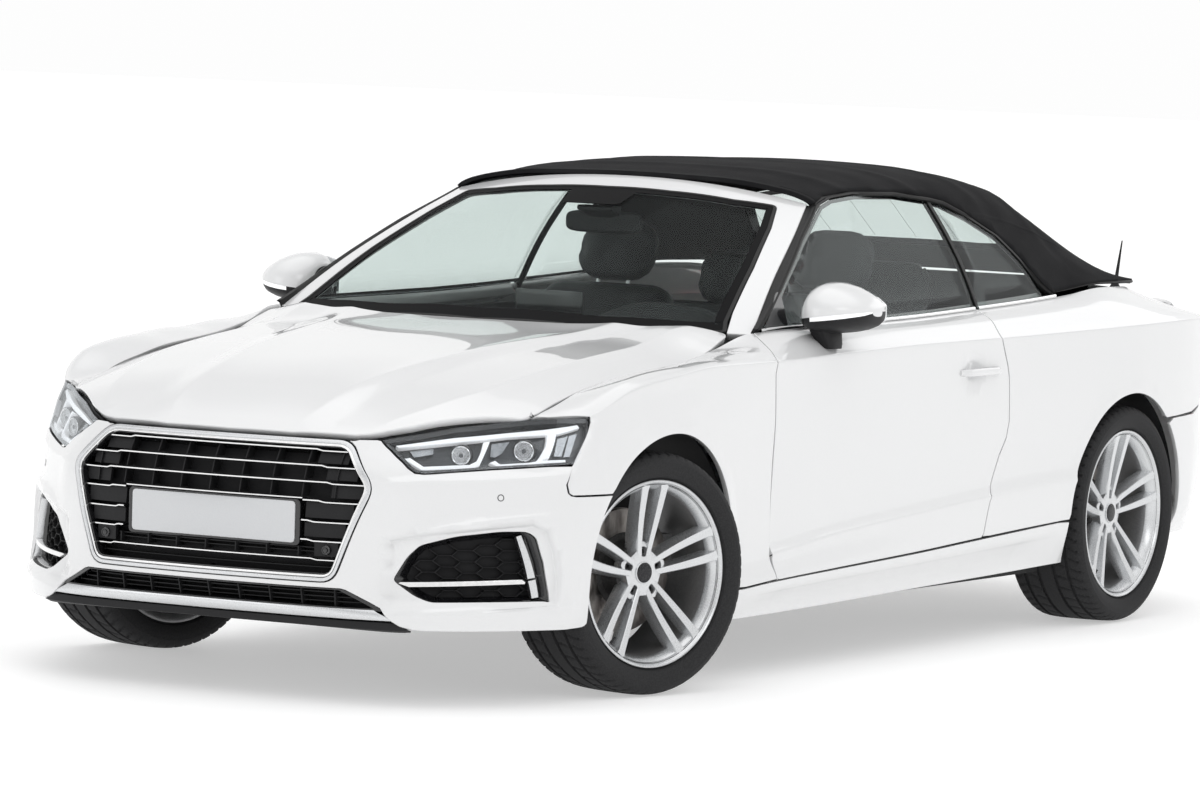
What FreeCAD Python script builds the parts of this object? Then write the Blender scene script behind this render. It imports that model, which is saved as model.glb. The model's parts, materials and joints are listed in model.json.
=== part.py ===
import FreeCAD, Part
import math
import os
import Sketcher

# Four-seat convertible car with its soft top up.  Millimetres, +Z up, the
# nose towards -Y, the car's left side towards +X, the ground at Z = 0.
V = FreeCAD.Vector
os.makedirs("parts", exist_ok=True)
doc = FreeCAD.newDocument("convertible_car")

# ---------------------------------------------------------------- sizes
sheet = doc.addObject("Spreadsheet::Sheet", "sizes")
CELLS = [
    ("front_axle_y", -1450.0), ("rear_axle_y", 1315.0), ("axle_z", 330.0),
    ("front_track_half", 793.5), ("rear_track_half", 784.0),
    ("rest_steer", 15.7), ("kingpin_x", 716.0),
    ("tyre_radius", 330.0), ("tyre_width", 255.0), ("rim_lip_radius", 254.0),
    ("rim_seat_radius", 238.0), ("rim_barrel_radius", 222.0), ("rim_half_width", 114.0),
    ("hub_radius", 74.0), ("disc_radius", 168.0), ("disc_thick", 26.0),
    ("disc_offset", 34.0), ("spoke_count", 5.0),
    ("arch_radius", 376.0), ("liner_radius", 402.0), ("liner_thick", 5.0),
    ("panel_gap", 6.0), ("fender_wall", 26.0), ("door_inner_x", 778.0),
    ("bumper_wall", 34.0), ("bonnet_wall", 34.0), ("lid_wall", 38.0),
    ("roof_wall", 13.0), ("glass_thick", 5.0), ("frame_wall", 48.0),
    ("floor_z", 165.0), ("floor_thick", 34.0), ("floor_half", 770.0),
    ("plate_width", 520.0), ("plate_height", 112.0), ("plate_thick", 8.0),
    ("steering_wheel_radius", 178.0), ("steering_rim_tube", 15.0),
    ("column_tilt", 24.0), ("column_x", 370.0), ("column_y", -392.0), ("column_z", 812.0),
    ("exhaust_radius", 26.0), ("antenna_height", 150.0),
]
for i, (name, val) in enumerate(CELLS):
    cell = "B%d" % (i + 1)
    sheet.set("A%d" % (i + 1), name)
    sheet.set(cell, repr(val))
    sheet.setAlias(cell, name)
doc.recompute()


def S(name):
    return float(sheet.get(name))


GAP = S("panel_gap") / 2.0
FAY, RAY, AZ = S("front_axle_y"), S("rear_axle_y"), S("axle_z")


# ---------------------------------------------------------------- curves
def pchip(xs, ys):
    """Monotone cubic through the knots, straight beyond its ends."""
    n = len(xs)
    hs = [xs[i + 1] - xs[i] for i in range(n - 1)]
    ds = [(ys[i + 1] - ys[i]) / hs[i] for i in range(n - 1)]
    ms = [ds[0]] + [0.0] * (n - 2) + [ds[-1]]
    for i in range(1, n - 1):
        if ds[i - 1] * ds[i] > 0:
            w1 = 2 * hs[i] + hs[i - 1]
            w2 = hs[i] + 2 * hs[i - 1]
            ms[i] = (w1 + w2) / (w1 / ds[i - 1] + w2 / ds[i])

    def f(x):
        if x <= xs[0]:
            return ys[0] + ms[0] * (x - xs[0])
        if x >= xs[-1]:
            return ys[-1] + ms[-1] * (x - xs[-1])
        lo, hi = 0, n - 1
        while hi - lo > 1:
            mid = (lo + hi) // 2
            if xs[mid] <= x:
                lo = mid
            else:
                hi = mid
        h = hs[lo]
        t = (x - xs[lo]) / h
        t2, t3 = t * t, t * t * t
        return ((2 * t3 - 3 * t2 + 1) * ys[lo] + (t3 - 2 * t2 + t) * h * ms[lo]
                + (-2 * t3 + 3 * t2) * ys[lo + 1] + (t3 - t2) * h * ms[lo + 1])
    return f


def frange(a, b, n):
    return [a + (b - a) * i / float(n - 1) for i in range(n)]


# Body side: feature lines from the sill's lower edge up to the waist, each
# read at the stations below as (x, z).
SIDE_Y = [-1900, -1700, -1450, -1200, -1000, -850, -500, 0, 500, 900, 1100, 1315, 1500, 1700, 1900, 2000]
SIDE_X = [
    [862, 872, 880, 872, 862, 860, 860, 860, 860, 862, 866, 872, 872, 866, 845, 815],
    [885, 897, 905, 900, 896, 895, 895, 895, 896, 900, 905, 912, 908, 895, 866, 835],
    [892, 905, 914, 902, 884, 880, 882, 886, 892, 904, 910, 918, 914, 900, 870, 840],
    [896, 909, 918, 908, 894, 889, 889, 892, 898, 908, 914, 921, 917, 902, 870, 838],
    [893, 908, 919, 913, 906, 902, 901, 902, 905, 912, 917, 922.9, 918, 903, 868, 832],
    [886, 901, 913, 912, 910, 909, 908, 908, 909, 913, 916, 920, 915, 901, 866, 830],
    [850, 860, 868, 868, 866, 862, 860, 860, 860, 862, 864, 862, 850, 830, 800, 775],
    [745, 742, 754, 769, 772, 790, 800, 800, 800, 798, 795, 790, 770, 720, 690, 670],
]
SIDE_Z = [
    [204, 200, 190, 175, 169, 170, 174, 183, 190, 197, 200, 203, 210, 222, 240, 250],
    [290, 285, 270, 262, 258, 266, 282, 298, 318, 332, 335, 338, 345, 350, 350, 350],
    [400, 380, 360, 345, 335, 340, 372, 404, 433, 450, 455, 455, 455, 455, 455, 455],
    [560, 560, 560, 560, 560, 560, 562, 570, 580, 585, 585, 585, 585, 585, 585, 585],
    [700, 715, 725, 730, 730, 730, 732, 735, 738, 740, 740, 742, 745, 745, 742, 740],
    [779, 822, 857, 877, 877, 877, 885, 894, 895, 898, 900, 903, 905, 906, 900, 890],
    [788, 838, 872, 890, 894, 910, 930, 940, 945, 952, 958, 965, 962, 950, 925, 905],
    [762, 815, 852, 873, 884, 948, 956, 960, 974, 989, 1000, 1015, 1012, 988, 935, 900],
]
side_x = [pchip(SIDE_Y, r) for r in SIDE_X]
side_z = [pchip(SIDE_Y, r) for r in SIDE_Z]
ROWS = list(range(8))


def side_pt(y, r):
    fx = pchip(ROWS, [f(y) for f in side_x])
    fz = pchip(ROWS, [f(y) for f in side_z])
    return fx(r), y, fz(r)


def side_w(y, z):
    """Half width of the body side at (y, z)."""
    fx = pchip(ROWS, [f(y) for f in side_x])
    fz = pchip(ROWS, [f(y) for f in side_z])
    lo, hi = 0.0, 7.0
    for _ in range(40):
        mid = 0.5 * (lo + hi)
        if fz(mid) < z:
            lo = mid
        else:
            hi = mid
    return fx(0.5 * (lo + hi))


# Nose and tail: plan outlines at several heights, from the middle line out
# to the wheel arch.
NOSE_Z = [205, 330, 470, 590, 700, 760]
NOSE = [
    [(0, -2300), (200, -2297), (400, -2285), (540, -2255), (650, -2180), (750, -2080), (825, -1970), (866, -1880), (870, -1790)],
    [(0, -2336.5), (200, -2328), (384, -2299), (520, -2236), (640, -2160), (745, -2060), (830, -1950), (880, -1860), (896, -1780)],
    [(0, -2334), (200, -2325), (400, -2298), (510, -2245), (610, -2170), (725, -2060), (825, -1940), (884, -1850), (904, -1770)],
    [(0, -2312), (200, -2304), (400, -2283), (490, -2255), (590, -2170), (710, -2050), (815, -1930), (882, -1840), (906, -1760)],
    [(0, -2250), (200, -2243), (387, -2218), (455, -2190), (570, -2105), (695, -1995), (800, -1880), (872, -1800), (902, -1740)],
    [(0, -2170), (200, -2165), (380, -2140), (460, -2110), (560, -2050), (680, -1960), (780, -1860), (848, -1790), (882, -1730)],
]
TAIL_Z = [240, 330, 480, 640, 760, 880, 950]
TAIL = [
    [(0, 2270), (250, 2262), (450, 2225), (600, 2150), (700, 2070), (770, 1980), (815, 1900), (835, 1840), (845, 1780), (858, 1710), (866, 1640), (872, 1570), (876, 1500)],
    [(0, 2315), (250, 2306), (450, 2270), (600, 2200), (710, 2115), (790, 2010), (840, 1920), (872, 1840), (890, 1770), (896, 1705), (900, 1640), (903, 1570), (905, 1500)],
    [(0, 2336.5), (250, 2328), (450, 2294), (600, 2225), (715, 2140), (800, 2030), (856, 1930), (884, 1850), (901, 1770), (907, 1705), (911, 1640), (914, 1570), (915, 1500)],
    [(0, 2305), (250, 2298), (450, 2268), (600, 2200), (712, 2110), (795, 2000), (854, 1905), (886, 1830), (904, 1750), (910, 1695), (914, 1635), (917, 1565), (918, 1500)],
    [(0, 2262), (250, 2256), (450, 2232), (595, 2175), (700, 2095), (785, 1990), (846, 1895), (882, 1820), (904, 1750), (911, 1695), (915, 1635), (918, 1565), (919, 1500)],
    [(0, 2235), (250, 2229), (440, 2205), (580, 2150), (680, 2070), (765, 1965), (826, 1875), (864, 1800), (892, 1740), (902, 1690), (907, 1635), (911, 1565), (913, 1500)],
    [(0, 2215), (250, 2209), (430, 2180), (560, 2120), (650, 2040), (730, 1930), (785, 1840), (830, 1765), (860, 1700), (868, 1665), (874, 1630), (880, 1565), (884, 1500)],
]


def ring(levels, table, t, z):
    """Point of a plan-outline surface; t counts the points of a row and may be negative."""
    s = -1.0 if t < 0 else 1.0
    t = abs(t)
    xs, ys = [], []
    for row in table:
        # mirrored knots keep the middle line square to the axis
        kx = [-row[2][0], -row[1][0]] + [p[0] for p in row]
        ky = [row[2][1], row[1][1]] + [p[1] for p in row]
        kt = list(range(-2, len(row)))
        xs.append(pchip(kt, kx)(t))
        ys.append(pchip(kt, ky)(t))
    return s * pchip(levels, xs)(z), pchip(levels, ys)(z), z


def nose_pt(t, z):
    return ring(NOSE_Z, NOSE, t, z)


def tail_pt(t, z):
    return ring(TAIL_Z, TAIL, t, z)


# Bonnet and rear deck heights over (x, y).
TOP_X = [0, 200, 400, 550, 660, 730, 800]
BONNET_Y = [-2260, -2180, -2080, -1950, -1800, -1600, -1400, -1200, -1000, -820]
BONNET_Z = [
    [690, 686, 670, 645, 620, 600, 582], [748, 744, 728, 705, 680, 658, 636],
    [795, 792, 778, 757, 732, 710, 688], [836, 833, 821, 802, 778, 756, 734],
    [868, 865, 854, 838, 816, 796, 776], [900, 897, 888, 874, 855, 838, 824],
    [923, 920, 912, 899, 882, 866, 853], [941, 938, 931, 919, 902, 884, 869],
    [955, 952, 945, 934, 917, 897, 880], [966, 963, 957, 947, 930, 908, 888]]
DECK_Y = [1580, 1700, 1800, 1900, 2000, 2100, 2180, 2260]
DECK_Z = [
    [1022, 1021, 1018, 1012, 1006, 1000, 985], [1014, 1013, 1009, 1002, 995, 984, 962],
    [1006, 1005, 1000, 991, 980, 964, 938], [998, 997, 990, 978, 962, 938, 908],
    [991, 989, 981, 966, 945, 915, 880], [985, 983, 972, 953, 925, 890, 850],
    [981, 978, 964, 940, 905, 865, 820], [977, 973, 955, 925, 885, 840, 790]]


def height(ys, table, x, y):
    cols = [pchip(ys, [row[j] for row in table])(y) for j in range(len(TOP_X))]
    kx = [-TOP_X[2], -TOP_X[1]] + TOP_X
    kz = [cols[2], cols[1]] + cols
    return pchip(kx, kz)(abs(x))


def bonnet_z(x, y):
    return height(BONNET_Y, BONNET_Z, x, y)


def deck_z(x, y):
    return height(DECK_Y, DECK_Z, x, y)


# Windscreen surface with its pillars: u across, v from cowl to header.
WS_V = [0.0, 0.4, 0.75, 1.0]
WS_C = [(-1015, 948), (-690, 1130), (-420, 1262), (-215, 1347)]
WS_O = [(785, -812, 944), (715, -580, 1085), (645, -340, 1205), (585, -165, 1287)]


def ws_pt(u, v):
    yc = pchip(WS_V, [p[0] for p in WS_C])(v)
    zc = pchip(WS_V, [p[1] for p in WS_C])(v)
    xo = pchip(WS_V, [p[0] for p in WS_O])(v)
    yo = pchip(WS_V, [p[1] for p in WS_O])(v)
    zo = pchip(WS_V, [p[2] for p in WS_O])(v)
    k = abs(u) ** 2.2
    return u * xo, yc + (yo - yc) * k, zc + (zo - zc) * k


def glass_x(z):
    """Side glass: leaning in, slightly barrelled."""
    return 797 - 0.60 * (z - 960) + 18 * math.sin(math.pi * (z - 960) / 343.0)


# Soft top and side windows: sections from the roof's middle to the waist.
GH_Y = [-215, 0, 300, 600, 900, 1100, 1250, 1400, 1550, 1645]
GH = [
    [(0, 1347), (0, 1368), (0, 1382.5), (0, 1381), (0, 1368), (0, 1338), (0, 1278), (0, 1184), (0, 1088), (0, 1036)],
    [(300, 1339), (300, 1362), (300, 1376), (300, 1374), (300, 1360), (300, 1330), (300, 1269), (300, 1176), (300, 1082), (300, 1034)],
    [(480, 1316), (480, 1340), (480, 1356), (480, 1352), (480, 1336), (485, 1302), (490, 1240), (500, 1154), (505, 1072), (510, 1032)],
    [(572, 1291), (582, 1308), (590, 1319), (590, 1313), (588, 1285), (595, 1238), (605, 1184), (625, 1116), (640, 1058), (650, 1028)],
    [(672, 1180), (672, 1195), (668, 1205), (670, 1200), (674, 1180), (680, 1147), (690, 1109), (702, 1070), (708, 1040), (712, 1025)],
    [(742, 1065), (742, 1075), (740, 1080), (740, 1085), (740, 1086), (742, 1078), (742, 1066), (742, 1048), (740, 1032), (738, 1023)],
    [(795, 952), (797, 962), (798, 970), (798, 978), (797, 993), (795, 1008), (788, 1021), (776, 1026), (764, 1026), (754, 1020)],
]
gh_x = [pchip(GH_Y, [p[0] for p in r]) for r in GH]
gh_z = [pchip(GH_Y, [p[1] for p in r]) for r in GH]


def gh_pt(y, r):
    """r 0..6 from the middle line to the waist, negative on the right."""
    s = -1.0 if r < 0 else 1.0
    kr = [-1] + list(range(7))
    xs = [f(y) for f in gh_x]
    zs = [f(y) for f in gh_z]
    fx = pchip(kr, [-xs[1]] + xs)
    fz = pchip(kr, [zs[1]] + zs)
    return s * fx(abs(r)), y, fz(abs(r))


# ---------------------------------------------------------------- solids
def surf(pts):
    s = Part.BSplineSurface()
    s.interpolate([[V(*p) for p in row] for row in pts])
    return s.toShape()


def thick(outer, inner):
    """Closed solid between two point grids of the same layout."""
    a, b = surf(outer), surf(inner)
    faces = [a, b]
    for ea, eb in zip(a.Edges, b.Edges):
        faces.append(Part.makeRuledSurface(ea, eb))
    shell = Part.Shell(faces)
    solid = Part.Solid(shell)
    if solid.Volume < 0:
        solid.reverse()
    return solid


def offset_grid(pts, d):
    """Grid moved by d along its normals, by central differences."""
    n, m = len(pts), len(pts[0])
    out = []
    for i in range(n):
        row = []
        for j in range(m):
            a = V(*pts[max(i - 1, 0)][j])
            b = V(*pts[min(i + 1, n - 1)][j])
            c = V(*pts[i][max(j - 1, 0)])
            e = V(*pts[i][min(j + 1, m - 1)])
            nv = (b - a).cross(e - c)
            nv.normalize()
            p = V(*pts[i][j]) + nv * d
            row.append((p.x, p.y, p.z))
        out.append(row)
    return out


def prism(outline, axis, lo, hi):
    """Closed polygon swept along an axis; outline pairs are (y, z), (x, z) or (x, y)."""
    if axis == "x":
        ps = [V(lo, a, b) for a, b in outline]
        d = V(hi - lo, 0, 0)
    elif axis == "y":
        ps = [V(a, lo, b) for a, b in outline]
        d = V(0, hi - lo, 0)
    else:
        ps = [V(a, b, lo) for a, b in outline]
        d = V(0, 0, hi - lo)
    ps.append(ps[0])
    return Part.Face(Part.makePolygon(ps)).extrude(d)


def box(x0, x1, y0, y1, z0, z1):
    return Part.makeBox(x1 - x0, y1 - y0, z1 - z0, V(x0, y0, z0))


def cyl_x(r, x0, x1, y, z):
    return Part.makeCylinder(r, x1 - x0, V(x0, y, z), V(1, 0, 0))


def mirror(shape):
    return shape.mirror(V(0, 0, 0), V(1, 0, 0))


def fuse(*shapes):
    s = shapes[0]
    for t in shapes[1:]:
        s = s.fuse(t)
    return s.removeSplitter()


def biggest(shape):
    return max(shape.Solids, key=lambda q: q.Volume)


NODES = []


def node(label, shape):
    """A free-form piece: its shape comes from the surfaces above."""
    o = doc.addObject("Part::Feature", label)
    o.Label = label
    if len(shape.Solids) == 1:
        shape = shape.Solids[0]
    else:
        shape = Part.makeCompound(shape.Solids)
    o.Shape = shape
    o.Placement = shape.Placement
    NODES.append(o)
    return o


def both(label, shape):
    """A left and a right solid that don't touch, in one node."""
    return node(label, Part.makeCompound([biggest(shape), mirror(biggest(shape))]))


# Arch openings and the space each wheel needs.
AR = S("arch_radius")
arch_f = cyl_x(AR, 560, 1000, FAY, AZ)
arch_r = cyl_x(AR - 8, 560, 1000, RAY, AZ)
LR = S("liner_radius")

# ---------------------------------------------------------------- body side
OUT_Y = frange(-1880, 1990, 60)
OUT_R = [0, 0.5, 1, 1.5, 2, 2.5, 3, 3.5, 4, 4.5, 4.8, 5, 5.2, 5.6, 6, 6.5, 7]


def side_skin(y0, y1, ny, r0, r1, nr, wall):
    """wall is a number, or a function of (y, r) that gives the inner x."""
    out = [[side_pt(y, r) for r in frange(r0, r1, nr)] for y in frange(y0, y1, ny)]
    inn = []
    for row, y in zip(out, frange(y0, y1, ny)):
        line = []
        for p, r in zip(row, frange(r0, r1, nr)):
            xi = wall(y, r) if callable(wall) else p[0] - wall
            line.append((xi, p[1], p[2]))
        inn.append(line)
    return thick(out, inn)


DOOR_FRONT = [(-824, 268), (-842, 332), (-857, 500), (-869, 700), (-886, 846), (-878, 880), (-823, 944), (-812, 975)]
DOOR_REAR = [(480, 990), (487, 973), (480, 930), (459, 894), (500, 820), (515, 780), (531, 650), (520, 600), (487, 551),
             (452, 459), (425, 388), (404, 325), (396, 312)]


def shift(pts, dy, dz=0.0):
    return [(a + dy, b + dz) for a, b in pts]


sill_line = [(y, pchip([-1000, -850, -500, 0, 400, 920, 1200], [257, 266, 278, 294, 311, 331, 340])(y)) for y in
             frange(-1060, 940, 41)]


def door_outline():
    low = [(y, z + GAP) for y, z in sill_line if -815 < y < 380]
    return (shift(DOOR_FRONT, GAP)[::-1] + low + shift(DOOR_REAR, -GAP)[::-1])


def inner_door(y, r):
    top = pchip([0, 5, 6, 7], [S("door_inner_x"), S("door_inner_x"), 758, 728])
    return top(r)


door_slab = side_skin(-930, 620, 32, 0.6, 7, 22, inner_door)
door_left = biggest(door_slab.common(prism(door_outline(), "x", 600, 1100)))
# The hinge side is thinned so that it swings clear of the front wing.
node("door_left", door_left)
node("door_right", mirror(door_left))

# Fender: from the headlight to the door, down to the arch and sill.
fender_out = ([(-1060, 262)] + [(-1000, 263), (-900, 268), (-860, 270), (-831, 272)] + shift(DOOR_FRONT, -GAP)[1:-1]
              + [(-855, 985), (-1000, 980), (-1450, 960), (-1795, 930), (-1795, 790)]
              + [(-1776, 740), (-1800, 640), (-1796, 602), (-1650, 600), (-1650, 263), (-1060, 263)])
f_out = [[side_pt(y, r) for r in frange(0.6, 7, 26)] for y in frange(-1880, -800, 34)]
f_in = []
for row in f_out:
    line = []
    for p, r in zip(row, frange(0.6, 7, 26)):
        # the wall turns from sideways to downwards over the shoulder
        a = math.radians(90) * min(1.0, max(0.0, (r - 4.4) / 2.4))
        line.append((p[0] - S("fender_wall") * math.cos(a), p[1], p[2] - S("fender_wall") * math.sin(a)))
    f_in.append(line)
fender_skin = thick(f_out, f_in)
fender = fender_skin.common(prism(fender_out, "x", 600, 1100)).cut(arch_f)
fender = biggest(fender)
node("front_fender_left", fender)
node("front_fender_right", mirror(fender))

# Rear quarter: from the door round to the tail lamp, hollow boot behind it.
def inner_quarter(y, r):
    x = side_pt(y, r)[0]
    wall = pchip([440, 700, 900, 1000, 2000], [110, 80, 40, 34, 34])(y)
    return x - wall


quarter_skin = side_skin(360, 1960, 44, 0.8, 7, 24, inner_quarter)
q_low = [(y, z + GAP + 1) for y, z in sill_line if y > 405]
quarter_out = (shift(DOOR_REAR, GAP) + q_low + [(960, 338), (1500, 338), (1500, 612), (1775, 618), (1860, 640), (1880, 700),
               (1868, 770), (1868, 800), (1905, 890), (1905, 960), (1860, 1080), (900, 1100)])
quarter = quarter_skin.common(prism(quarter_out, "x", 500, 1100)).cut(arch_r)
quarter = biggest(quarter)

# Side skirt under the door, between the two arches.
skirt_skin = side_skin(-1200, 1100, 40, 0, 2.2, 12, lambda y, r: 800)
skirt_out = ([(y, z - GAP - 1) for y, z in sill_line] + [(960, 327), (1010, 327), (1010, 100), (-1160, 100), (-1160, 252), (-1070, 252)])
skirt = skirt_skin.common(prism(skirt_out, "x", 600, 1100)).cut(arch_f).cut(arch_r)
both("side_skirts", skirt)

# ---------------------------------------------------------------- nose
def nose_solid(z0, z1, wall, t1=8.0, nz=14):
    ts = frange(-t1, t1, 41)
    out = [[nose_pt(t, z) for t in ts] for z in frange(z0, z1, nz)]
    inn = []
    for row in out:
        line = []
        for i, p in enumerate(row):
            a = row[max(i - 1, 0)]
            b = row[min(i + 1, len(row) - 1)]
            dx, dy = b[0] - a[0], b[1] - a[1]
            q = math.hypot(dx, dy)
            line.append((p[0] - dy / q * wall, p[1] + dx / q * wall, p[2]))
        inn.append(line)
    return thick(out, inn)


GRILLE = [(-387, 696), (387, 696), (482, 582), (384, 322), (-384, 322), (-482, 582)]
INTAKE = [(-412, 308), (412, 308), (507, 262), (500, 243), (-500, 243), (-507, 262)]
FOG = [(527, 334), (559, 395), (587, 428), (660, 453), (744, 466), (790, 466), (807, 451), (824, 384), (836, 305), (838, 281),
       (826, 284), (723, 283), (619, 281), (581, 296)]
LAMP = [(451, 700), (585, 613), (680, 622), (860, 632), (905, 700), (905, 790), (440, 790), (440, 705)]
nose = nose_solid(205, 756, S("bumper_wall"))
cut_y = lambda o, lo=-2500, hi=-1600: prism(o, "y", lo, hi)
bumper = nose.cut(cut_y(GRILLE)).cut(cut_y(INTAKE))
bumper = bumper.cut(cut_y(FOG, hi=-1905)).cut(mirror(cut_y(FOG, hi=-1905)))
bumper = bumper.cut(cut_y(LAMP)).cut(mirror(cut_y(LAMP)))
bumper = bumper.cut(box(-1000, 1000, -2500, -1500, 696, 900))
fend_edge = [(-1790, 790), (-1776, 743), (-1803, 640), (-1799, 598), (-1640, 596), (-1640, 900), (-1790, 900)]
for sgn in (1, -1):
    p = prism(fend_edge, "x", 560, 1000)
    p = p if sgn > 0 else mirror(p)
    bumper = bumper.cut(p)
    bumper = bumper.cut(arch_f if sgn > 0 else mirror(arch_f))
bumper = biggest(bumper)

# Grille: a frame that fills the hexagonal opening, with bars behind it.
def scaled(poly, k):
    cx = sum(p[0] for p in poly) / len(poly)
    cz = sum(p[1] for p in poly) / len(poly)
    return [(cx + (a - cx) * k, cz + (b - cz) * k) for a, b in poly]


def nose_band(poly, front, depth, t1=4.6):
    ts = frange(-t1, t1, 25)
    z0, z1 = min(p[1] for p in poly) - 5, max(p[1] for p in poly) + 5
    out = [[(nose_pt(t, z)[0], nose_pt(t, z)[1] + front, z) for t in ts] for z in frange(z0, z1, 9)]
    inn = [[(p[0], p[1] + depth, p[2]) for p in row] for row in out]
    return thick(out, inn).common(cut_y(poly))


g_outer = scaled(GRILLE, 0.992)
g_inner = scaled(GRILLE, 0.90)
frame = biggest(nose_band(g_outer, 1, 60)).cut(cut_y(g_inner))
bars = []
for k in range(7):
    z = 372 + k * 46
    bars.append(biggest(nose_band(GRILLE, 14, 26).common(box(-600, 600, -2500, -2000, z - 7, z + 7)).common(cut_y(scaled(GRILLE, 0.905)))))
back = biggest(nose_band(scaled(GRILLE, 0.92), 40, 6))
grille = biggest(fuse(frame, back, *bars))
plate_pocket = box(-S("plate_width") / 2 - 14, S("plate_width") / 2 + 14, -2500, -2284, 414, 540)
grille = biggest(grille.cut(plate_pocket))
# a clear way through the mesh to the towing eye's thread
grille = biggest(grille.cut(Part.makeCylinder(13, 200, V(-330, -2400, 487), V(0, 1, 0))))

# Lower intake and the two outer inlets: meshed black panels set back.
low = biggest(nose_band(scaled(INTAKE, 0.992), 24, 14))
side_in = nose_solid(270, 460, 14, nz=8)
fog_panel = biggest(side_in.common(cut_y(scaled(FOG, 0.985), -2300, -1900)))
fog_panel = fog_panel.copy()
fog_panel.translate(V(-9, 14, 0))
fog_panel = biggest(fog_panel.cut(bumper))
low = biggest(low.cut(bumper))
node("lower_intakes", Part.makeCompound([low, fog_panel, mirror(fog_panel)]))

# Headlights: deep lenses between bonnet, wing and bumper.
lamp_out = [(458, 699), (586, 617), (680, 626), (900, 636), (900, 760), (800, 760), (458, 760)]
lamp_skin = nose_solid(608, 762, 90, nz=10)
lamp = lamp_skin.common(cut_y(lamp_out)).cut(prism([(-1786, 790), (-1780, 743), (-1808, 640), (-1808, 590), (-1640, 590), (-1640, 900), (-1786, 900)], "x", 560, 1000))
BON_EDGE = [(0, -2243), (200, -2237), (387, -2214), (451, -2190), (560, -2080), (680, -1965), (742, -1905), (739, -1860),
            (735, -1775), (736, -1700), (741, -1549), (752, -1400), (763, -1200), (766, -1000), (760, -905), (748, -868), (600, -925), (300, -1002), (0, -1024)]
edge_half = [(a, b) for a, b in BON_EDGE]


def grow(poly, d):
    """Closed outline moved outwards by d."""
    n = len(poly)
    area = sum(poly[i][0] * poly[(i + 1) % n][1] - poly[(i + 1) % n][0] * poly[i][1] for i in range(n))
    s = 1.0 if area > 0 else -1.0
    out = []
    for i in range(n):
        a, b, c = poly[i - 1], poly[i], poly[(i + 1) % n]
        u = (b[0] - a[0], b[1] - a[1])
        w = (c[0] - b[0], c[1] - b[1])
        lu, lw = math.hypot(*u), math.hypot(*w)
        n1 = (u[1] / lu * s, -u[0] / lu * s)
        n2 = (w[1] / lw * s, -w[0] / lw * s)
        k = 1.0 + n1[0] * n2[0] + n1[1] * n2[1]
        k = max(k, 0.35)
        out.append((b[0] + d * (n1[0] + n2[0]) / k, b[1] + d * (n1[1] + n2[1]) / k))
    return out


def sym(half):
    """Whole outline from its right-hand half, which starts and ends on the middle line."""
    return half + [(-a, b) for a, b in half[::-1] if a > 1e-6]


bonnet_outline = sym(edge_half)
xs = frange(-800, 800, 33)
bon_out = [[(x, y, bonnet_z(x, y)) for x in xs] for y in frange(-2256, -825, 40)]
BW = S("bonnet_wall")
bon_wall = pchip([-2260, -2200, -2080, -800], [9, 12, BW, BW])
bon_in = [[(p[0] * 0.998, p[1], p[2] - bon_wall(p[1])) for p in row] for row in bon_out]
bonnet_slab = thick(bon_out, bon_in)
bonnet = biggest(bonnet_slab.common(prism(grow(bonnet_outline, -GAP), "z", 500, 1100)))
node("bonnet", bonnet)
bonnet_space = thick([[(x, y, bonnet_z(x, y) + 60) for x in xs] for y in frange(-2256, -825, 40)],
                     [[(x, y, bonnet_z(x, y) - bon_wall(y) - 6) for x in xs] for y in frange(-2256, -825, 40)])
bonnet_space = biggest(bonnet_space.common(prism(grow(bonnet_outline, GAP), "z", 500, 1200)))
lamp = biggest(lamp.cut(bonnet_space))
grille = biggest(grille.cut(bonnet_space))
bumper = biggest(bumper.cut(bonnet_space).cut(grille))
lamp = biggest(lamp.cut(bumper))
node("grille", grille)
node("front_bumper", bumper)
both("headlights", lamp)

# ---------------------------------------------------------------- tail
def tail_solid(z0, z1, wall, nz=14, t1=8.0):
    ts = frange(-t1, t1, 41 if t1 < 9 else 61)
    out = [[tail_pt(t, z) for t in ts] for z in frange(z0, z1, nz)]
    inn = []
    for row in out:
        line = []
        for i, p in enumerate(row):
            a = row[max(i - 1, 0)]
            b = row[min(i + 1, len(row) - 1)]
            dx, dy = b[0] - a[0], b[1] - a[1]
            q = math.hypot(dx, dy)
            line.append((p[0] + dy / q * wall, p[1] - dx / q * wall, p[2]))
        inn.append(line)
    return thick(out, inn)


rear_low = tail_solid(240, 700, S("bumper_wall"), t1=12.0)
rear_edge = [(1772, 610), (1862, 634), (1886, 700), (1886, 760), (1500, 760), (1500, 604)]
rb = rear_low
for sgn in (1, -1):
    p = prism([(a, b) for a, b in rear_edge], "x", 560, 1000)
    p = p if sgn > 0 else mirror(p)
    a = arch_r if sgn > 0 else mirror(arch_r)
    rb = rb.cut(p).cut(a)
# the lid's lower edge dips into the bumper between the lamps
rb = rb.cut(prism([(-470, 692), (470, 692), (470, 800), (-470, 800)], "y", 1900, 2500))
rb = rb.cut(box(-S("plate_width") / 2 - 12, S("plate_width") / 2 + 12, 2310, 2400, 492, 622))
for sgn in (1, -1):
    rb = rb.cut(Part.makeCylinder(44, 600, V(sgn * 440, 2000, 268), V(0, 1, 0)))
rb = biggest(rb)
node("rear_bumper", rb)

# Tail lamps wrap round the corner above the bumper.
lamp_r = tail_solid(706, 896, 70, nz=8)
TL = [(560, 712), (900, 712), (900, 905), (560, 905)]
tl = lamp_r.common(prism([(471, 640), (1000, 640), (1000, 1000), (471, 1000)], "y", 1700, 2500))
tl = tl.cut(prism([(1500, 600), (1892, 600), (1892, 700), (1880, 765), (1880, 800), (1917, 890), (1917, 1000), (1500, 1000)], "x", 500, 1000))

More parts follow.
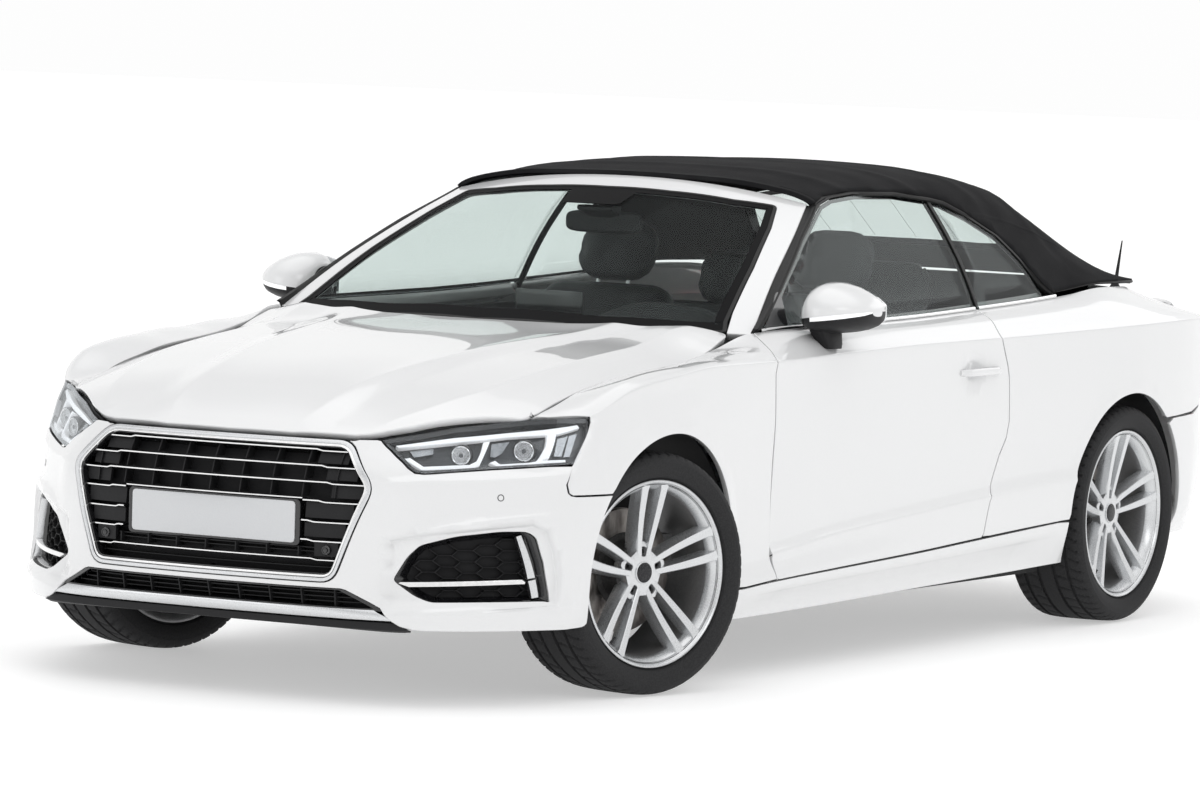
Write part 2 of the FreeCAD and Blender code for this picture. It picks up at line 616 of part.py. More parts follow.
# Rear face of the lid, then its top.
LID_HALF = [(0, 1762), (400, 1760), (600, 1752), (655, 1775), (668, 1850), (662, 1960), (636, 2050), (560, 2140), (430, 2196), (200, 2222), (0, 2228)]
lid_outline = sym(LID_HALF)
deck_grid = [[(x, y, deck_z(x, y)) for x in xs] for y in frange(1585, 2256, 24)]
LIDF = [(-462, 700), (462, 700), (462, 880), (520, 960), (-520, 960), (-462, 880)]
LW = S("lid_wall")
deck_slab = thick(deck_grid, [[(p[0] * 0.998, p[1], p[2] - LW) for p in row] for row in deck_grid])
lid_top = biggest(deck_slab.common(prism(grow(lid_outline, -GAP), "z", 700, 1200)))
lid_face = tail_solid(700, 949, 60, nz=10).common(prism(LIDF, "y", 1900, 2500))
lid = biggest(fuse(lid_top, biggest(lid_face)))
lid = biggest(lid)
node("boot_lid", lid)

lidf_space = prism(grow(LIDF, 6), "y", 1700, 2500)
tl = tl.cut(lidf_space)
deck_space = thick([[(x, y, deck_z(x, y) + 80) for x in xs] for y in frange(1585, 2256, 24)],
                   [[(x, y, deck_z(x, y) - LW - 6) for x in xs] for y in frange(1585, 2256, 24)])
lid_space = biggest(deck_space.common(prism(grow(lid_outline, GAP), "z", 700, 1300)))
tl = biggest(tl.cut(lid_space))
both("tail_lights", tl)
quarter = biggest(quarter.cut(lid_space))
node("quarter_panel_left", quarter)
node("quarter_panel_right", mirror(quarter))

# Corner of the body between lid, lamp and quarter panel.
corner = tail_solid(898, 948, 34, nz=6).cut(lidf_space)
for sgn in (1, -1):
    p = prism([(1500, 600), (1892, 600), (1892, 700), (1880, 765), (1880, 800), (1911, 890), (1911, 1000), (1500, 1000)], "x", 500, 1000)
    corner = corner.cut(p if sgn > 0 else mirror(p))

# Deck ring between soft top and lid, with the strips beside the lid.
TOP_BASE = [(0, 1655), (300, 1652), (520, 1640), (680, 1590), (745, 1500), (775, 1400)]
deck_half = [(0, 1662), (300, 1659), (524, 1647), (686, 1597), (700, 1592), (706, 1700), (690, 1900), (660, 2000), (625, 2082), (560, 2146), (420, 2200), (0, 2236)]
deck = deck_slab.common(prism(sym(deck_half), "z", 700, 1300)).cut(lid_space)

# ---------------------------------------------------------------- windscreen
us = frange(-1, 1, 33)
ws_out = [[ws_pt(u, v) for u in us] for v in frange(0, 1, 14)]
FW = S("frame_wall")
ws_in = offset_grid(ws_out, FW)
if ws_in[7][16][2] > ws_out[7][16][2]:
    ws_in = offset_grid(ws_out, -FW)
ws_slab = thick(ws_out, ws_in)
WSG = [(0, -1010), (350, -985), (600, -905), (722, -842), (700, -800), (640, -560), (575, -350), (524, -226), (400, -262), (200, -284), (0, -290)]
ws_glass_prism = prism(sym(WSG), "z", 700, 1500)
ws_frame = biggest(ws_slab.cut(ws_glass_prism))
GT = S("glass_thick")
g_in = offset_grid(ws_out, GT)
if g_in[7][16][2] > ws_out[7][16][2]:
    g_in = offset_grid(ws_out, -GT)
ws_glass = biggest(thick(ws_out, g_in).common(prism(grow(sym(WSG), -1.0), "z", 700, 1500)))
node("windscreen", ws_glass)

# ---------------------------------------------------------------- soft top
DOOR_GLASS = [(-788, 955), (-530, 1093), (-350, 1185), (-172, 1262), (-120, 1283), (-40, 1299), (100, 1308), (330, 1304), (512, 1286), (502, 960), (0, 940), (-700, 930)]
QUARTER_GLASS = [(524, 1285), (580, 1277), (695, 1236), (816, 1176), (890, 1105), (945, 1030), (985, 998), (985, 960), (514, 940)]
side_open = [(-900, 900), (-900, 1000), (-530, 1108), (-200, 1262), (-150, 1284), (-60, 1306), (100, 1318), (330, 1314), (530, 1294), (600, 1283), (705, 1246),
             (830, 1183), (905, 1110), (960, 1034), (1000, 1004), (1000, 900)]
ys_top = frange(-214, 1648, 50)
rs = frange(-5.92, 5.92, 49)
top_out = [[gh_pt(y, r) for r in rs] for y in ys_top]
RW = S("roof_wall")
top_in = offset_grid(top_out, RW)
if top_in[10][24][2] > top_out[10][24][2]:
    top_in = offset_grid(top_out, -RW)
top = thick(top_out, top_in)
po = prism(side_open, "x", 540, 1000)
top = top.cut(po).cut(mirror(po))
header = [(x, -189 + 50 * (x / 585.0) ** 2.2) for x in (0, 120, 240, 340, 430, 510, 570, 640, 760)]
top = top.cut(prism(sym([(0, -400)] + header[0:0] + [(900, -400), (900, 20), (760, 20)] + header[::-1]), "z", 900, 1600))
RWIN = [(0, 1236), (300, 1240), (440, 1262), (500, 1440), (470, 1480), (300, 1500), (0, 1506)]
rwin_prism = prism(sym(RWIN), "z", 900, 1500)
soft_top = biggest(top.cut(rwin_prism))
rear_glass = biggest(thick(top_out, top_in).common(prism(grow(sym(RWIN), -1.0), "z", 900, 1500)))
node("rear_window", rear_glass)


def side_glass(poly):
    zs = frange(935, 1320, 16)
    out = [[(glass_x(z), y, z) for z in zs] for y in frange(-820, 1010, 6)]
    inn = [[(p[0] - GT, p[1], p[2]) for p in row] for row in out]
    return biggest(thick(out, inn).common(prism(poly, "x", 500, 1000)))


belt = pchip(SIDE_Y, SIDE_Z[7])
dg = [(-784, belt(-784) + 3)] + DOOR_GLASS[1:9] + [(y, belt(y) + 3) for y in (503, 250, 0, -250, -500, -700)]
door_glass = side_glass(dg)
node("door_glass_left", door_glass)
node("door_glass_right", mirror(door_glass))
qg = QUARTER_GLASS[:6] + [(975, 1000)] + [(y, belt(y) + 3) for y in (970, 800, 650, 515)]
both("quarter_windows", side_glass(qg))

# ---------------------------------------------------------------- mirrors, handles
def ellipsoid(cx, cy, cz, rx, ry, rz):
    sph = Part.makeSphere(100.0)
    m = FreeCAD.Matrix()
    m.scale(V(rx / 100.0, ry / 100.0, rz / 100.0))
    g = sph.transformGeometry(m)
    g.translate(V(cx, cy, cz))
    return g


head = ellipsoid(911, -515, 1010, 103.4, 118, 74).common(box(812, 1014.5, -660, -412, 940, 1085))
foot = prism([(-560, 950), (-455, 950), (-470, 912), (-545, 906)], "x", 866, 900)
neck = box(868, 925, -545, -470, 925, 985)
mir = biggest(head.fuse(neck).removeSplitter())
mir = biggest(mir.cut(side_skin(-700, -350, 8, 4, 7, 12, lambda y, r: 700)))
node("door_mirror_left", mir)
node("door_mirror_right", mirror(mir))

hx = side_w(330, 803)
grip = box(hx + 8, hx + 22, 210, 446, 790, 816)
posts = [box(hx + 0.2, hx + 10, 212, 252, 792, 814), box(hx + 0.2, hx + 10, 404, 444, 792, 814)]
handle = biggest(fuse(grip, *posts))
handle = biggest(handle.cut(door_left))
node("door_handle_left", handle)
node("door_handle_right", mirror(handle))

# ---------------------------------------------------------------- structure
FZ, FT, FH = S("floor_z"), S("floor_thick"), S("floor_half")
pan = [
    box(-FH, FH, -900, 1000, FZ, FZ + FT),                      # cabin floor
    box(-FH, -FH + 60, -900, 880, FZ + FT, 300), box(FH - 60, FH, -900, 880, FZ + FT, 300),   # inner sills
    box(-150, 150, -900, 700, FZ + FT, 330),                    # tunnel
    box(-640, 640, -940, -900, FZ, 800),                        # bulkhead
    box(-690, -640, -940, -900, 420, 800), box(640, 690, -940, -900, 420, 800),
    box(-560, 560, 640, 1000, FZ + FT, 330),                    # rear seat pan
    box(-560, 560, 960, 1000, 330, 860),                        # rear bulkhead
    box(-560, 560, 1000, 2110, 400, 430),                       # boot floor
    box(-560, 560, 2110, 2140, 400, 520),                       # rear cross member
    box(-590, -540, 900, 1000, FZ + FT - 5, 420), box(540, 590, 900, 1000, FZ + FT - 5, 420),
]
floor_pan = biggest(fuse(*pan))
floor_pan = biggest(floor_pan.cut(box(-48, 48, -1000, 1010, 100, 250)))
node("floor_pan", floor_pan)

# Front rails either side of the engine, tied by a cross member with the towing eye's thread.
rails = fuse(box(-430, -370, -2130, -940, 430, 520), box(370, 430, -2130, -940, 430, 520), box(-430, 430, -2160, -2120, 420, 530))
rails = biggest(rails.cut(Part.makeCylinder(10, 80, V(-330, -2180, 487), V(0, 1, 0))))
node("front_rails", rails)

# Cowl between bonnet, windscreen and bulkhead.
cowl = fuse(box(-640, 640, -1000, -900, 800, 830), box(-640, 640, -900, -850, 800, 870), box(-700, -640, -900, -862, 780, 866), box(640, 700, -900, -862, 780, 866))
node("cowl_panel", biggest(cowl))

eng = doc.addObject("Part::Box", "engine_block")
eng.Label = "engine_block"
eng.Length, eng.Width, eng.Height = 520, 780, 420
eng.Placement = FreeCAD.Placement(V(-260, -1960, 260), FreeCAD.Rotation())
NODES.append(eng)

# Front subframe with lower arms out to the kingpins.
KX = S("kingpin_x")
sub = [box(-300, 300, -1560, -1340, 150, 220), box(-340, -280, -1750, -1150, 160, 215), box(280, 340, -1750, -1150, 160, 215)]
for sgn in (1, -1):
    arm = prism([(sgn * 300, -1540), (sgn * 300, -1360), (sgn * KX, -1436), (sgn * KX, -1464)], "z", 172, 196)
    sub.append(arm)
    sub.append(Part.makeCylinder(20, 28, V(sgn * KX, FAY, 172)))
front_sub = biggest(fuse(*sub))
node("front_subframe", front_sub)

rsub = [box(-320, 320, 1215, 1415, 224, 284)]
for sgn in (1, -1):
    rsub.append(prism([(sgn * 300, 1230), (sgn * 300, 1400), (sgn * 560, 1345), (sgn * 560, 1285)], "z", 230, 260))
    rsub.append(box(min(sgn * 540, sgn * 600), max(sgn * 540, sgn * 600), 1275, 1355, 215, 395))
    x0, x1 = sorted((sgn * 590, sgn * 690))
    rsub.append(cyl_x(36, x0, x1, RAY, AZ))
    # caliper ahead of the disc
    x0, x1 = sorted((sgn * 600, sgn * 645))
    rsub.append(box(x0, x1, 1180, 1300, 375, 440).cut(cyl_x(S("disc_radius") + 4, -900, 900, RAY, AZ)))
rear_sub = biggest(fuse(*rsub))
node("rear_subframe", rear_sub)

# ---------------------------------------------------------------- cabin
dash = fuse(prism([(-842, 640), (-842, 790), (-800, 905), (-620, 925), (-470, 880), (-440, 800), (-470, 720), (-620, 640)], "x", -690, 690),
            )
node("dashboard", biggest(dash))
console = fuse(box(-115, 115, -560, 330, 332, 520), box(-115, 115, -430, -60, 520, 560), box(-100, 100, 60, 330, 520, 600))
node("centre_console", biggest(console))


def seat(cx, y0):
    base = prism([(y0, 300), (y0, 400), (y0 + 40, 470), (y0 + 480, 440), (y0 + 520, 300)], "x", cx - 214, cx + 226)
    back = prism([(y0 + 430, 440), (y0 + 560, 420), (y0 + 740, 970), (y0 + 630, 1000)], "x", cx - 212, cx + 222)
    headr = prism([(y0 + 655, 1020), (y0 + 750, 1000), (y0 + 790, 1180), (y0 + 700, 1190)], "x", cx - 130, cx + 130)
    post = prism([(y0 + 690, 960), (y0 + 715, 955), (y0 + 735, 1060), (y0 + 710, 1065)], "x", cx - 60, cx + 60)
    rails = box(cx - 200, cx + 200, y0 + 60, y0 + 460, FZ + FT, 305)
    return biggest(fuse(base, back, headr, post, rails))


fs = seat(370, -330)
node("front_seats", Part.makeCompound([fs, mirror(fs)]))
rseat = fuse(box(-536, 536, 520 + 20, 940, 332, 470), prism([(840, 470), (955, 470), (958, 900), (905, 930)], "x", -560, 560))
for sgn in (1, -1):
    x0, x1 = sorted((sgn * 150, sgn * 400))
    rseat = rseat.fuse(prism([(900, 925), (955, 900), (985, 1080), (930, 1085)], "x", x0, x1))
rseat = rseat.cut(box(-600, 600, 958, 1100, 300, 862)).cut(box(-150, 150, 500, 702, 300, 332))
node("rear_seats", biggest(rseat.removeSplitter()))

# Shelf behind the rear seats, under the soft top's rear edge.
shelf = box(-620, 620, 1002, 1640, 880, 905)
node("rear_shelf", shelf)

mirror_in = fuse(box(-125, 125, -330, -300, 1180, 1245), box(-14, 14, -345, -300, 1200, 1262), box(-60, 60, -375, -320, 1248, 1262))
node("interior_mirror", biggest(mirror_in))

# Steering wheel on a tilted column.
sw = doc.addObject("Part::Torus", "steering_rim")
sw.setExpression("Radius1", "sizes.steering_wheel_radius")
sw.setExpression("Radius2", "sizes.steering_rim_tube")
hub = doc.addObject("Part::Cylinder", "steering_hub")
hub.Radius, hub.Height = 62, 52
hub.Placement = FreeCAD.Placement(V(0, 0, -38), FreeCAD.Rotation())
sp = []
for k, (x0, x1, y0, y1) in enumerate([(-172, -50, -26, 26), (50, 172, -26, 26), (-22, 22, -172, -50)]):
    b = doc.addObject("Part::Box", "steering_spoke_%d" % k)
    b.Length, b.Width, b.Height = x1 - x0, y1 - y0, 16
    b.Placement = FreeCAD.Placement(V(x0, y0, -12), FreeCAD.Rotation())
    sp.append(b)
col = doc.addObject("Part::Cylinder", "steering_column")
col.Radius, col.Height = 20, 40
col.Placement = FreeCAD.Placement(V(0, 0, -75), FreeCAD.Rotation())
stw = doc.addObject("Part::MultiFuse", "steering_wheel")
stw.Shapes = [sw, hub, col] + sp
stw.Label = "steering_wheel"
tilt = S("column_tilt")
stw.Placement = FreeCAD.Placement(V(S("column_x"), S("column_y") + 40, S("column_z")), FreeCAD.Rotation(V(1, 0, 0), tilt - 90))
NODES.append(stw)
doc.recompute()

# ---------------------------------------------------------------- exhaust, antenna
ex = []
for sgn in (1, -1):
    c = Part.makeCylinder(36, 240, V(sgn * 440, 2000, 268), V(0, 1, 0))
    ex.append(c.cut(Part.makeCylinder(31, 120, V(sgn * 440, 2150, 268), V(0, 1, 0))))
mid = [Part.makeCylinder(S("exhaust_radius"), 2900, V(0, -950, 196), V(0, 1, 0))]
silencer = box(-500, 500, 1880, 2060, 232, 335)
link = box(-40, 40, 1880, 1950, 170, 260)
node("exhaust", biggest(fuse(silencer, link, mid[0], *ex)))

ant = Part.makeCone(7, 2.0, S("antenna_height"), V(640, 1720, deck_z(640, 1720) + 1), V(0, 0.28, 1))
antb = Part.makeCone(20, 9, 22, V(640, 1720, deck_z(640, 1720) - 4), V(0, 0.1, 1))
antenna = biggest(fuse(ant, antb))


# ---------------------------------------------------------------- wheels
def plane(body, role):
    for f in body.Origin.OriginFeatures:
        if f.Role == role:
            return f


def poly_sketch(body, name, pts, role):
    sk = body.newObject("Sketcher::SketchObject", name)
    sk.AttachmentSupport = [(plane(body, role), "")]
    sk.MapMode = "FlatFace"
    n = len(pts)
    for i in range(n):
        a, b = pts[i], pts[(i + 1) % n]
        sk.addGeometry(Part.LineSegment(V(a[0], a[1], 0), V(b[0], b[1], 0)), False)
    for i in range(n):
        sk.addConstraint(Sketcher.Constraint("Coincident", i, 2, (i + 1) % n, 1))
    return sk


def bind_point(sk, i, name, axis, expr, value):
    """Distance of a sketch point from an axis, driven by the sheet."""
    kind = "DistanceX" if axis == "x" else "DistanceY"
    k = sk.addConstraint(Sketcher.Constraint(kind, -1, 1, i, 1, value))
    sk.renameConstraint(k, name)
    sk.setExpression("Constraints." + name, expr)


TR, TW = S("tyre_radius"), S("tyre_width")
RS, RL, RB, RH = S("rim_seat_radius"), S("rim_lip_radius"), S("rim_barrel_radius"), S("rim_half_width")


def tyre_body(label, place):
    b = doc.addObject("PartDesign::Body", label)
    h = TW / 2
    pts = [(-100, TR), (100, TR), (h - 6, TR - 20), (h, TR - 45), (RH - 9, RL + 2), (RH - 16, RS + 0.3), (RH - 26, RS + 0.3), (RH - 30, RS + 12), (-RH + 30, RS + 12),
           (-RH + 26, RS + 0.3), (-RH + 16, RS + 0.3), (-RH + 9, RL + 2), (-h, TR - 45), (-h + 6, TR - 20)]
    sk = poly_sketch(b, label + "_profile", pts, "XY_Plane")
    bind_point(sk, 0, "crown", "y", "sizes.tyre_radius", TR)
    bind_point(sk, 3, "wall", "x", "sizes.tyre_width / 2", h)
    rev = b.newObject("PartDesign::Revolution", label + "_turn")
    rev.Profile = sk
    rev.ReferenceAxis = (sk, ["H_Axis"])
    rev.Angle = 360
    b.Label = label
    b.Placement = place
    NODES.append(b)
    return b


def rim_body(label, place):
    """Barrel, hub with brake disc, and five pairs of spokes; outer face at +X."""
    b = doc.addObject("PartDesign::Body", label)
    pts = [(-RH, RL), (-RH + 8, RL), (-RH + 14, RS), (RH - 14, RS), (RH - 8, RL), (RH, RL), (RH, RL - 9), (RH - 16, RB), (-RH + 16, RB - 4), (-RH, RL - 9)]
    sk = poly_sketch(b, label + "_barrel_profile", pts, "XY_Plane")
    bind_point(sk, 0, "lip", "y", "sizes.rim_lip_radius", RL)
    bind_point(sk, 3, "bead", "y", "sizes.rim_seat_radius", RS)
    rev = b.newObject("PartDesign::Revolution", label + "_barrel")
    rev.Profile = sk
    rev.ReferenceAxis = (sk, ["H_Axis"])
    rev.Angle = 360
    HR, DO, DT, DR = S("hub_radius"), S("disc_offset"), S("disc_thick"), S("disc_radius")
    # one pair of spokes, drawn on the wheel plane and padded to the outer face
    r0, r1 = HR - 16, RB + 4
    sk2 = poly_sketch(b, label + "_spoke_profile", [(-12, r0), (12, r0), (17, 130), (68, r1), (36, r1), (0, 150), (-36, r1), (-68, r1), (-17, 130)], "YZ_Plane")
    pad = b.newObject("PartDesign::Pad", label + "_spokes")
    pad.Profile = sk2
    pad.Length = 88
    pad.Reversed = False
    doc.recompute()
    pat = b.newObject("PartDesign::PolarPattern", label + "_spoke_ring")
    pat.Originals = [pad]
    pat.Axis = (sk, ["H_Axis"])
    pat.Angle = 360
    pat.setExpression("Occurrences", "sizes.spoke_count")
    b.Tip = pat
    doc.recompute()
    hub_pts = [(84, 0), (84, 30), (76, HR), (40, HR), (DO - 44, HR + 4), (DO - 46, DR), (DO - 46 - DT, DR), (DO - 46 - DT, 56), (DO - 46 - DT, 0)]
    sk3 = poly_sketch(b, label + "_hub_profile", hub_pts, "XY_Plane")
    bind_point(sk3, 5, "disc", "y", "sizes.disc_radius", DR)
    rev2 = b.newObject("PartDesign::Revolution", label + "_hub_and_disc")
    rev2.Profile = sk3
    rev2.ReferenceAxis = (sk3, ["H_Axis"])
    rev2.Angle = 360
    b.Tip = rev2
    b.Label = label
    b.Placement = place
    NODES.append(b)
    return b


ST = S("rest_steer")
FT_H, RT_H = S("front_track_half"), S("rear_track_half")
off = FT_H - KX
rad = math.radians(-ST)


def steer_place(sgn):
    """Wheel centre carried round its kingpin to the rest steering angle."""
    dx = sgn * off
    cx = sgn * KX + dx * math.cos(rad)
    cy = FAY + dx * math.sin(rad)
    ang = -ST if sgn > 0 else 180 - ST
    return FreeCAD.Placement(V(cx, cy, AZ), FreeCAD.Rotation(V(0, 0, 1), ang))


PL = {"front_left": steer_place(1), "front_right": steer_place(-1),
      "rear_left": FreeCAD.Placement(V(RT_H, RAY, AZ), FreeCAD.Rotation()),
      "rear_right": FreeCAD.Placement(V(-RT_H, RAY, AZ), FreeCAD.Rotation(V(0, 0, 1), 180))}
for pos, pl in PL.items():
    tyre_body("tyre_" + pos, pl)
    rim_body("wheel_" + pos, pl)

# Front knuckles: upright, stub axle and caliper, turning about the kingpin.
def knuckle(sgn):
    up = box(-32, 16, -38, 38, -129.5, 150)
    stub = cyl_x(30, 10, 24, 0, 0)
    lever = box(-30, 10, 60, 120, -60, -30).fuse(box(-20, 10, 20, 80, -60, -30))
    cal = box(-6, 46, 120, 196, -20, 90).cut(cyl_x(S("disc_radius") + 5, -60, 70, 0, 0))
    link = box(-30, 0, 30, 196, -15, 70).cut(cyl_x(S("disc_radius") + 5, 2, 70, 0, 0))
    k = fuse(up, stub, lever, link, cal)
    k = biggest(k)
    # local +X is outboard; the kingpin passes through the local origin
    m = FreeCAD.Placement(V(sgn * KX, FAY, AZ), FreeCAD.Rotation(V(0, 0, 1), -ST if sgn > 0 else 180 - ST))
    k.Placement = m
    return k


node("front_knuckle_left", knuckle(1))
node("front_knuckle_right", knuckle(-1))

# Plates: plain blank sheets.
PW, PH, PT = S("plate_width"), S("plate_height"), S("plate_thick")
plf = box(-PW / 2, PW / 2, -2284 - PT, -2284, 418, 418 + PH)
plr = box(-PW / 2, PW / 2, 2310, 2310 + PT, 500, 500 + PH)

# Wheel-arch liners: half tubes above each wheel.
LT = S("liner_thick")


def liner(y, r, x0, x1, zlow):
    a = cyl_x(r + LT, x0, x1, y, AZ).cut(cyl_x(r, x0 - 1, x1 + 1, y, AZ))
    return a.cut(box(x0 - 1, x1 + 1, y - 600, y + 600, 0, zlow))


lf = liner(FAY, LR, 500, 860, 330)
lr = liner(RAY, LR - 16, 604, 870, 330)
doc.recompute()

PENDING = {"corner": corner, "deck": deck, "ws_frame": ws_frame, "soft_top": soft_top, "antenna": antenna, "plf": plf, "plr": plr, "lf": lf, "lr": lr}

# The soft top stops on the quarter panel, the frame and the deck.
side_all = side_skin(-900, 1990, 60, 5.4, 7, 10, lambda y, r: 560)
st_cut = soft_top
node("soft_top", st_cut)
wf = ws_frame
for s in (1, -1):
    for p in (fender, door_left):
        wf = wf.cut(p if s > 0 else mirror(p))
wf = wf.cut(box(-900, 900, -1100, -700, 500, 905))
wf = wf.cut(bonnet_space)
node("windscreen_frame", biggest(wf))
dk = deck.cut(quarter).cut(mirror(quarter)).cut(st_cut)
cr = corner.cut(lid_space).cut(quarter).cut(mirror(quarter)).cut(dk)
node("rear_deck", biggest(dk))
parts_c = sorted(cr.Solids, key=lambda q: -q.Volume)[:2]
node("tail_corners", Part.makeCompound(parts_c))
node("antenna", biggest(antenna.cut(dk).cut(quarter)))
node("number_plates", Part.makeCompound([plf.cut(grille), plr.cut(rb)]))
lf = lf.cut(fender).cut(bumper).cut(lamp)
lr = lr.cut(quarter).cut(rb)
node("wheel_arch_liners", Part.makeCompound([biggest(lf), mirror(biggest(lf)), biggest(lr), mirror(biggest(lr))]))
doc.recompute()

# ---------------------------------------------------------------- output
bad = []
for o in doc.Objects:
    if "Invalid" in o.State or "Error" in o.State:
        bad.append((o.Name, list(o.State)))
for o in NODES:
    sh = o.Shape
    if sh.isNull() or not sh.isValid() or not sh.Solids:
        bad.append((o.Label, "shape"))
if bad:
    raise SystemExit("not written: %r" % bad)
for o in NODES:
    o.Shape.exportStep("parts/%s.step" % o.Label)
    bb = o.Shape.BoundBox
    print("%-22s %8.1f %8.1f %8.1f %8.1f %8.1f %8.1f  %2d %12.0f" % (o.Label, bb.XMin, bb.XMax, bb.YMin, bb.YMax, bb.ZMin, bb.ZMax, len(o.Shape.Solids), o.Shape.Volume))
print(len(NODES), "nodes")
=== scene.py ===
# Four-seat convertible car with its soft top up: surfaces, finishes and detail.
import bpy
import bmesh
import json
import mathutils
from mathutils import Vector, Matrix
from mathutils.geometry import delaunay_2d_cdt

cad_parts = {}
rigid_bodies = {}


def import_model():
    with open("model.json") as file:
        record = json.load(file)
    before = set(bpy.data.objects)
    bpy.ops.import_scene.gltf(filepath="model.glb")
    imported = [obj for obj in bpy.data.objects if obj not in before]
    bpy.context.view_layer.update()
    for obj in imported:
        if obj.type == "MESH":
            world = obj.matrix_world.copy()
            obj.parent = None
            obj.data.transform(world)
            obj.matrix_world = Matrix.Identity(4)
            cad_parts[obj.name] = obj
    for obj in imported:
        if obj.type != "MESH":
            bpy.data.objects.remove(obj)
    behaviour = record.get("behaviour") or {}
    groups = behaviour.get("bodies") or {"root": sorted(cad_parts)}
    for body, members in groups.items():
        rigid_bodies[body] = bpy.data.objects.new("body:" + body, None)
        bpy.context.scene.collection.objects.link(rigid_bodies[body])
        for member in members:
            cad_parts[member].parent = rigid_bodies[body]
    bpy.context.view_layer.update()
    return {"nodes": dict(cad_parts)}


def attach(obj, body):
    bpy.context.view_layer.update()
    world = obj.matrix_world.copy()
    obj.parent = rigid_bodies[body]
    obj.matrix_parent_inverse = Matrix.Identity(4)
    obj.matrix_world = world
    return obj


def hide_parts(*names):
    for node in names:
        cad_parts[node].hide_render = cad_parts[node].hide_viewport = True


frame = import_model()
MM = 0.001
import math
import numpy as np

# ---------------------------------------------------------------- body surfaces
# Feature lines, in millimetres; x to the car's left,
# y to the tail, z up.


def pchip_rows(kn, V, r):
    """Monotone cubic through knots kn; V is (K, N) or (K,), r is (N,)."""
    kn = np.asarray(kn, float)
    r = np.atleast_1d(np.asarray(r, float))
    V = np.asarray(V, float)
    if V.ndim == 1:
        V = np.repeat(V[:, None], len(r), 1)
    hs = np.diff(kn)[:, None]
    ds = np.diff(V, axis=0) / hs
    K = len(kn)
    ms = np.zeros_like(V)
    ms[0], ms[-1] = ds[0], ds[-1]
    a, b = ds[:-1], ds[1:]
    w1, w2 = 2 * hs[1:] + hs[:-1], hs[1:] + 2 * hs[:-1]
    with np.errstate(divide="ignore", invalid="ignore"):
        m = (w1 + w2) / (w1 / a + w2 / b)
    ms[1:-1] = np.where(a * b > 0, m, 0.0)
    i = np.clip(np.searchsorted(kn, r, side="right") - 1, 0, K - 2)
    n = np.arange(len(r))
    h = (kn[i + 1] - kn[i])
    t = (r - kn[i]) / h
    lo, hi = t < 0, t > 1
    tc = np.clip(t, 0, 1)
    t2, t3 = tc * tc, tc ** 3
    v = ((2 * t3 - 3 * t2 + 1) * V[i, n] + (t3 - 2 * t2 + tc) * h * ms[i, n]
         + (-2 * t3 + 3 * t2) * V[i + 1, n] + (t3 - t2) * h * ms[i + 1, n])
    v = np.where(lo, V[0, n] + ms[0, n] * (r - kn[0]), v)
    v = np.where(hi, V[-1, n] + ms[-1, n] * (r - kn[-1]), v)
    return v


def curve(xs, ys):
    return lambda x: pchip_rows(xs, np.asarray(ys, float), x)


SIDE_Y = [-1900, -1700, -1450, -1200, -1000, -850, -500, 0, 500, 900, 1100, 1315, 1500, 1700, 1900, 2000]
SIDE_X = [
    [862, 872, 880, 872, 862, 860, 860, 860, 860, 862, 866, 872, 872, 866, 845, 815],
    [885, 897, 905, 900, 896, 895, 895, 895, 896, 900, 905, 912, 908, 895, 866, 835],
    [892, 905, 914, 902, 884, 880, 882, 886, 892, 904, 910, 918, 914, 900, 870, 840],
    [896, 909, 918, 908, 894, 889, 889, 892, 898, 908, 914, 921, 917, 902, 870, 838],
    [893, 908, 919, 913, 906, 902, 901, 902, 905, 912, 917, 922.9, 918, 903, 868, 832],
    [886, 901, 913, 912, 910, 909, 908, 908, 909, 913, 916, 920, 915, 901, 866, 830],
    [850, 860, 868, 868, 866, 862, 860, 860, 860, 862, 864, 862, 850, 830, 800, 775],
    [745, 742, 754, 769, 772, 790, 800, 800, 800, 798, 795, 790, 770, 720, 690, 670],
]
SIDE_Z = [
    [204, 200, 190, 175, 169, 170, 174, 183, 190, 197, 200, 203, 210, 222, 240, 250],
    [290, 285, 270, 262, 258, 266, 282, 298, 318, 332, 335, 338, 345, 350, 350, 350],
    [400, 380, 360, 345, 335, 340, 372, 404, 433, 450, 455, 455, 455, 455, 455, 455],
    [560, 560, 560, 560, 560, 560, 562, 570, 580, 585, 585, 585, 585, 585, 585, 585],
    [700, 715, 725, 730, 730, 730, 732, 735, 738, 740, 740, 742, 745, 745, 742, 740],
    [779, 822, 857, 877, 877, 877, 885, 894, 895, 898, 900, 903, 905, 906, 900, 890],
    [788, 838, 872, 890, 894, 910, 930, 940, 945, 952, 958, 965, 962, 950, 925, 905],
    [762, 815, 852, 873, 884, 948, 956, 960, 974, 989, 1000, 1015, 1012, 988, 935, 900],
]
NOSE_Z = [205, 330, 470, 590, 700, 760]
NOSE = [
    [(0, -2300), (200, -2297), (400, -2285), (540, -2255), (650, -2180), (750, -2080), (825, -1970), (866, -1880), (870, -1790)],
    [(0, -2336.5), (200, -2328), (384, -2299), (520, -2236), (640, -2160), (745, -2060), (830, -1950), (880, -1860), (896, -1780)],
    [(0, -2334), (200, -2325), (400, -2298), (510, -2245), (610, -2170), (725, -2060), (825, -1940), (884, -1850), (904, -1770)],
    [(0, -2312), (200, -2304), (400, -2283), (490, -2255), (590, -2170), (710, -2050), (815, -1930), (882, -1840), (906, -1760)],
    [(0, -2250), (200, -2243), (387, -2218), (455, -2190), (570, -2105), (695, -1995), (800, -1880), (872, -1800), (902, -1740)],
    [(0, -2170), (200, -2165), (380, -2140), (460, -2110), (560, -2050), (680, -1960), (780, -1860), (848, -1790), (882, -1730)],
]
TAIL_Z = [240, 330, 480, 640, 760, 880, 950]
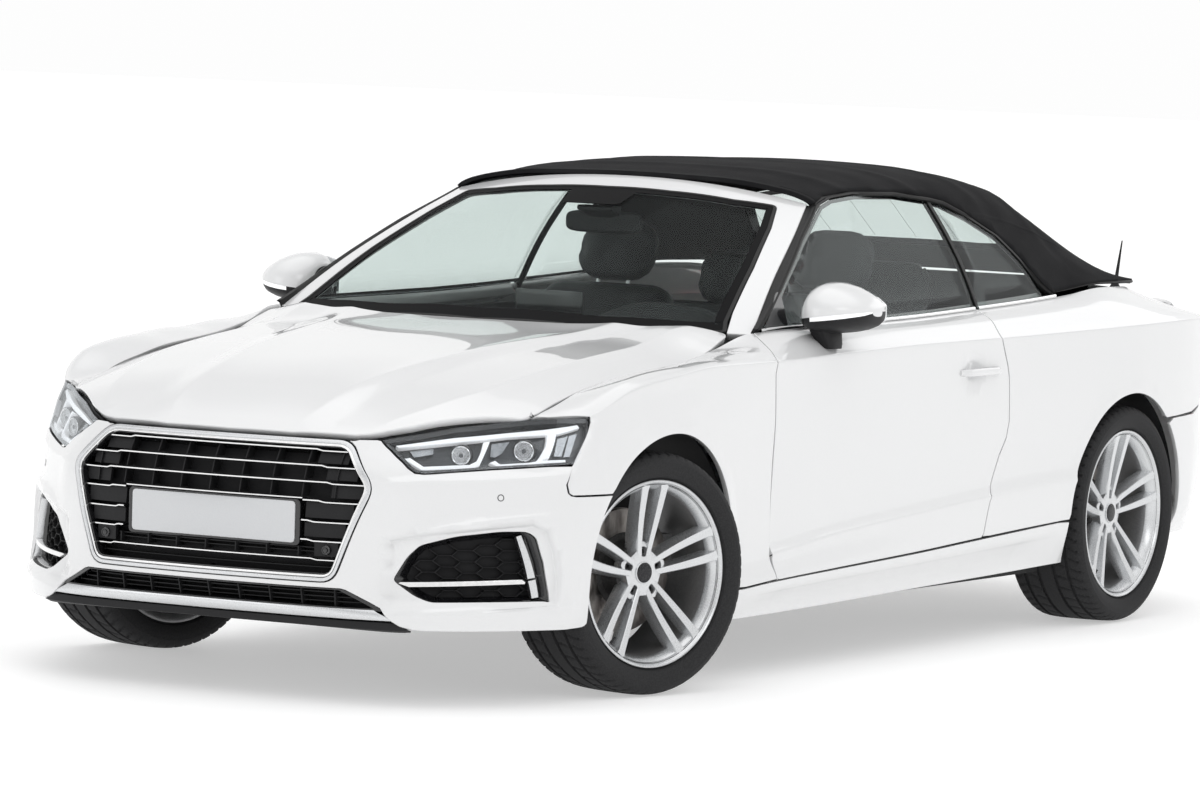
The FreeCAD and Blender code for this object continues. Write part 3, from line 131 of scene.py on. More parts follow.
TAIL = [
    [(0, 2270), (250, 2262), (450, 2225), (600, 2150), (700, 2070), (770, 1980), (815, 1900), (835, 1840), (845, 1780), (858, 1710), (866, 1640), (872, 1570), (876, 1500)],
    [(0, 2315), (250, 2306), (450, 2270), (600, 2200), (710, 2115), (790, 2010), (840, 1920), (872, 1840), (890, 1770), (896, 1705), (900, 1640), (903, 1570), (905, 1500)],
    [(0, 2336.5), (250, 2328), (450, 2294), (600, 2225), (715, 2140), (800, 2030), (856, 1930), (884, 1850), (901, 1770), (907, 1705), (911, 1640), (914, 1570), (915, 1500)],
    [(0, 2305), (250, 2298), (450, 2268), (600, 2200), (712, 2110), (795, 2000), (854, 1905), (886, 1830), (904, 1750), (910, 1695), (914, 1635), (917, 1565), (918, 1500)],
    [(0, 2262), (250, 2256), (450, 2232), (595, 2175), (700, 2095), (785, 1990), (846, 1895), (882, 1820), (904, 1750), (911, 1695), (915, 1635), (918, 1565), (919, 1500)],
    [(0, 2235), (250, 2229), (440, 2205), (580, 2150), (680, 2070), (765, 1965), (826, 1875), (864, 1800), (892, 1740), (902, 1690), (907, 1635), (911, 1565), (913, 1500)],
    [(0, 2215), (250, 2209), (430, 2180), (560, 2120), (650, 2040), (730, 1930), (785, 1840), (830, 1765), (860, 1700), (868, 1665), (874, 1630), (880, 1565), (884, 1500)],
]
TOP_X = [0, 200, 400, 550, 660, 730, 800]
BONNET_Y = [-2260, -2180, -2080, -1950, -1800, -1600, -1400, -1200, -1000, -820]
BONNET_Z = [
    [690, 686, 670, 645, 620, 600, 582], [748, 744, 728, 705, 680, 658, 636],
    [795, 792, 778, 757, 732, 710, 688], [836, 833, 821, 802, 778, 756, 734],
    [868, 865, 854, 838, 816, 796, 776], [900, 897, 888, 874, 855, 838, 824],
    [923, 920, 912, 899, 882, 866, 853], [941, 938, 931, 919, 902, 884, 869],
    [955, 952, 945, 934, 917, 897, 880], [966, 963, 957, 947, 930, 908, 888]]
DECK_Y = [1580, 1700, 1800, 1900, 2000, 2100, 2180, 2260]
DECK_Z = [
    [1022, 1021, 1018, 1012, 1006, 1000, 985], [1014, 1013, 1009, 1002, 995, 984, 962],
    [1006, 1005, 1000, 991, 980, 964, 938], [998, 997, 990, 978, 962, 938, 908],
    [991, 989, 981, 966, 945, 915, 880], [985, 983, 972, 953, 925, 890, 850],
    [981, 978, 964, 940, 905, 865, 820], [977, 973, 955, 925, 885, 840, 790]]
WS_V = [0.0, 0.4, 0.75, 1.0]
WS_C = [(-1015, 948), (-690, 1130), (-420, 1262), (-215, 1347)]
WS_O = [(785, -812, 944), (715, -580, 1085), (645, -340, 1205), (585, -165, 1287)]
GH_Y = [-215, 0, 300, 600, 900, 1100, 1250, 1400, 1550, 1645]
GH = [
    [(0, 1347), (0, 1368), (0, 1382.5), (0, 1381), (0, 1368), (0, 1338), (0, 1278), (0, 1184), (0, 1088), (0, 1036)],
    [(300, 1339), (300, 1362), (300, 1376), (300, 1374), (300, 1360), (300, 1330), (300, 1269), (300, 1176), (300, 1082), (300, 1034)],
    [(480, 1316), (480, 1340), (480, 1356), (480, 1352), (480, 1336), (485, 1302), (490, 1240), (500, 1154), (505, 1072), (510, 1032)],
    [(572, 1291), (582, 1308), (590, 1319), (590, 1313), (588, 1285), (595, 1238), (605, 1184), (625, 1116), (640, 1058), (650, 1028)],
    [(672, 1180), (672, 1195), (668, 1205), (670, 1200), (674, 1180), (680, 1147), (690, 1109), (702, 1070), (708, 1040), (712, 1025)],
    [(742, 1065), (742, 1075), (740, 1080), (740, 1085), (740, 1086), (742, 1078), (742, 1066), (742, 1048), (740, 1032), (738, 1023)],
    [(795, 952), (797, 962), (798, 970), (798, 978), (797, 993), (795, 1008), (788, 1021), (776, 1026), (764, 1026), (754, 1020)],
]


def side_rows(y):
    """Feature rows at stations y, with the two creases sharpened."""
    y = np.atleast_1d(np.asarray(y, float))
    X = [pchip_rows(SIDE_Y, r, y) for r in SIDE_X]
    Z = [pchip_rows(SIDE_Y, r, y) for r in SIDE_Z]
    # lower door crease fades out towards the arches
    k = np.clip((y + 1150) / 250.0, 0, 1) * np.clip((1150 - y) / 300.0, 0, 1)
    up = 8.0 * k
    kx = [X[0], X[1], X[2] + up - 2.5, X[2] + up, X[2] + up - 5.0 * k, X[2] + up - 12 * k, X[3], X[4], X[5] - 1.0, X[5], X[5] - 6.0, X[5] - 14.5, X[6], X[7]]
    kz = [Z[0], Z[1], Z[2] - 16, Z[2], Z[2] + 8, Z[2] + 34, Z[3], Z[4], Z[5] - 13, Z[5], Z[5] + 5, Z[5] + 14, np.maximum(Z[6], Z[5] + 20), Z[7]]
    kn = [0, 1, 1.85, 2, 2.07, 2.3, 3, 4, 4.9, 5, 5.07, 5.22, 6, 7]
    return kn, np.array(kx), np.array(kz)


def F_side(y, z):
    """Body side at (y, z)."""
    y = np.atleast_1d(np.asarray(y, float))
    z = np.atleast_1d(np.asarray(z, float))
    kn, kx, kz = side_rows(y)
    lo, hi = np.full(len(y), -0.3), np.full(len(y), 7.3)
    for _ in range(34):
        mid = 0.5 * (lo + hi)
        below = pchip_rows(kn, kz, mid) < z
        lo = np.where(below, mid, lo)
        hi = np.where(below, hi, mid)
    r = 0.5 * (lo + hi)
    return np.stack([pchip_rows(kn, kx, r), y, z], 1)


def F_side_r(y, r):
    """Body side by station and row number; needed where its top is level."""
    y = np.atleast_1d(np.asarray(y, float))
    r = np.atleast_1d(np.asarray(r, float))
    kn, kx, kz = side_rows(y)
    return np.stack([pchip_rows(kn, kx, r), y, pchip_rows(kn, kz, r)], 1)


def ring(levels, table, t, z):
    t = np.atleast_1d(np.asarray(t, float))
    z = np.atleast_1d(np.asarray(z, float))
    s = np.where(t < 0, -1.0, 1.0)
    t = np.abs(t)
    xs, ys = [], []
    for row in table:
        kx = [-row[2][0], -row[1][0]] + [p[0] for p in row]
        ky = [row[2][1], row[1][1]] + [p[1] for p in row]
        kt = list(range(-2, len(row)))
        xs.append(pchip_rows(kt, kx, t))
        ys.append(pchip_rows(kt, ky, t))
    return np.stack([s * pchip_rows(levels, np.array(xs), z), pchip_rows(levels, np.array(ys), z), z], 1)


def F_nose(t, z):
    return ring(NOSE_Z, NOSE, t, z)


def F_tail(t, z):
    return ring(TAIL_Z, TAIL, t, z)


def height(ys, table, x, y):
    x = np.atleast_1d(np.asarray(x, float))
    y = np.atleast_1d(np.asarray(y, float))
    cols = [pchip_rows(ys, [row[j] for row in table], y) for j in range(len(TOP_X))]
    kx = [-TOP_X[2], -TOP_X[1]] + TOP_X
    return pchip_rows(kx, np.array([cols[2], cols[1]] + cols), np.abs(x))


def F_deck(x, y):
    return np.stack([x, y, height(DECK_Y, DECK_Z, x, y)], 1)


def F_ws(u, v):
    u = np.atleast_1d(np.asarray(u, float))
    v = np.atleast_1d(np.asarray(v, float))
    yc = pchip_rows(WS_V, [p[0] for p in WS_C], v)
    zc = pchip_rows(WS_V, [p[1] for p in WS_C], v)
    xo = pchip_rows(WS_V, [p[0] for p in WS_O], v)
    yo = pchip_rows(WS_V, [p[1] for p in WS_O], v)
    zo = pchip_rows(WS_V, [p[2] for p in WS_O], v)
    k = np.abs(u) ** 2.2
    return np.stack([u * xo, yc + (yo - yc) * k, zc + (zo - zc) * k], 1)


def F_gh(y, r):
    """Soft top: station y and row r, 0 at the middle, 6 at the waist."""
    y = np.atleast_1d(np.asarray(y, float))
    r = np.atleast_1d(np.asarray(r, float))
    s = np.where(r < 0, -1.0, 1.0)
    X = [pchip_rows(GH_Y, [p[0] for p in q], y) for q in GH]
    Z = [pchip_rows(GH_Y, [p[1] for p in q], y) for q in GH]
    kr = [-1] + list(range(7))
    fx = pchip_rows(kr, np.array([-X[1]] + X), np.abs(r))
    fz = pchip_rows(kr, np.array([Z[1]] + Z), np.abs(r))
    return np.stack([s * fx, y, fz], 1)


def F_glass(y, z):
    z = np.atleast_1d(np.asarray(z, float))
    x = 797 - 0.60 * (z - 960) + 18 * np.sin(np.pi * (z - 960) / 343.0)
    return np.stack([x, np.atleast_1d(np.asarray(y, float)), z], 1)


# ---------------------------------------------------------------- materials
def new_mat(name):
    m = bpy.data.materials.new(name)
    m.use_nodes = True
    nt = m.node_tree
    b = nt.nodes["Principled BSDF"]
    return m, nt, b


def add_noise(nt, b, scale, amount, dist=0.0002, rough=None, detail=4.0, coords="Object", stretch=None):
    """Small bump, and a roughness that wanders between two values."""
    tc = nt.nodes.new("ShaderNodeTexCoord")
    src = tc.outputs[coords]
    if stretch:
        mp = nt.nodes.new("ShaderNodeMapping")
        mp.inputs["Scale"].default_value = stretch
        nt.links.new(src, mp.inputs["Vector"])
        src = mp.outputs["Vector"]
    no = nt.nodes.new("ShaderNodeTexNoise")
    no.inputs["Scale"].default_value = scale
    no.inputs["Detail"].default_value = detail
    nt.links.new(src, no.inputs["Vector"])
    if amount:
        bu = nt.nodes.new("ShaderNodeBump")
        bu.inputs["Strength"].default_value = amount
        bu.inputs["Distance"].default_value = dist
        nt.links.new(no.outputs["Fac"], bu.inputs["Height"])
        nt.links.new(bu.outputs["Normal"], b.inputs["Normal"])
    if rough:
        mr = nt.nodes.new("ShaderNodeMapRange")
        mr.inputs["From Min"].default_value = 0.3
        mr.inputs["From Max"].default_value = 0.7
        mr.inputs["To Min"].default_value = rough[0]
        mr.inputs["To Max"].default_value = rough[1]
        nt.links.new(no.outputs["Fac"], mr.inputs["Value"])
        nt.links.new(mr.outputs["Result"], b.inputs["Roughness"])
    return no, src


def tint(nt, b, no, c0, c1, lo=0.35, hi=0.65):
    rp = nt.nodes.new("ShaderNodeValToRGB")
    rp.color_ramp.elements[0].position = lo
    rp.color_ramp.elements[1].position = hi
    rp.color_ramp.elements[0].color = (*c0, 1)
    rp.color_ramp.elements[1].color = (*c1, 1)
    nt.links.new(no.outputs["Fac"], rp.inputs["Fac"])
    nt.links.new(rp.outputs["Color"], b.inputs["Base Color"])


def simple(name, c0, c1, rough, metal=0.0, scale=60.0, bump=0.05, dist=0.0002, coat=0.0, coat_rough=0.03, spec=0.5, stretch=None, detail=4.0):
    m, nt, b = new_mat(name)
    b.inputs["Metallic"].default_value = metal
    b.inputs["Coat Weight"].default_value = coat
    b.inputs["Coat Roughness"].default_value = coat_rough
    b.inputs["Specular IOR Level"].default_value = spec
    no, _ = add_noise(nt, b, scale, bump, dist, rough, stretch=stretch, detail=detail)
    tint(nt, b, no, c0, c1)
    return m


M = {}
M["paint"] = simple("white_paint", (0.715, 0.72, 0.725), (0.735, 0.738, 0.742), (0.22, 0.27), scale=420, bump=0.012, dist=0.0001, coat=1.0, coat_rough=0.02)
M["black_gloss"] = simple("black_gloss", (0.006, 0.006, 0.007), (0.010, 0.010, 0.011), (0.10, 0.16), scale=200, bump=0.01, coat=0.6)
M["black"] = simple("black_plastic", (0.012, 0.012, 0.013), (0.020, 0.020, 0.021), (0.42, 0.55), scale=900, bump=0.12, dist=0.0002)
M["dark_in"] = simple("dark_interior", (0.010, 0.010, 0.011), (0.016, 0.016, 0.017), (0.55, 0.7), scale=500, bump=0.15, dist=0.0003)
M["chrome"] = simple("bright_trim", (0.80, 0.80, 0.80), (0.86, 0.86, 0.86), (0.08, 0.14), metal=1.0, scale=80, bump=0.0)
M["satin"] = simple("satin_silver", (0.62, 0.63, 0.64), (0.70, 0.71, 0.72), (0.26, 0.34), metal=1.0, scale=300, bump=0.02)
M["rim"] = simple("rim_silver", (0.60, 0.61, 0.62), (0.67, 0.68, 0.69), (0.24, 0.32), metal=0.85, scale=700, bump=0.03, dist=0.00015, coat=0.5, coat_rough=0.08)
M["steel"] = simple("disc_steel", (0.22, 0.20, 0.19), (0.34, 0.32, 0.30), (0.28, 0.42), metal=1.0, scale=26, bump=0.10, dist=0.0003, stretch=(9, 1, 1))
M["cast"] = simple("cast_metal", (0.16, 0.16, 0.16), (0.28, 0.28, 0.28), (0.42, 0.6), metal=0.9, scale=300, bump=0.3, dist=0.0004)
M["tyre"] = simple("tyre_rubber", (0.016, 0.016, 0.017), (0.030, 0.030, 0.031), (0.62, 0.80), scale=260, bump=0.20, dist=0.0003)
M["seal"] = simple("seal_rubber", (0.008, 0.008, 0.008), (0.014, 0.014, 0.014), (0.38, 0.5), scale=400, bump=0.05)
M["plate"] = simple("blank_plate", (0.56, 0.57, 0.585), (0.60, 0.61, 0.62), (0.30, 0.4), scale=500, bump=0.02)
M["under"] = simple("underbody_coating", (0.012, 0.012, 0.013), (0.028, 0.028, 0.028), (0.6, 0.8), scale=120, bump=0.35, dist=0.0008)
M["exhaust"] = simple("exhaust_steel", (0.38, 0.37, 0.36), (0.55, 0.54, 0.52), (0.25, 0.4), metal=1.0, scale=40, bump=0.05, stretch=(1, 8, 1))


def cloth_mat():
    """Woven roof cloth: fine twill in two directions with faint fading."""
    m, nt, b = new_mat("roof_cloth")
    tc = nt.nodes.new("ShaderNodeTexCoord")
    w1 = nt.nodes.new("ShaderNodeTexWave")
    w1.inputs["Scale"].default_value = 260
    w1.inputs["Distortion"].default_value = 0.6
    w1.bands_direction = "X"
    w2 = nt.nodes.new("ShaderNodeTexWave")
    w2.inputs["Scale"].default_value = 260
    w2.inputs["Distortion"].default_value = 0.6
    w2.bands_direction = "Y"
    nt.links.new(tc.outputs["Object"], w1.inputs["Vector"])
    nt.links.new(tc.outputs["Object"], w2.inputs["Vector"])
    mx = nt.nodes.new("ShaderNodeMath")
    mx.operation = "MULTIPLY"
    nt.links.new(w1.outputs["Fac"], mx.inputs[0])
    nt.links.new(w2.outputs["Fac"], mx.inputs[1])
    no = nt.nodes.new("ShaderNodeTexNoise")
    no.inputs["Scale"].default_value = 7
    no.inputs["Detail"].default_value = 8
    nt.links.new(tc.outputs["Object"], no.inputs["Vector"])
    ad = nt.nodes.new("ShaderNodeMath")
    ad.operation = "MULTIPLY_ADD"
    ad.inputs[1].default_value = 0.35
    nt.links.new(mx.outputs[0], ad.inputs[0])
    nt.links.new(no.outputs["Fac"], ad.inputs[2])
    bu = nt.nodes.new("ShaderNodeBump")
    bu.inputs["Strength"].default_value = 0.35
    bu.inputs["Distance"].default_value = 0.0006
    nt.links.new(ad.outputs[0], bu.inputs["Height"])
    nt.links.new(bu.outputs["Normal"], b.inputs["Normal"])
    tint(nt, b, no, (0.010, 0.010, 0.011), (0.019, 0.019, 0.020), 0.3, 0.7)
    b.inputs["Roughness"].default_value = 0.88
    b.inputs["Sheen Weight"].default_value = 0.012
    b.inputs["Sheen Roughness"].default_value = 0.5
    return m


M["cloth"] = cloth_mat()


def leather_mat(name, c0, c1):
    m, nt, b = new_mat(name)
    tc = nt.nodes.new("ShaderNodeTexCoord")
    vo = nt.nodes.new("ShaderNodeTexVoronoi")
    vo.inputs["Scale"].default_value = 420
    nt.links.new(tc.outputs["Object"], vo.inputs["Vector"])
    no = nt.nodes.new("ShaderNodeTexNoise")
    no.inputs["Scale"].default_value = 12
    no.inputs["Detail"].default_value = 6
    nt.links.new(tc.outputs["Object"], no.inputs["Vector"])
    bu = nt.nodes.new("ShaderNodeBump")
    bu.inputs["Strength"].default_value = 0.25
    bu.inputs["Distance"].default_value = 0.0006
    nt.links.new(vo.outputs["Distance"], bu.inputs["Height"])
    nt.links.new(bu.outputs["Normal"], b.inputs["Normal"])
    tint(nt, b, no, c0, c1)
    mr = nt.nodes.new("ShaderNodeMapRange")
    mr.inputs["To Min"].default_value = 0.38
    mr.inputs["To Max"].default_value = 0.52
    nt.links.new(no.outputs["Fac"], mr.inputs["Value"])
    nt.links.new(mr.outputs["Result"], b.inputs["Roughness"])
    return m


M["leather"] = leather_mat("dark_leather", (0.020, 0.021, 0.023), (0.032, 0.033, 0.036))


def glass_mat(name, col, rough=0.0, tintmix=0.5, rim=0.5, base=0.022):
    """Tinted pane: mostly a coloured see-through with a mirror-like coat."""
    m = bpy.data.materials.new(name)
    m.use_nodes = True
    nt = m.node_tree
    nt.nodes.clear()
    out = nt.nodes.new("ShaderNodeOutputMaterial")
    tr = nt.nodes.new("ShaderNodeBsdfTransparent")
    tr.inputs["Color"].default_value = (*col, 1)
    gl = nt.nodes.new("ShaderNodeBsdfGlossy")
    gl.inputs["Roughness"].default_value = rough
    gl.inputs["Color"].default_value = (0.9, 0.92, 0.93, 1)
    fr = nt.nodes.new("ShaderNodeLayerWeight")
    fr.inputs["Blend"].default_value = 0.5
    pw = nt.nodes.new("ShaderNodeMath")
    pw.operation = "POWER"
    pw.inputs[1].default_value = 5.0
    ma = nt.nodes.new("ShaderNodeMath")
    ma.operation = "MULTIPLY_ADD"
    ma.inputs[1].default_value = rim
    ma.inputs[2].default_value = base
    nt.links.new(fr.outputs["Facing"], pw.inputs[0])
    nt.links.new(pw.outputs["Value"], ma.inputs[0])
    mix = nt.nodes.new("ShaderNodeMixShader")
    nt.links.new(ma.outputs["Value"], mix.inputs["Fac"])
    nt.links.new(tr.outputs["BSDF"], mix.inputs[1])
    nt.links.new(gl.outputs["BSDF"], mix.inputs[2])
    nt.links.new(mix.outputs["Shader"], out.inputs["Surface"])
    return m


M["glass"] = glass_mat("tinted_glass", (0.882, 0.912, 0.903), rim=0.42, base=0.016)
M["glass_ws"] = glass_mat("windscreen_tint", (0.882, 0.912, 0.903), rim=0.12, base=0.006)
M["glass_rear"] = glass_mat("privacy_glass", (0.83, 0.86, 0.85), rim=0.3, base=0.012)
M["lens"] = glass_mat("clear_lens", (0.93, 0.94, 0.95))
M["lens_red"] = glass_mat("red_lens", (0.72, 0.10, 0.10))


def emit(name, col, strength, base=(0.8, 0.8, 0.8)):
    m, nt, b = new_mat(name)
    b.inputs["Base Color"].default_value = (*base, 1)
    b.inputs["Emission Color"].default_value = (*col, 1)
    b.inputs["Emission Strength"].default_value = strength
    no, _ = add_noise(nt, b, 300, 0.03, 0.0002, (0.2, 0.3))
    return m


M["light_guide"] = emit("light_guide", (1, 1, 1), 0.35, (0.86, 0.87, 0.88))
M["red"] = simple("tail_red", (0.42, 0.012, 0.014), (0.52, 0.02, 0.02), (0.08, 0.14), scale=150, bump=0.02, coat=1.0)
M["red_dark"] = simple("tail_red_dark", (0.16, 0.006, 0.008), (0.22, 0.01, 0.012), (0.08, 0.14), scale=150, bump=0.02, coat=1.0)
M["lamp_grey"] = simple("lamp_housing", (0.055, 0.057, 0.060), (0.09, 0.092, 0.095), (0.25, 0.38), metal=0.6, scale=300, bump=0.03)
M["mirror"] = simple("mirror_glass", (0.75, 0.77, 0.78), (0.8, 0.81, 0.82), (0.01, 0.02), metal=1.0, scale=20, bump=0.0)


M["frit"] = simple("glass_border", (0.003, 0.003, 0.0035), (0.005, 0.005, 0.0055), (0.5, 0.6), scale=300, bump=0.01)
LESS_SHINE = {"frit": 0.06, "cloth": 0.06, "dark_in": 0.15, "leather": 0.25, "black": 0.2, "tyre": 0.2, "seal": 0.2}
for k_, v_ in LESS_SHINE.items():
    for n_ in M[k_].node_tree.nodes:
        if n_.type == "BSDF_PRINCIPLED":
            n_.inputs["Specular IOR Level"].default_value = v_


# ---------------------------------------------------------------- mesh helpers
def mesh_obj(name, verts, faces, mats, normals=None, fmat=None, smooth=True, body=None, rep=None, slot=None):
    """Object from millimetre coordinates."""
    me = bpy.data.meshes.new(name)
    me.from_pydata([tuple(float(c) * MM for c in v) for v in verts], [], [tuple(int(i) for i in f) for f in faces])
    if not isinstance(mats, (list, tuple)):
        mats = [mats]
    for m in mats:
        me.materials.append(m)
    if fmat is not None:
        me.polygons.foreach_set("material_index", [int(i) for i in fmat])
    me.polygons.foreach_set("use_smooth", [bool(smooth)] * len(me.polygons))
    me.update()
    if normals is not None:
        me.normals_split_custom_set_from_vertices([tuple(float(c) for c in n) for n in normals])
    ob = bpy.data.objects.new(name, me)
    bpy.context.scene.collection.objects.link(ob)
    if body:
        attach(ob, body)
    if rep:
        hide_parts(*([rep] if isinstance(rep, str) else rep))
    return ob


def inpoly(P, poly):
    """Even-odd test of points P (N, 2) in a closed polygon."""
    x, y = P[:, 0], P[:, 1]
    res = np.zeros(len(P), bool)
    n = len(poly)
    for i in range(n):
        x0, y0 = poly[i]
        x1, y1 = poly[(i + 1) % n]
        if y0 == y1:
            continue
        c = ((y0 > y) != (y1 > y)) & (x < (x1 - x0) * (y - y0) / (y1 - y0) + x0)
        res ^= c
    return res


def area2(poly):
    p = np.asarray(poly)
    q = np.roll(p, -1, 0)
    return 0.5 * float(np.sum(p[:, 0] * q[:, 1] - q[:, 0] * p[:, 1]))


def round_corners(poly, rad, tol=9.0):
    """Corners sharper than tol degrees are replaced by a short curve."""
    n = len(poly)
    out = []
    for i in range(n):
        a, b, c = (np.array(poly[i - 1], float), np.array(poly[i], float), np.array(poly[(i + 1) % n], float))
        u, w = a - b, c - b
        lu, lw = np.linalg.norm(u), np.linalg.norm(w)
        if lu < 1e-6 or lw < 1e-6:
            out.append(tuple(b))
            continue
        ang = math.degrees(math.acos(max(-1, min(1, float(np.dot(u, w) / lu / lw)))))
        if 180 - ang < tol:
            out.append(tuple(b))
            continue
        d = min(rad, lu * 0.45, lw * 0.45)
        p0, p1 = b + u / lu * d, b + w / lw * d
        for k in range(6):
            t = k / 5.0
            out.append(tuple((1 - t) ** 2 * p0 + 2 * t * (1 - t) * b + t * t * p1))
    return out


def resample(poly, step):
    out = []
    n = len(poly)
    for i in range(n):
        a, b = np.array(poly[i], float), np.array(poly[(i + 1) % n], float)
        L = np.linalg.norm(b - a)
        if L < 1e-6:
            continue
        k = max(1, int(math.ceil(L / step)))
        for j in range(k):
            out.append(a + (b - a) * j / k)
    return np.array(out)


def vertex_out(poly):
    """Outward unit normals of a closed polygon's corners."""
    s = 1.0 if area2(poly) > 0 else -1.0
    p = np.asarray(poly)
    e = np.roll(p, -1, 0) - p
    e /= np.maximum(np.linalg.norm(e, axis=1, keepdims=True), 1e-9)
    nn = np.stack([e[:, 1] * s, -e[:, 0] * s], 1)
    m = nn + np.roll(nn, 1, 0)
    L = np.linalg.norm(m, axis=1, keepdims=True)
    return m / np.maximum(L, 0.5), nn


def normals_of(F, A, B, flip=1.0, eps=0.6):
    da = F(A + eps, B) - F(A - eps, B)
    db = F(A, B + eps) - F(A, B - eps)
    n = np.cross(da, db) * flip
    return n / np.maximum(np.linalg.norm(n, axis=1, keepdims=True), 1e-9)


def panel(name, F, outline, holes=(), step=26.0, bstep=12.0, thick=16.0, rad=2.2, flip=1.0, mats=None, body="chassis", rep=None,
          slot=None, lift=0.0, extra=None, mirror=False, make=True, back=True, lines=()):
    """A panel cut from a surface F(a, b): outer skin with a true normal at each
    point, rounded edges, an edge wall and an inner skin."""
    loops = [np.asarray(resample(outline, bstep))] + [np.asarray(resample(h, bstep)) for h in holes]
    if area2(loops[0]) < 0:
        loops[0] = loops[0][::-1]
    for i in range(1, len(loops)):
        if area2(loops[i]) > 0:
            loops[i] = loops[i][::-1]
    outs = []
    ins = []
    for i, L in enumerate(loops):
        vo, _ = vertex_out(L)
        if i:
            vo = -vo
        outs.append(vo)
        ins.append(L - vo * rad)
    feat = []
    for L in lines:
        L = np.asarray(L, float)
        q = inpoly(L, ins[0])
        for h in ins[1:]:
            q &= ~inpoly(L, h)
        if q.any():
            allb0 = np.concatenate(ins)
            dd = np.linalg.norm(L[:, None, :] - allb0[None, :, :], axis=2).min(1)
            q &= dd > bstep * 0.5
        run = []
        for p, ok in zip(L, q):
            if ok:
                run.append(tuple(p))
            else:
                if len(run) > 1:
                    feat.append(run)
                run = []
        if len(run) > 1:
            feat.append(run)
    lo, hi = loops[0].min(0), loops[0].max(0)
    ga = np.arange(lo[0] + step * 0.5, hi[0], step)
    gb = np.arange(lo[1] + step * 0.5, hi[1], step)
    G = np.array([(a, b) for a in ga for b in gb]) if len(ga) and len(gb) else np.zeros((0, 2))
    if len(G):
        keep = inpoly(G, ins[0])
        for h in ins[1:]:
            keep &= ~inpoly(G, h)
        G = G[keep]
        if len(G):
            allb = np.concatenate(ins)
            d = np.full(len(G), 1e9)
            for k in range(0, len(allb), 400):
                dd = np.linalg.norm(G[:, None, :] - allb[None, k:k + 400, :], axis=2).min(1)
                d = np.minimum(d, dd)
            G = G[d > step * 0.45]
        if len(G) and feat:
            fp = np.array([p for run in feat for p in run])
            d = np.full(len(G), 1e9)
            for k in range(0, len(fp), 400):
                dd = np.linalg.norm(G[:, None, :] - fp[None, k:k + 400, :], axis=2).min(1)
                d = np.minimum(d, dd)
            G = G[d > step * 0.42]
    pts, edges = [], []
    for L in ins:
        n0 = len(pts)
        pts += [tuple(p) for p in L]
        edges += [(n0 + i, n0 + (i + 1) % len(L)) for i in range(len(L))]
    for run in feat:
        n0 = len(pts)
        pts += run
        edges += [(n0 + i, n0 + i + 1) for i in range(len(run) - 1)]
    pts += [tuple(p) for p in G]
    r = delaunay_2d_cdt([Vector(p) for p in pts], edges, [], 0, 1e-5)
    P2 = np.array([(v.x, v.y) for v in r[0]])
    T = np.array([f for f in r[2] if len(f) == 3])
    cen = P2[T].mean(1)
    keep = inpoly(cen, ins[0])
    for h in ins[1:]:
        keep &= ~inpoly(cen, h)
    T = T[keep]
    a3 = np.cross(np.pad(P2[T[:, 1]] - P2[T[:, 0]], ((0, 0), (0, 1))), np.pad(P2[T[:, 2]] - P2[T[:, 0]], ((0, 0), (0, 1))))[:, 2]
    T = T[np.abs(a3) > 1e-6]
    A, B = P2[:, 0], P2[:, 1]
    S3 = F(A, B)
    N3 = normals_of(F, A, B, flip)
    if extra is not None:
        S3 = extra(S3, N3)
    S3 = S3 + N3 * lift
    # face winding from the normals
    fn = np.cross(S3[T[:, 1]] - S3[T[:, 0]], S3[T[:, 2]] - S3[T[:, 0]])
    wrong = np.sum(fn * N3[T[:, 0]], 1) < 0
    T[wrong] = T[wrong][:, ::-1]
    V, NN, FC = [tuple(p) for p in S3], [tuple(p) for p in N3], [tuple(t) for t in T]
    orig = {}
    for i, o in enumerate(r[3]):
        for k in o:
            orig[k] = i
    # rim
    n_outer = len(FC)
    k0 = 0
    rim_last = []
    for L, vo in zip(ins, outs):
        idx = [orig.get(k0 + i, None) for i in range(len(L))]
        k0 += len(L)
        base = S3[idx]
        Nb = N3[idx]
        D = F(L[:, 0] + vo[:, 0] * 0.8, L[:, 1] + vo[:, 1] * 0.8) - F(L[:, 0] - vo[:, 0] * 0.8, L[:, 1] - vo[:, 1] * 0.8)
        D -= Nb * np.sum(D * Nb, 1, keepdims=True)
        D /= np.maximum(np.linalg.norm(D, axis=1, keepdims=True), 1e-9)
        prev = idx
        m = len(L)
        for th in (30, 60, 90):
            c, s_ = math.cos(math.radians(th)), math.sin(math.radians(th))
            row = base + D * rad * s_ - Nb * rad * (1 - c)
            nrm = Nb * c + D * s_
            st = len(V)
            V += [tuple(p) for p in row]
            NN += [tuple(p) for p in nrm]
            for i in range(m):
                j = (i + 1) % m
                FC.append((prev[i], prev[j], st + j, st + i))
            prev = list(range(st, st + m))
        row = base + D * rad - Nb * thick
        st = len(V)
        V += [tuple(p) for p in row]
        NN += [tuple(p) for p in (D * 0.8 - Nb * 0.6)]
        for i in range(m):
            j = (i + 1) % m
            FC.append((prev[i], prev[j], st + j, st + i))
        rim_last.append((idx, list(range(st, st + m))))
    if back:
        # inner skin: boundary points are those of the edge wall
        back_id = {}
        for idx, rows in rim_last:
            for i, q in zip(idx, rows):
                back_id[i] = q
        for i in range(len(S3)):
            if i not in back_id:
                back_id[i] = len(V)
                V.append(tuple(S3[i] - N3[i] * thick))
                NN.append(tuple(-N3[i]))
        for t in T:
            FC.append((back_id[t[0]], back_id[t[2]], back_id[t[1]]))
    V = np.array(V)
    NN = np.array(NN)
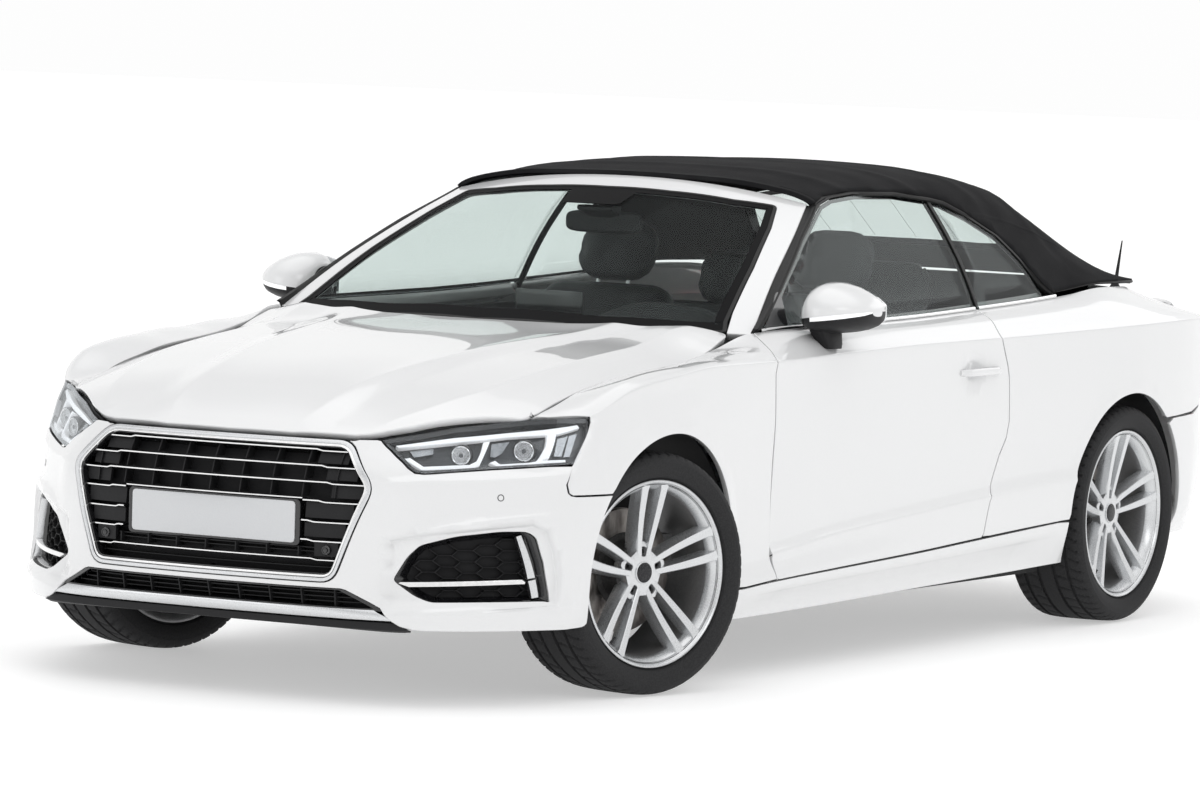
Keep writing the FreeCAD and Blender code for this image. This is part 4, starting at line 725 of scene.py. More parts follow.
    # make rim quads face outwards
    fixed = []
    for f in FC[:]:
        fixed.append(f)
    FC = fixed
    for i in range(n_outer, len(FC)):
        f = FC[i]
        if len(f) == 4:
            p = V[list(f)]
            fnv = np.cross(p[2] - p[0], p[3] - p[1])
            if np.dot(fnv, NN[list(f)].mean(0)) < 0:
                FC[i] = f[::-1]
    res = []
    if make:
        res.append(mesh_obj(name, V, FC, mats, NN, body=body, rep=rep, slot=slot))
    if mirror:
        res.append((V * np.array([-1, 1, 1]), [tuple(f[::-1]) for f in FC], NN * np.array([-1, 1, 1])))
    return res


def pair(name, F, outline, left_body, right_body, rep_left, rep_right, mats, slot=None, suffix=("_left", "_right"), **kw):
    """The same panel on both sides."""
    r = panel(name + suffix[0], F, outline, mats=mats, body=left_body, rep=rep_left, slot=slot, mirror=True, **kw)
    V, FC, NN = r[1]
    o2 = mesh_obj(name + suffix[1], V, FC, mats, NN, body=right_body, rep=rep_right, slot=slot)
    return r[0], o2


def grid_mesh(P, N=None, closed_u=False, closed_v=False, flip=False):
    """Faces of a point grid P (n, m, 3)."""
    n, m = P.shape[:2]
    F = []
    for i in range(n if closed_u else n - 1):
        for j in range(m if closed_v else m - 1):
            a, b = i * m + j, ((i + 1) % n) * m + j
            c, d = ((i + 1) % n) * m + (j + 1) % m, i * m + (j + 1) % m
            F.append((a, d, c, b) if flip else (a, b, c, d))
    return P.reshape(-1, 3), F


def tube(points, radius, seg=10, closed=False, caps=True, squash=(1.0, 1.0), up=(0, 0, 1)):
    """Swept round or oval section along points; returns verts and faces."""
    P = np.asarray(points, float)
    n = len(P)
    V, F = [], []
    R = radius if hasattr(radius, "__len__") else [radius] * n
    for i in range(n):
        a = P[(i - 1) % n] if closed or i > 0 else P[i]
        b = P[(i + 1) % n] if closed or i < n - 1 else P[i]
        d = b - a
        d /= np.linalg.norm(d)
        u = np.asarray(up, float)
        s = np.cross(d, u)
        if np.linalg.norm(s) < 1e-3:
            s = np.cross(d, (1, 0, 0))
        s /= np.linalg.norm(s)
        u = np.cross(s, d)
        for k in range(seg):
            t = 2 * math.pi * k / seg
            V.append(P[i] + s * math.cos(t) * R[i] * squash[0] + u * math.sin(t) * R[i] * squash[1])
    for i in range(n if closed else n - 1):
        j = (i + 1) % n
        for k in range(seg):
            l = (k + 1) % seg
            F.append((i * seg + k, i * seg + l, j * seg + l, j * seg + k))
    if caps and not closed:
        F.append(tuple(range(seg - 1, -1, -1)))
        F.append(tuple(range((n - 1) * seg, n * seg)))
    return V, F


def join_parts(parts):
    V, F, FM = [], [], []
    for item in parts:
        v, f = item[0], item[1]
        mi = item[2] if len(item) > 2 else 0
        n0 = len(V)
        V += [tuple(p) for p in v]
        F += [tuple(n0 + i for i in q) for q in f]
        FM += [mi] * len(f)
    return V, F, FM


def sharp_by_angle(ob, deg=38):
    """Shade smooth with sharp edges over the angle."""
    me = ob.data
    bm = bmesh.new()
    bm.from_mesh(me)
    bmesh.ops.recalc_face_normals(bm, faces=bm.faces)
    lim = math.radians(deg)
    for e in bm.edges:
        e.smooth = not (len(e.link_faces) == 2 and e.calc_face_angle(0) > lim)
    bm.to_mesh(me)
    bm.free()
    me.polygons.foreach_set("use_smooth", [True] * len(me.polygons))
    me.update()
    return ob


def box_parts(x0, x1, y0, y1, z0, z1):
    v = [(x, y, z) for x in (x0, x1) for y in (y0, y1) for z in (z0, z1)]
    f = [(0, 1, 3, 2), (4, 6, 7, 5), (0, 4, 5, 1), (2, 3, 7, 6), (0, 2, 6, 4), (1, 5, 7, 3)]
    return v, f


def simple_box(name, x0, x1, y0, y1, z0, z1, mat, body="chassis", rep=None, slot="black_trim"):
    v, f = box_parts(x0, x1, y0, y1, z0, z1)
    ob = mesh_obj(name, v, f, [mat], body=body, rep=rep, slot=slot)
    b_ = bmesh.new()
    b_.from_mesh(ob.data)
    bmesh.ops.recalc_face_normals(b_, faces=b_.faces)
    b_.to_mesh(ob.data)
    b_.free()
    return ob


def bevelled(ob, width=0.003, seg=3, angle=35):
    """Apply a bevel to an object's mesh."""
    md = ob.modifiers.new("b", "BEVEL")
    md.width = width
    md.segments = seg
    md.limit_method = "ANGLE"
    md.angle_limit = math.radians(angle)
    dg = bpy.context.evaluated_depsgraph_get()
    me = bpy.data.meshes.new_from_object(ob.evaluated_get(dg))
    ob.modifiers.clear()
    old = ob.data
    ob.data = me
    me.name = old.name
    return sharp_by_angle(ob, 40)


# ---------------------------------------------------------------- camera, light, floor
def camera():
    az, el, ro = (math.radians(v) for v in (30.806, 3.858, 1.622))
    d = Vector((-math.sin(az) * math.cos(el), math.cos(az) * math.cos(el), -math.sin(el)))
    r = d.cross(Vector((0, 0, 1))).normalized()
    u = r.cross(d)
    right = r * math.cos(ro) + u * math.sin(ro)
    up = u * math.cos(ro) - r * math.sin(ro)
    cam = bpy.data.cameras.new("camera")
    cam.sensor_width = 36.0
    cam.lens = 6764.2 / 1200.0 * 36.0
    cam.clip_end = 200
    ob = bpy.data.objects.new("camera", cam)
    bpy.context.scene.collection.objects.link(ob)
    ob.matrix_world = Matrix(((right.x, up.x, -d.x, 10.03242), (right.y, up.y, -d.y, -17.13629), (right.z, up.z, -d.z, 2.01555), (0, 0, 0, 1)))
    bpy.context.scene.camera = ob


camera()


def area_light(name, loc, target, size, size_y, power, col=(1, 1, 1)):
    li = bpy.data.lights.new(name, "AREA")
    li.shape = "RECTANGLE"
    li.size, li.size_y = size, size_y
    li.energy = power
    li.color = col
    ob = bpy.data.objects.new(name, li)
    bpy.context.scene.collection.objects.link(ob)
    ob.location = loc
    ob.rotation_euler = (Vector(target) - Vector(loc)).to_track_quat("-Z", "Y").to_euler()
    return ob


def world_and_floor():
    vs = bpy.context.scene.view_settings
    vs.view_transform = "Standard"
    w = bpy.data.worlds.new("studio")
    bpy.context.scene.world = w
    w.use_nodes = True
    nt = w.node_tree
    bg = nt.nodes["Background"]
    tc = nt.nodes.new("ShaderNodeTexCoord")
    sx = nt.nodes.new("ShaderNodeSeparateXYZ")
    nt.links.new(tc.outputs["Generated"], sx.inputs["Vector"])
    rp = nt.nodes.new("ShaderNodeValToRGB")
    e = rp.color_ramp.elements
    e[0].position, e[0].color = 0.49, (0.788, 0.788, 0.788, 1)
    e[1].position, e[1].color = 0.66, (0.784, 0.784, 0.784, 1)
    for pos, c in ((0.755, (0.60, 0.60, 0.605, 1)), (0.84, (0.60, 0.60, 0.605, 1)), (0.91, (0.98, 0.98, 0.98, 1))):
        x = e.new(pos)
        x.color = c
    mr = nt.nodes.new("ShaderNodeMapRange")
    mr.inputs["From Min"].default_value = -1
    mr.inputs["From Max"].default_value = 1
    nt.links.new(sx.outputs["Z"], mr.inputs["Value"])
    nt.links.new(mr.outputs["Result"], rp.inputs["Fac"])
    nt.links.new(rp.outputs["Color"], bg.inputs["Color"])
    bg.inputs["Strength"].default_value = 1.25
    m, fnt, b = new_mat("floor")
    b.inputs["Base Color"].default_value = (0.62, 0.62, 0.62, 1)
    no, _ = add_noise(fnt, b, 30, 0.02, 0.0002, (0.55, 0.65))
    tint(fnt, b, no, (0.62, 0.62, 0.62), (0.63, 0.63, 0.63))
    b.inputs["Emission Color"].default_value = (1, 1, 1, 1)
    b.inputs["Emission Strength"].default_value = 0.44
    me = bpy.data.meshes.new("floor")
    s = 60.0
    me.from_pydata([(-s, -s, -0.0005), (s, -s, -0.0005), (s, s, -0.0005), (-s, s, -0.0005)], [], [(0, 1, 2, 3)])
    me.materials.append(m)
    ob = bpy.data.objects.new("floor", me)
    bpy.context.scene.collection.objects.link(ob)
    area_light("key", (7.5, -6.0, 6.5), (0, -0.4, 0.6), 6.0, 3.0, 90)
    area_light("top", (0.0, 0.0, 7.5), (0, 0, 0.5), 7.0, 9.0, 60)
    area_light("front", (-5.5, -9.0, 3.6), (0, -1.5, 0.6), 5.0, 2.5, 40)
    area_light("back", (3.0, 9.0, 5.0), (0, 1.5, 0.8), 6.0, 3.0, 40)


world_and_floor()

FAY, RAY, AZ0, RF, RR = -1450.0, 1315.0, 330.0, 376.0, 368.0

# ---------------------------------------------------------------- body side with a finer front wing
W_Y = [-1930, -1890, -1861, -1820, -1790, -1740, -1700, -1650, -1600, -1450, -1200, -1000, -850, -500]
W_X = {3: [830, 854, 874, 891, 899, 906, 909, 911, 914, 918], 4: [760, 791, 818, 857, 878, 896, 904, 910, 914, 919],
       5: [735, 753, 781, 825, 851, 880, 893, 902, 907, 913], 6: [733, 748, 772, 805, 826, 845, 856, 861, 864, 868],
       7: [748, 744, 742, 740, 739, 738, 739, 741, 743, 754]}
W_Z = {3: [560] * 10, 4: [700, 700, 700, 700, 702, 706, 712, 718, 720, 725],
       5: [757, 757, 758, 761, 765, 791, 811, 829, 839, 857], 6: [759, 760, 762, 769, 780, 808, 830, 849, 859, 877],
       7: [760, 763, 770, 779, 786, 799, 811, 822, 831, 856]}


def wing_tables():
    X, Z = [], []
    for k in range(8):
        fx = list(pchip_rows(SIDE_Y, np.array(SIDE_X[k], float), np.array(W_Y, float)))
        fz = list(pchip_rows(SIDE_Y, np.array(SIDE_Z[k], float), np.array(W_Y, float)))
        if k in W_X:
            fx[:10] = W_X[k]
            fz[:10] = W_Z[k]
        for j, y in enumerate(W_Y):
            if k == 7 and y in (-1200, -1000):
                fz[j] += 26 if y == -1000 else 5
            if k == 6 and y == -1000:
                fz[j] += 15
        X.append(fx)
        Z.append(fz)
    return X, Z


WX, WZ = wing_tables()


def rows_of(tab, y):
    if tab == "side":
        return side_rows(y)
    y = np.atleast_1d(np.asarray(y, float))
    X = [pchip_rows(W_Y, np.array(r, float), y) for r in WX]
    Z = [pchip_rows(W_Y, np.array(r, float), y) for r in WZ]
    g = np.clip((y + 1800) / 150.0, 0.25, 1)
    kx = [X[0], X[1], X[2], X[3], X[4], X[5] - 1.0, X[5], X[5] - 6.0 * g, X[5] - 14.5 * g, X[6], X[7]]
    kz = [Z[0], Z[1], Z[2], Z[3], Z[4], Z[5] - 13 * g, Z[5], Z[5] + 5 * g, Z[5] + 14 * g, np.maximum(Z[6], Z[5] + 15.5 * g), Z[7]]
    return [0, 1, 2, 3, 4, 4.9, 5, 5.07, 5.22, 6, 7], np.array(kx), np.array(kz)


def r_of(tab, y, z):
    """Row number of height z at station y, on the part below the shoulder."""
    y = np.atleast_1d(np.asarray(y, float))
    z = np.atleast_1d(np.asarray(z, float))
    kn, kx, kz = rows_of(tab, y)
    lo, hi = np.zeros(len(y)) - 0.2, np.full(len(y), 5.9)
    for _ in range(24):
        mid = 0.5 * (lo + hi)
        below = pchip_rows(kn, kz, mid) < z
        lo = np.where(below, mid, lo)
        hi = np.where(below, hi, mid)
    return 0.5 * (lo + hi)


RS = 110.0


def surf_rows(tab):
    def F(y, s):
        y = np.atleast_1d(np.asarray(y, float))
        r = np.atleast_1d(np.asarray(s, float)) / RS
        kn, kx, kz = rows_of(tab, y)
        return np.stack([pchip_rows(kn, kx, r), y, pchip_rows(kn, kz, r)], 1)
    return F


F_wing, F_flank = surf_rows("wing"), surf_rows("side")


def to_rows(tab, pts, step=10.0):
    """(y, z) line to (y, s) points, sampled closely first."""
    out = []
    for i in range(len(pts) - 1):
        a, b = np.array(pts[i], float), np.array(pts[i + 1], float)
        k = max(1, int(np.linalg.norm(b - a) / step))
        for j in range(k):
            out.append(a + (b - a) * j / k)
    out.append(np.array(pts[-1], float))
    out = np.array(out)
    r = r_of(tab, out[:, 0], out[:, 1])
    return [(float(a), float(b) * RS) for a, b in zip(out[:, 0], r)]


def arc(cy, R, a0, a1, n=48):
    return [(cy + R * math.cos(math.radians(a0 + (a1 - a0) * i / (n - 1))), AZ0 + R * math.sin(math.radians(a0 + (a1 - a0) * i / (n - 1)))) for i in range(n)]


def ang(R, dz, front):
    """Angle of the arch point dz above the axle, ahead of or behind it."""
    a = math.degrees(math.asin(dz / R))
    return 180 - a if front else a


G = 2.4   # half a shut line
DOOR_FRONT = [(-824, 268), (-842, 332), (-857, 500), (-869, 700), (-886, 846), (-878, 880), (-823, 944)]
DOOR_REAR = [(487, 973), (480, 930), (459, 894), (500, 820), (515, 780), (531, 650), (520, 600), (487, 551),
             (452, 459), (425, 388), (404, 325), (396, 312)]
SILL = [(y, float(pchip_rows([-1000, -850, -500, 0, 400, 920, 1200], np.array([257, 266, 278, 294, 311, 331, 340], float), np.array([y]))[0])) for y in
        [-1060 + 50 * i for i in range(41)]]


def sh(pts, dy, dz=0.0):
    return [(a + dy, b + dz) for a, b in pts]


# Lip of the wheel arches: a rolled edge with a flat band around it.
def arch_lift(F, cy, R):
    def H(y, s):
        P = F(y, s)
        d = np.hypot(P[:, 1] - cy, P[:, 2] - AZ0) - R
        k = np.exp(-np.maximum(d - 14.0, 0.0) ** 2 / 260.0)
        P[:, 0] += 2.6 * k
        return P
    return H


F_wing2 = arch_lift(F_wing, FAY, RF)
F_flank2 = arch_lift(F_flank, RAY, RR)

wing_out = (sh([(-842, 332), (-857, 500), (-869, 700), (-886, 846), (-878, 880)], -G)[::1])
wing_low = to_rows("wing", [(-1080, 262 + G), (-1000, 262), (-860, 270), (-824 - G, 272)] + wing_out, 10)
top_r = 7 * RS - 1.5
wing_poly = wing_low + [(-823 - G, 6.86 * RS), (-818 - G, top_r)]
wing_poly += [(y, top_r) for y in np.arange(-830, -1906, -12.0)]
wing_poly += [(-1908, 6.93 * RS), (-1892, 6.6 * RS), (-1861, 6.12 * RS), (-1845, 5.85 * RS), (-1820, 5.5 * RS), (-1800, 5.16 * RS), (-1790, 5.0 * RS), (-1787, 4.86 * RS)]
wing_front = to_rows("wing", [(-1789, 750), (-1861, 641), (-1866, 635), (-1886, 589), (-1886, 566), (-1879, 560), (-1749 - 2, 560)], 8)
wing_poly += wing_front
wing_poly += to_rows("wing", arc(FAY, RF, ang(RF, 230, True), ang(RF, -66, False), 70)[1:-1], 9)
CREASE = [[(y, r * RS) for y in np.arange(-1770, -905, 14.0)] for r in (4.9, 5.0, 5.07, 5.22)]
pair("front_wing", F_wing2, wing_poly, "chassis", "chassis", "front_fender_left", "front_fender_right", M["paint"], slot="paint_white", thick=14, rad=2.0, step=24,
     bstep=9, lines=CREASE)

# Doors.
door_poly = to_rows("side", sh([(-824, 268), (-842, 332), (-857, 500), (-869, 700), (-886, 846), (-878, 880)], G) + [], 10)
door_poly += [(-823 + G, 6.86 * RS), (-815 + G, 7 * RS)] + [(y, 7 * RS) for y in np.arange(-800, 484, 14.0)] + [(484 - G, 7 * RS)]
door_poly += [(487 - G, 6.9 * RS), (482 - G, 6.2 * RS), (470 - G, 5.6 * RS)]
door_poly += to_rows("side", sh([(459, 894), (500, 820), (515, 780), (531, 650), (520, 600), (487, 551), (452, 459), (425, 388), (404, 325), (396, 318)], -G), 10)
door_poly += to_rows("side", [(a, b + G) for a, b in SILL if -815 < a < 392][::-1] + [(-822, 270 + G)], 12)
DC = [[(y, r * RS) for y in np.arange(-868, 455, 14.0)] for r in (4.9, 5.0, 5.07, 5.22)] + [[(y, r * RS) for y in np.arange(-845, 440, 14.0)] for r in (1.85, 2.0, 2.07, 2.3)]


def F_door(y, s):
    P = F_flank(y, s)
    d = ((P[:, 1] - 300) / 66.0) ** 2 + ((P[:, 2] - 803) / 44.0) ** 2
    P[:, 0] -= 13.0 * np.clip(1 - d, 0, 1) ** 1.5
    return P


hd = [[(300 + 62 * k * math.cos(t), (r_of("side", [300 + 62 * k * math.cos(t)], [803 + 41 * k * math.sin(t)])[0]) * RS) for t in np.linspace(0, 2 * math.pi, 26)] for k in (0.35, 0.7, 1.0)]
DC = DC + hd
pair("door_skin", F_door, door_poly, "door_left", "door_right", "door_left", "door_right", M["paint"], slot="paint_white", thick=34, rad=2.0, step=24, bstep=9, lines=DC)

# Rear quarters.
q_poly = to_rows("side", sh([(396, 316), (404, 325), (425, 388), (452, 459), (487, 551), (520, 600), (531, 650), (515, 780), (500, 820), (459, 894)], G), 10)
q_poly += [(470 + G, 5.6 * RS), (482 + G, 6.2 * RS), (487 + G, 6.9 * RS), (488 + G, 7 * RS)]
q_poly += [(y, 7 * RS) for y in np.arange(505, 1890, 14.0)] + [(1900, 7 * RS), (1903, 6.5 * RS), (1903, 6.0 * RS), (1901, 5.4 * RS)]
q_poly += to_rows("side", [(1899, 882), (1868 - G, 800), (1868 - G, 770), (1880 - G, 700), (1860 - G, 640), (1775, 618 + G), (1640, 612 + G), (1555, 611 + G)], 9)
q_poly += to_rows("side", arc(RAY, RR, ang(RR, 282, False), ang(RR, 9, True), 80)[1:-1], 9)
q_poly += to_rows("side", [(a, b + G) for a, b in SILL if 402 < a < 946][::-1], 12)
QC = [[(y, r * RS) for y in np.arange(482, 1880, 14.0)] for r in (4.9, 5.0, 5.07, 5.22)]
pair("rear_quarter", F_flank2, q_poly, "chassis", "chassis", "quarter_panel_left", "quarter_panel_right", M["paint"], slot="paint_white", thick=14, rad=2.0, step=24,
     bstep=9, lines=QC)


# Sills, hollowed below a ledge and flared towards the rear wheel.
def F_skirt(y, s):
    P = F_flank(y, s)
    r = np.atleast_1d(np.asarray(s, float)) / RS
    y = np.atleast_1d(np.asarray(y, float))
    led = np.clip((r - 0.62) / 0.1, 0, 1) * np.clip((1.1 - r) / 0.12, 0, 1)
    k = np.clip((y + 1000) / 200.0, 0, 1) * np.clip((900 - y) / 260.0, 0, 1)
    P[:, 0] += 7.0 * led * k - 9.0 * np.sin(np.pi * np.clip(r / 0.64, 0, 1)) * k
    return P


sk_poly = to_rows("side", [(a, b - G) for a, b in SILL if -1060 < a < 930], 14)
sk_poly = [(-1078, sk_poly[0][1])] + sk_poly
sk_poly += to_rows("side", arc(RAY, RR, ang(RR, -4, True), ang(RR, -130, True), 14), 9)
sk_poly = sk_poly + [(1150 - 190, 0.02 * RS)] if False else sk_poly
ya = RAY - math.sqrt(RR ** 2 - 131 ** 2)
yb = FAY + math.sqrt(RF ** 2 - 155 ** 2)
sk_poly += [(ya - 6, 0.0)] + [(y, 0.0) for y in np.arange(ya - 20, yb + 12, -16.0)] + [(yb + 2, 0.0)]
sk_poly += to_rows("side", arc(FAY, RF, ang(RF, -150, False), ang(RF, -72, False), 10), 9)
SC = [[(y, r * RS) for y in np.arange(-1050, 930, 16.0)] for r in (0.6, 0.66, 0.72)]
both_ob = pair("side_skirt", F_skirt, sk_poly, "chassis", "chassis", "side_skirts", "side_skirts", M["paint"], slot="paint_white", thick=26, rad=3.0, step=20, bstep=10, lines=SC)


# ---------------------------------------------------------------- bonnet
def polyfun(pts):
    ys = [p[1] for p in pts]
    xs_ = [p[0] for p in pts]
    return lambda y: pchip_rows(ys, np.array(xs_, float), y)


cr1 = polyfun([(435, -2175), (515, -2035), (580, -1800), (605, -1500), (612, -1217), (612, -1047), (645, -880)])
cr2 = polyfun([(203, -2205), (225, -2155), (237, -2068), (252, -1960), (285, -1760), (325, -1500), (370, -1250), (425, -1000), (450, -900)])


def F_bonnet(x, y):
    x = np.atleast_1d(np.asarray(x, float))
    y = np.atleast_1d(np.asarray(y, float))
    z = height(BONNET_Y, BONNET_Z, x, y)
    a = np.abs(x)
    yy = np.clip(y, -2205, -900)
    x1, x2 = cr1(np.clip(yy, -2175, -880)), cr2(yy)
    f = np.clip((y + 2235) / 90.0, 0, 1)
    f = f * f * (3 - 2 * f) * np.clip((-880 - y) / 120.0 + 0.35, 0.35, 1)
    d2 = np.sqrt((a - x2) ** 2 + 16)
    s = np.clip((a - x2) / 95.0, 0, 1)
    dome = 8.5 * (1 - s * s * (3 - 2 * s)) * 1.0
    z = z + f * (dome - 8.5 + 3.6 * np.exp(-d2 / 36.0))
    d1 = np.sqrt((a - x1) ** 2 + 16)
    side = np.clip((760 - a) / 110.0, 0, 1)
    z = z + f * 6.8 * np.exp(-d1 / 60.0) * side
    z = z + f * 3.5 * np.clip((a - x2) / np.maximum(x1 - x2, 1), 0, 1) * side
    k = np.clip((y + 1240) / 340.0, 0, 1)
    k = (k * k * (3 - 2 * k)) ** 2
    z = z + k * (7 + 40 * np.clip(a / 740.0, 0, 1.05) ** 2)
    return np.stack([x, y, z], 1)


BH = [(0, -2243), (200, -2237), (387, -2214), (440, -2198), (514, -2139), (594, -2056), (680, -1968), (735, -1914), (739, -1860), (736, -1775), (737, -1700), (741, -1549),
      (752, -1400), (763, -1200), (766, -1000), (757, -905), (738, -872), (700, -880), (600, -925), (300, -1002), (0, -1024)]
bo = [(a, b) for a, b in BH] + [(-a, b) for a, b in BH[::-1] if a > 0]


def shrink(poly, d):
    p = np.array(poly, float)
    vo, _ = vertex_out(p)
    return [tuple(q) for q in p - vo * d]


bo = shrink(round_corners(bo, 30, 14), G)
BL = []
yy_ = np.arange(-2196, -905, 15.0)
for sg in (1, -1):
    for off in (-7, 0, 7):
        BL.append([(sg * (float(cr2(np.array([y]))[0]) + off), float(y)) for y in yy_])
        BL.append([(sg * (float(cr1(np.array([y]))[0]) + off), float(y)) for y in yy_ if y > -2165])
panel("bonnet_skin", F_bonnet, bo, mats=M["paint"], body="bonnet", rep="bonnet", slot="paint_white", thick=20, rad=4.0, step=26, bstep=12, lines=BL)


# ---------------------------------------------------------------- nose
TM = 115.0


def bis(fn, target, lo, hi, n=40):
    target = np.atleast_1d(np.asarray(target, float))
    a, b = np.full(len(target), float(lo)), np.full(len(target), float(hi))
    for _ in range(n):
        m = 0.5 * (a + b)
        q = fn(m) < target
        a = np.where(q, m, a)
        b = np.where(q, b, m)
    return 0.5 * (a + b)


def t_of_x(x, z):
    x = np.atleast_1d(np.asarray(x, float))
    z = np.atleast_1d(np.asarray(z, float))
    return np.sign(x) * bis(lambda t: F_nose(t, z)[:, 0], np.abs(x), 0, 6.4)


def t_of_y(y, z):
    z = np.atleast_1d(np.asarray(z, float))
    return bis(lambda t: F_nose(t, z)[:, 1], y, 3.0, 8.9)


def sub(pts, step=8.0):
    out = []
    for i in range(len(pts) - 1):
        a, b = np.array(pts[i], float), np.array(pts[i + 1], float)
        k = max(1, int(np.linalg.norm(b - a) / step))
        out += [tuple(a + (b - a) * j / k) for j in range(k)]
    out.append(tuple(pts[-1]))
    return out


def xz_nose(pts, closed=False, step=8.0):
    p = sub(list(pts) + ([pts[0]] if closed else []), step)
    if closed:
        p = p[:-1]
    x = np.array([q[0] for q in p])
    z = np.array([q[1] for q in p])
    t = t_of_x(x, z)
    return [(float(a) * TM, float(b)) for a, b in zip(t, z)]


def yz_nose(pts, step=8.0):
    p = sub(pts, step)
    y = np.array([q[0] for q in p])
    z = np.array([q[1] for q in p])
    return [(float(a) * TM, float(b)) for a, b in zip(t_of_y(y, z), z)]


def ss(v):
    v = np.clip(v, 0, 1)
    return v * v * (3 - 2 * v)


def poly_dist(A, B, poly):
    """Signed distance to a closed outline, positive inside."""
    Q = np.stack([A, B], 1)
    p = np.asarray(poly, float)
    d = np.full(len(Q), 1e9)
    for i in range(len(p)):
        a, b = p[i], p[(i + 1) % len(p)]
        ab = b - a
        u = np.clip(((Q - a) @ ab) / max(ab @ ab, 1e-9), 0, 1)
        d = np.minimum(d, np.linalg.norm(Q - a - u[:, None] * ab, axis=1))
    return np.where(inpoly(Q, p), d, -d)


def line_z(pts):
    return lambda t: pchip_rows([p[0] for p in pts], np.array([p[1] for p in pts], float), t)


scoop = [(3.05, 442), (3.7, 458), (4.28, 467), (5.0, 479), (5.68, 488), (6.0, 470), (6.2, 410), (6.33, 342), (6.36, 268), (5.8, 262), (4.8, 254), (3.6, 248), (2.95, 246), (2.72, 262), (2.95, 330)]
scoop_a = [(a * TM, b) for a, b in scoop]
z_crease = line_z([(2.6, 436), (3.09, 451), (3.44, 473), (4.37, 510), (5.2, 527), (6.06, 540), (7.0, 548)])
z_bump = line_z([(2.4, 577), (3.08, 584), (4.0, 591), (4.86, 599), (5.82, 612), (6.6, 622)])
z_lip = line_z([(2.0, 240), (2.66, 242), (4.21, 249), (5.77, 260), (6.34, 265), (7.3, 272)])


TY, TZ = np.arange(-1856.0, -1699.0, 6.0), np.arange(196.0, 700.0, 8.0)
_gy, _gz = np.meshgrid(TY, TZ, indexing="ij")
_gr = r_of("wing", _gy.ravel(), _gz.ravel())
WING_X = F_wing2(_gy.ravel(), _gr * RS)[:, 0].reshape(_gy.shape)


def wing_x(y, z):
    """Body side at a station and height, from a table."""
    u = np.clip((y - TY[0]) / 6.0, 0, len(TY) - 1.001)
    v = np.clip((z - TZ[0]) / 8.0, 0, len(TZ) - 1.001)
    i, j = u.astype(int), v.astype(int)
    u, v = u - i, v - j
    return (WING_X[i, j] * (1 - u) * (1 - v) + WING_X[i + 1, j] * u * (1 - v) + WING_X[i, j + 1] * (1 - u) * v + WING_X[i + 1, j + 1] * u * v)


def base_nose(a, z):
    t = np.atleast_1d(np.asarray(a, float)) / TM
    z = np.atleast_1d(np.asarray(z, float))
    P = F_nose(t, z)
    q = P[:, 1] > -1850
    if q.any():
        y = P[q, 1]
        xs = wing_x(y, z[q])
        w = ss((y + 1850) / 70.0)
        P[q, 0] = P[q, 0] + w * (np.sign(t[q]) * xs - P[q, 0])
    return P


def F_bump(a, z):
    a = np.atleast_1d(np.asarray(a, float))
    z = np.atleast_1d(np.asarray(z, float))
    P = base_nose(a, z)
    t = np.abs(a) / TM
    N = P - base_nose(a, z)
    e = 1.0
    Pa = base_nose(a + e, z) - base_nose(a - e, z)
    Pz = base_nose(a, z + e) - base_nose(a, z - e)
    N = np.cross(Pa, Pz)
    N /= np.maximum(np.linalg.norm(N, axis=1, keepdims=True), 1e-9)
    ft = ss((t - 2.7) / 0.6)
    fr = ss((7.2 - t) / 0.9)
    d = z - z_bump(t)
    off = 4.2 * np.where(d > 0, np.exp(-d / 34.0), np.exp(d / 70.0)) * ft * ss((6.7 - t) / 0.8)
    dc = z_crease(t) - z
    shelf = ss(dc / 52.0) * ss((z - 236) / 60.0)
    off += 8.0 * shelf * ss((t - 2.95) / 0.5) * ss((6.75 - t) / 0.75)
    ds = poly_dist(np.abs(a), z, scoop_a)
    top = ss((z - 262) / 30.0)
    off -= 15.0 * ss((ds + 2.0) / 13.0) * top
    dl = z - z_lip(t)
    ftl = ss((t - 2.4) / 0.4) * fr
    off += 8.0 * np.where(dl > 0, np.exp(-dl / 18.0), np.exp(dl / 30.0)) * ftl
    off -= 5.0 * ss((232 - z) / 34.0) * ss((t - 2.5) / 0.4)
    P = P + N * off[:, None]
    P[:, 1] = np.maximum(P[:, 1], -2337.5)
    return P


LAMP_T = [(3.0, 700), (3.55, 714), (4.25, 735), (5.0, 749), (5.51, 758), (6.19, 762), (6.95, 763), (7.01, 755), (6.77, 697), (6.53, 641), (5.94, 637), (4.99, 628), (4.43, 621),
          (4.1, 616.5), (3.93, 615), (3.78, 618), (3.66, 629), (3.56, 644), (3.31, 673)]
lamp_a = [(a * TM, b) for a, b in LAMP_T]
HEX = [(-387, 696), (387, 696), (482, 582), (384, 322), (-384, 322), (-482, 582)]
hexr = round_corners(HEX, 36, 6)
bo_half = []
half = [(0, 308.0), (404, 308.0), (418, 304.5), (505, 262)] + [(514, 250), (524, 238), (540, 226), (560, 215), (585, 208), (612, 205.5)]
bo_half += xz_nose(half, step=10)
za = np.linspace(205, 205, 2)
yb0 = FAY - math.sqrt(RF ** 2 - (214 - AZ0) ** 2)
t_end = float(t_of_y(yb0 - 16, 206)[0])
t612 = bo_half[-1][0]
bo_half += [(a, 205.0) for a in np.arange(t612 + 12, t_end * TM - 8, 12.0)]
bo_half += yz_nose([(yb0 - 16, 205.5), (yb0 - 5, 208), (yb0 + 1, 216)], 5)
bo_half += yz_nose([(FAY - math.sqrt(RF ** 2 - (z - AZ0) ** 2), z) for z in list(np.arange(226, 552, 9.0)) + [555.5]], 30)
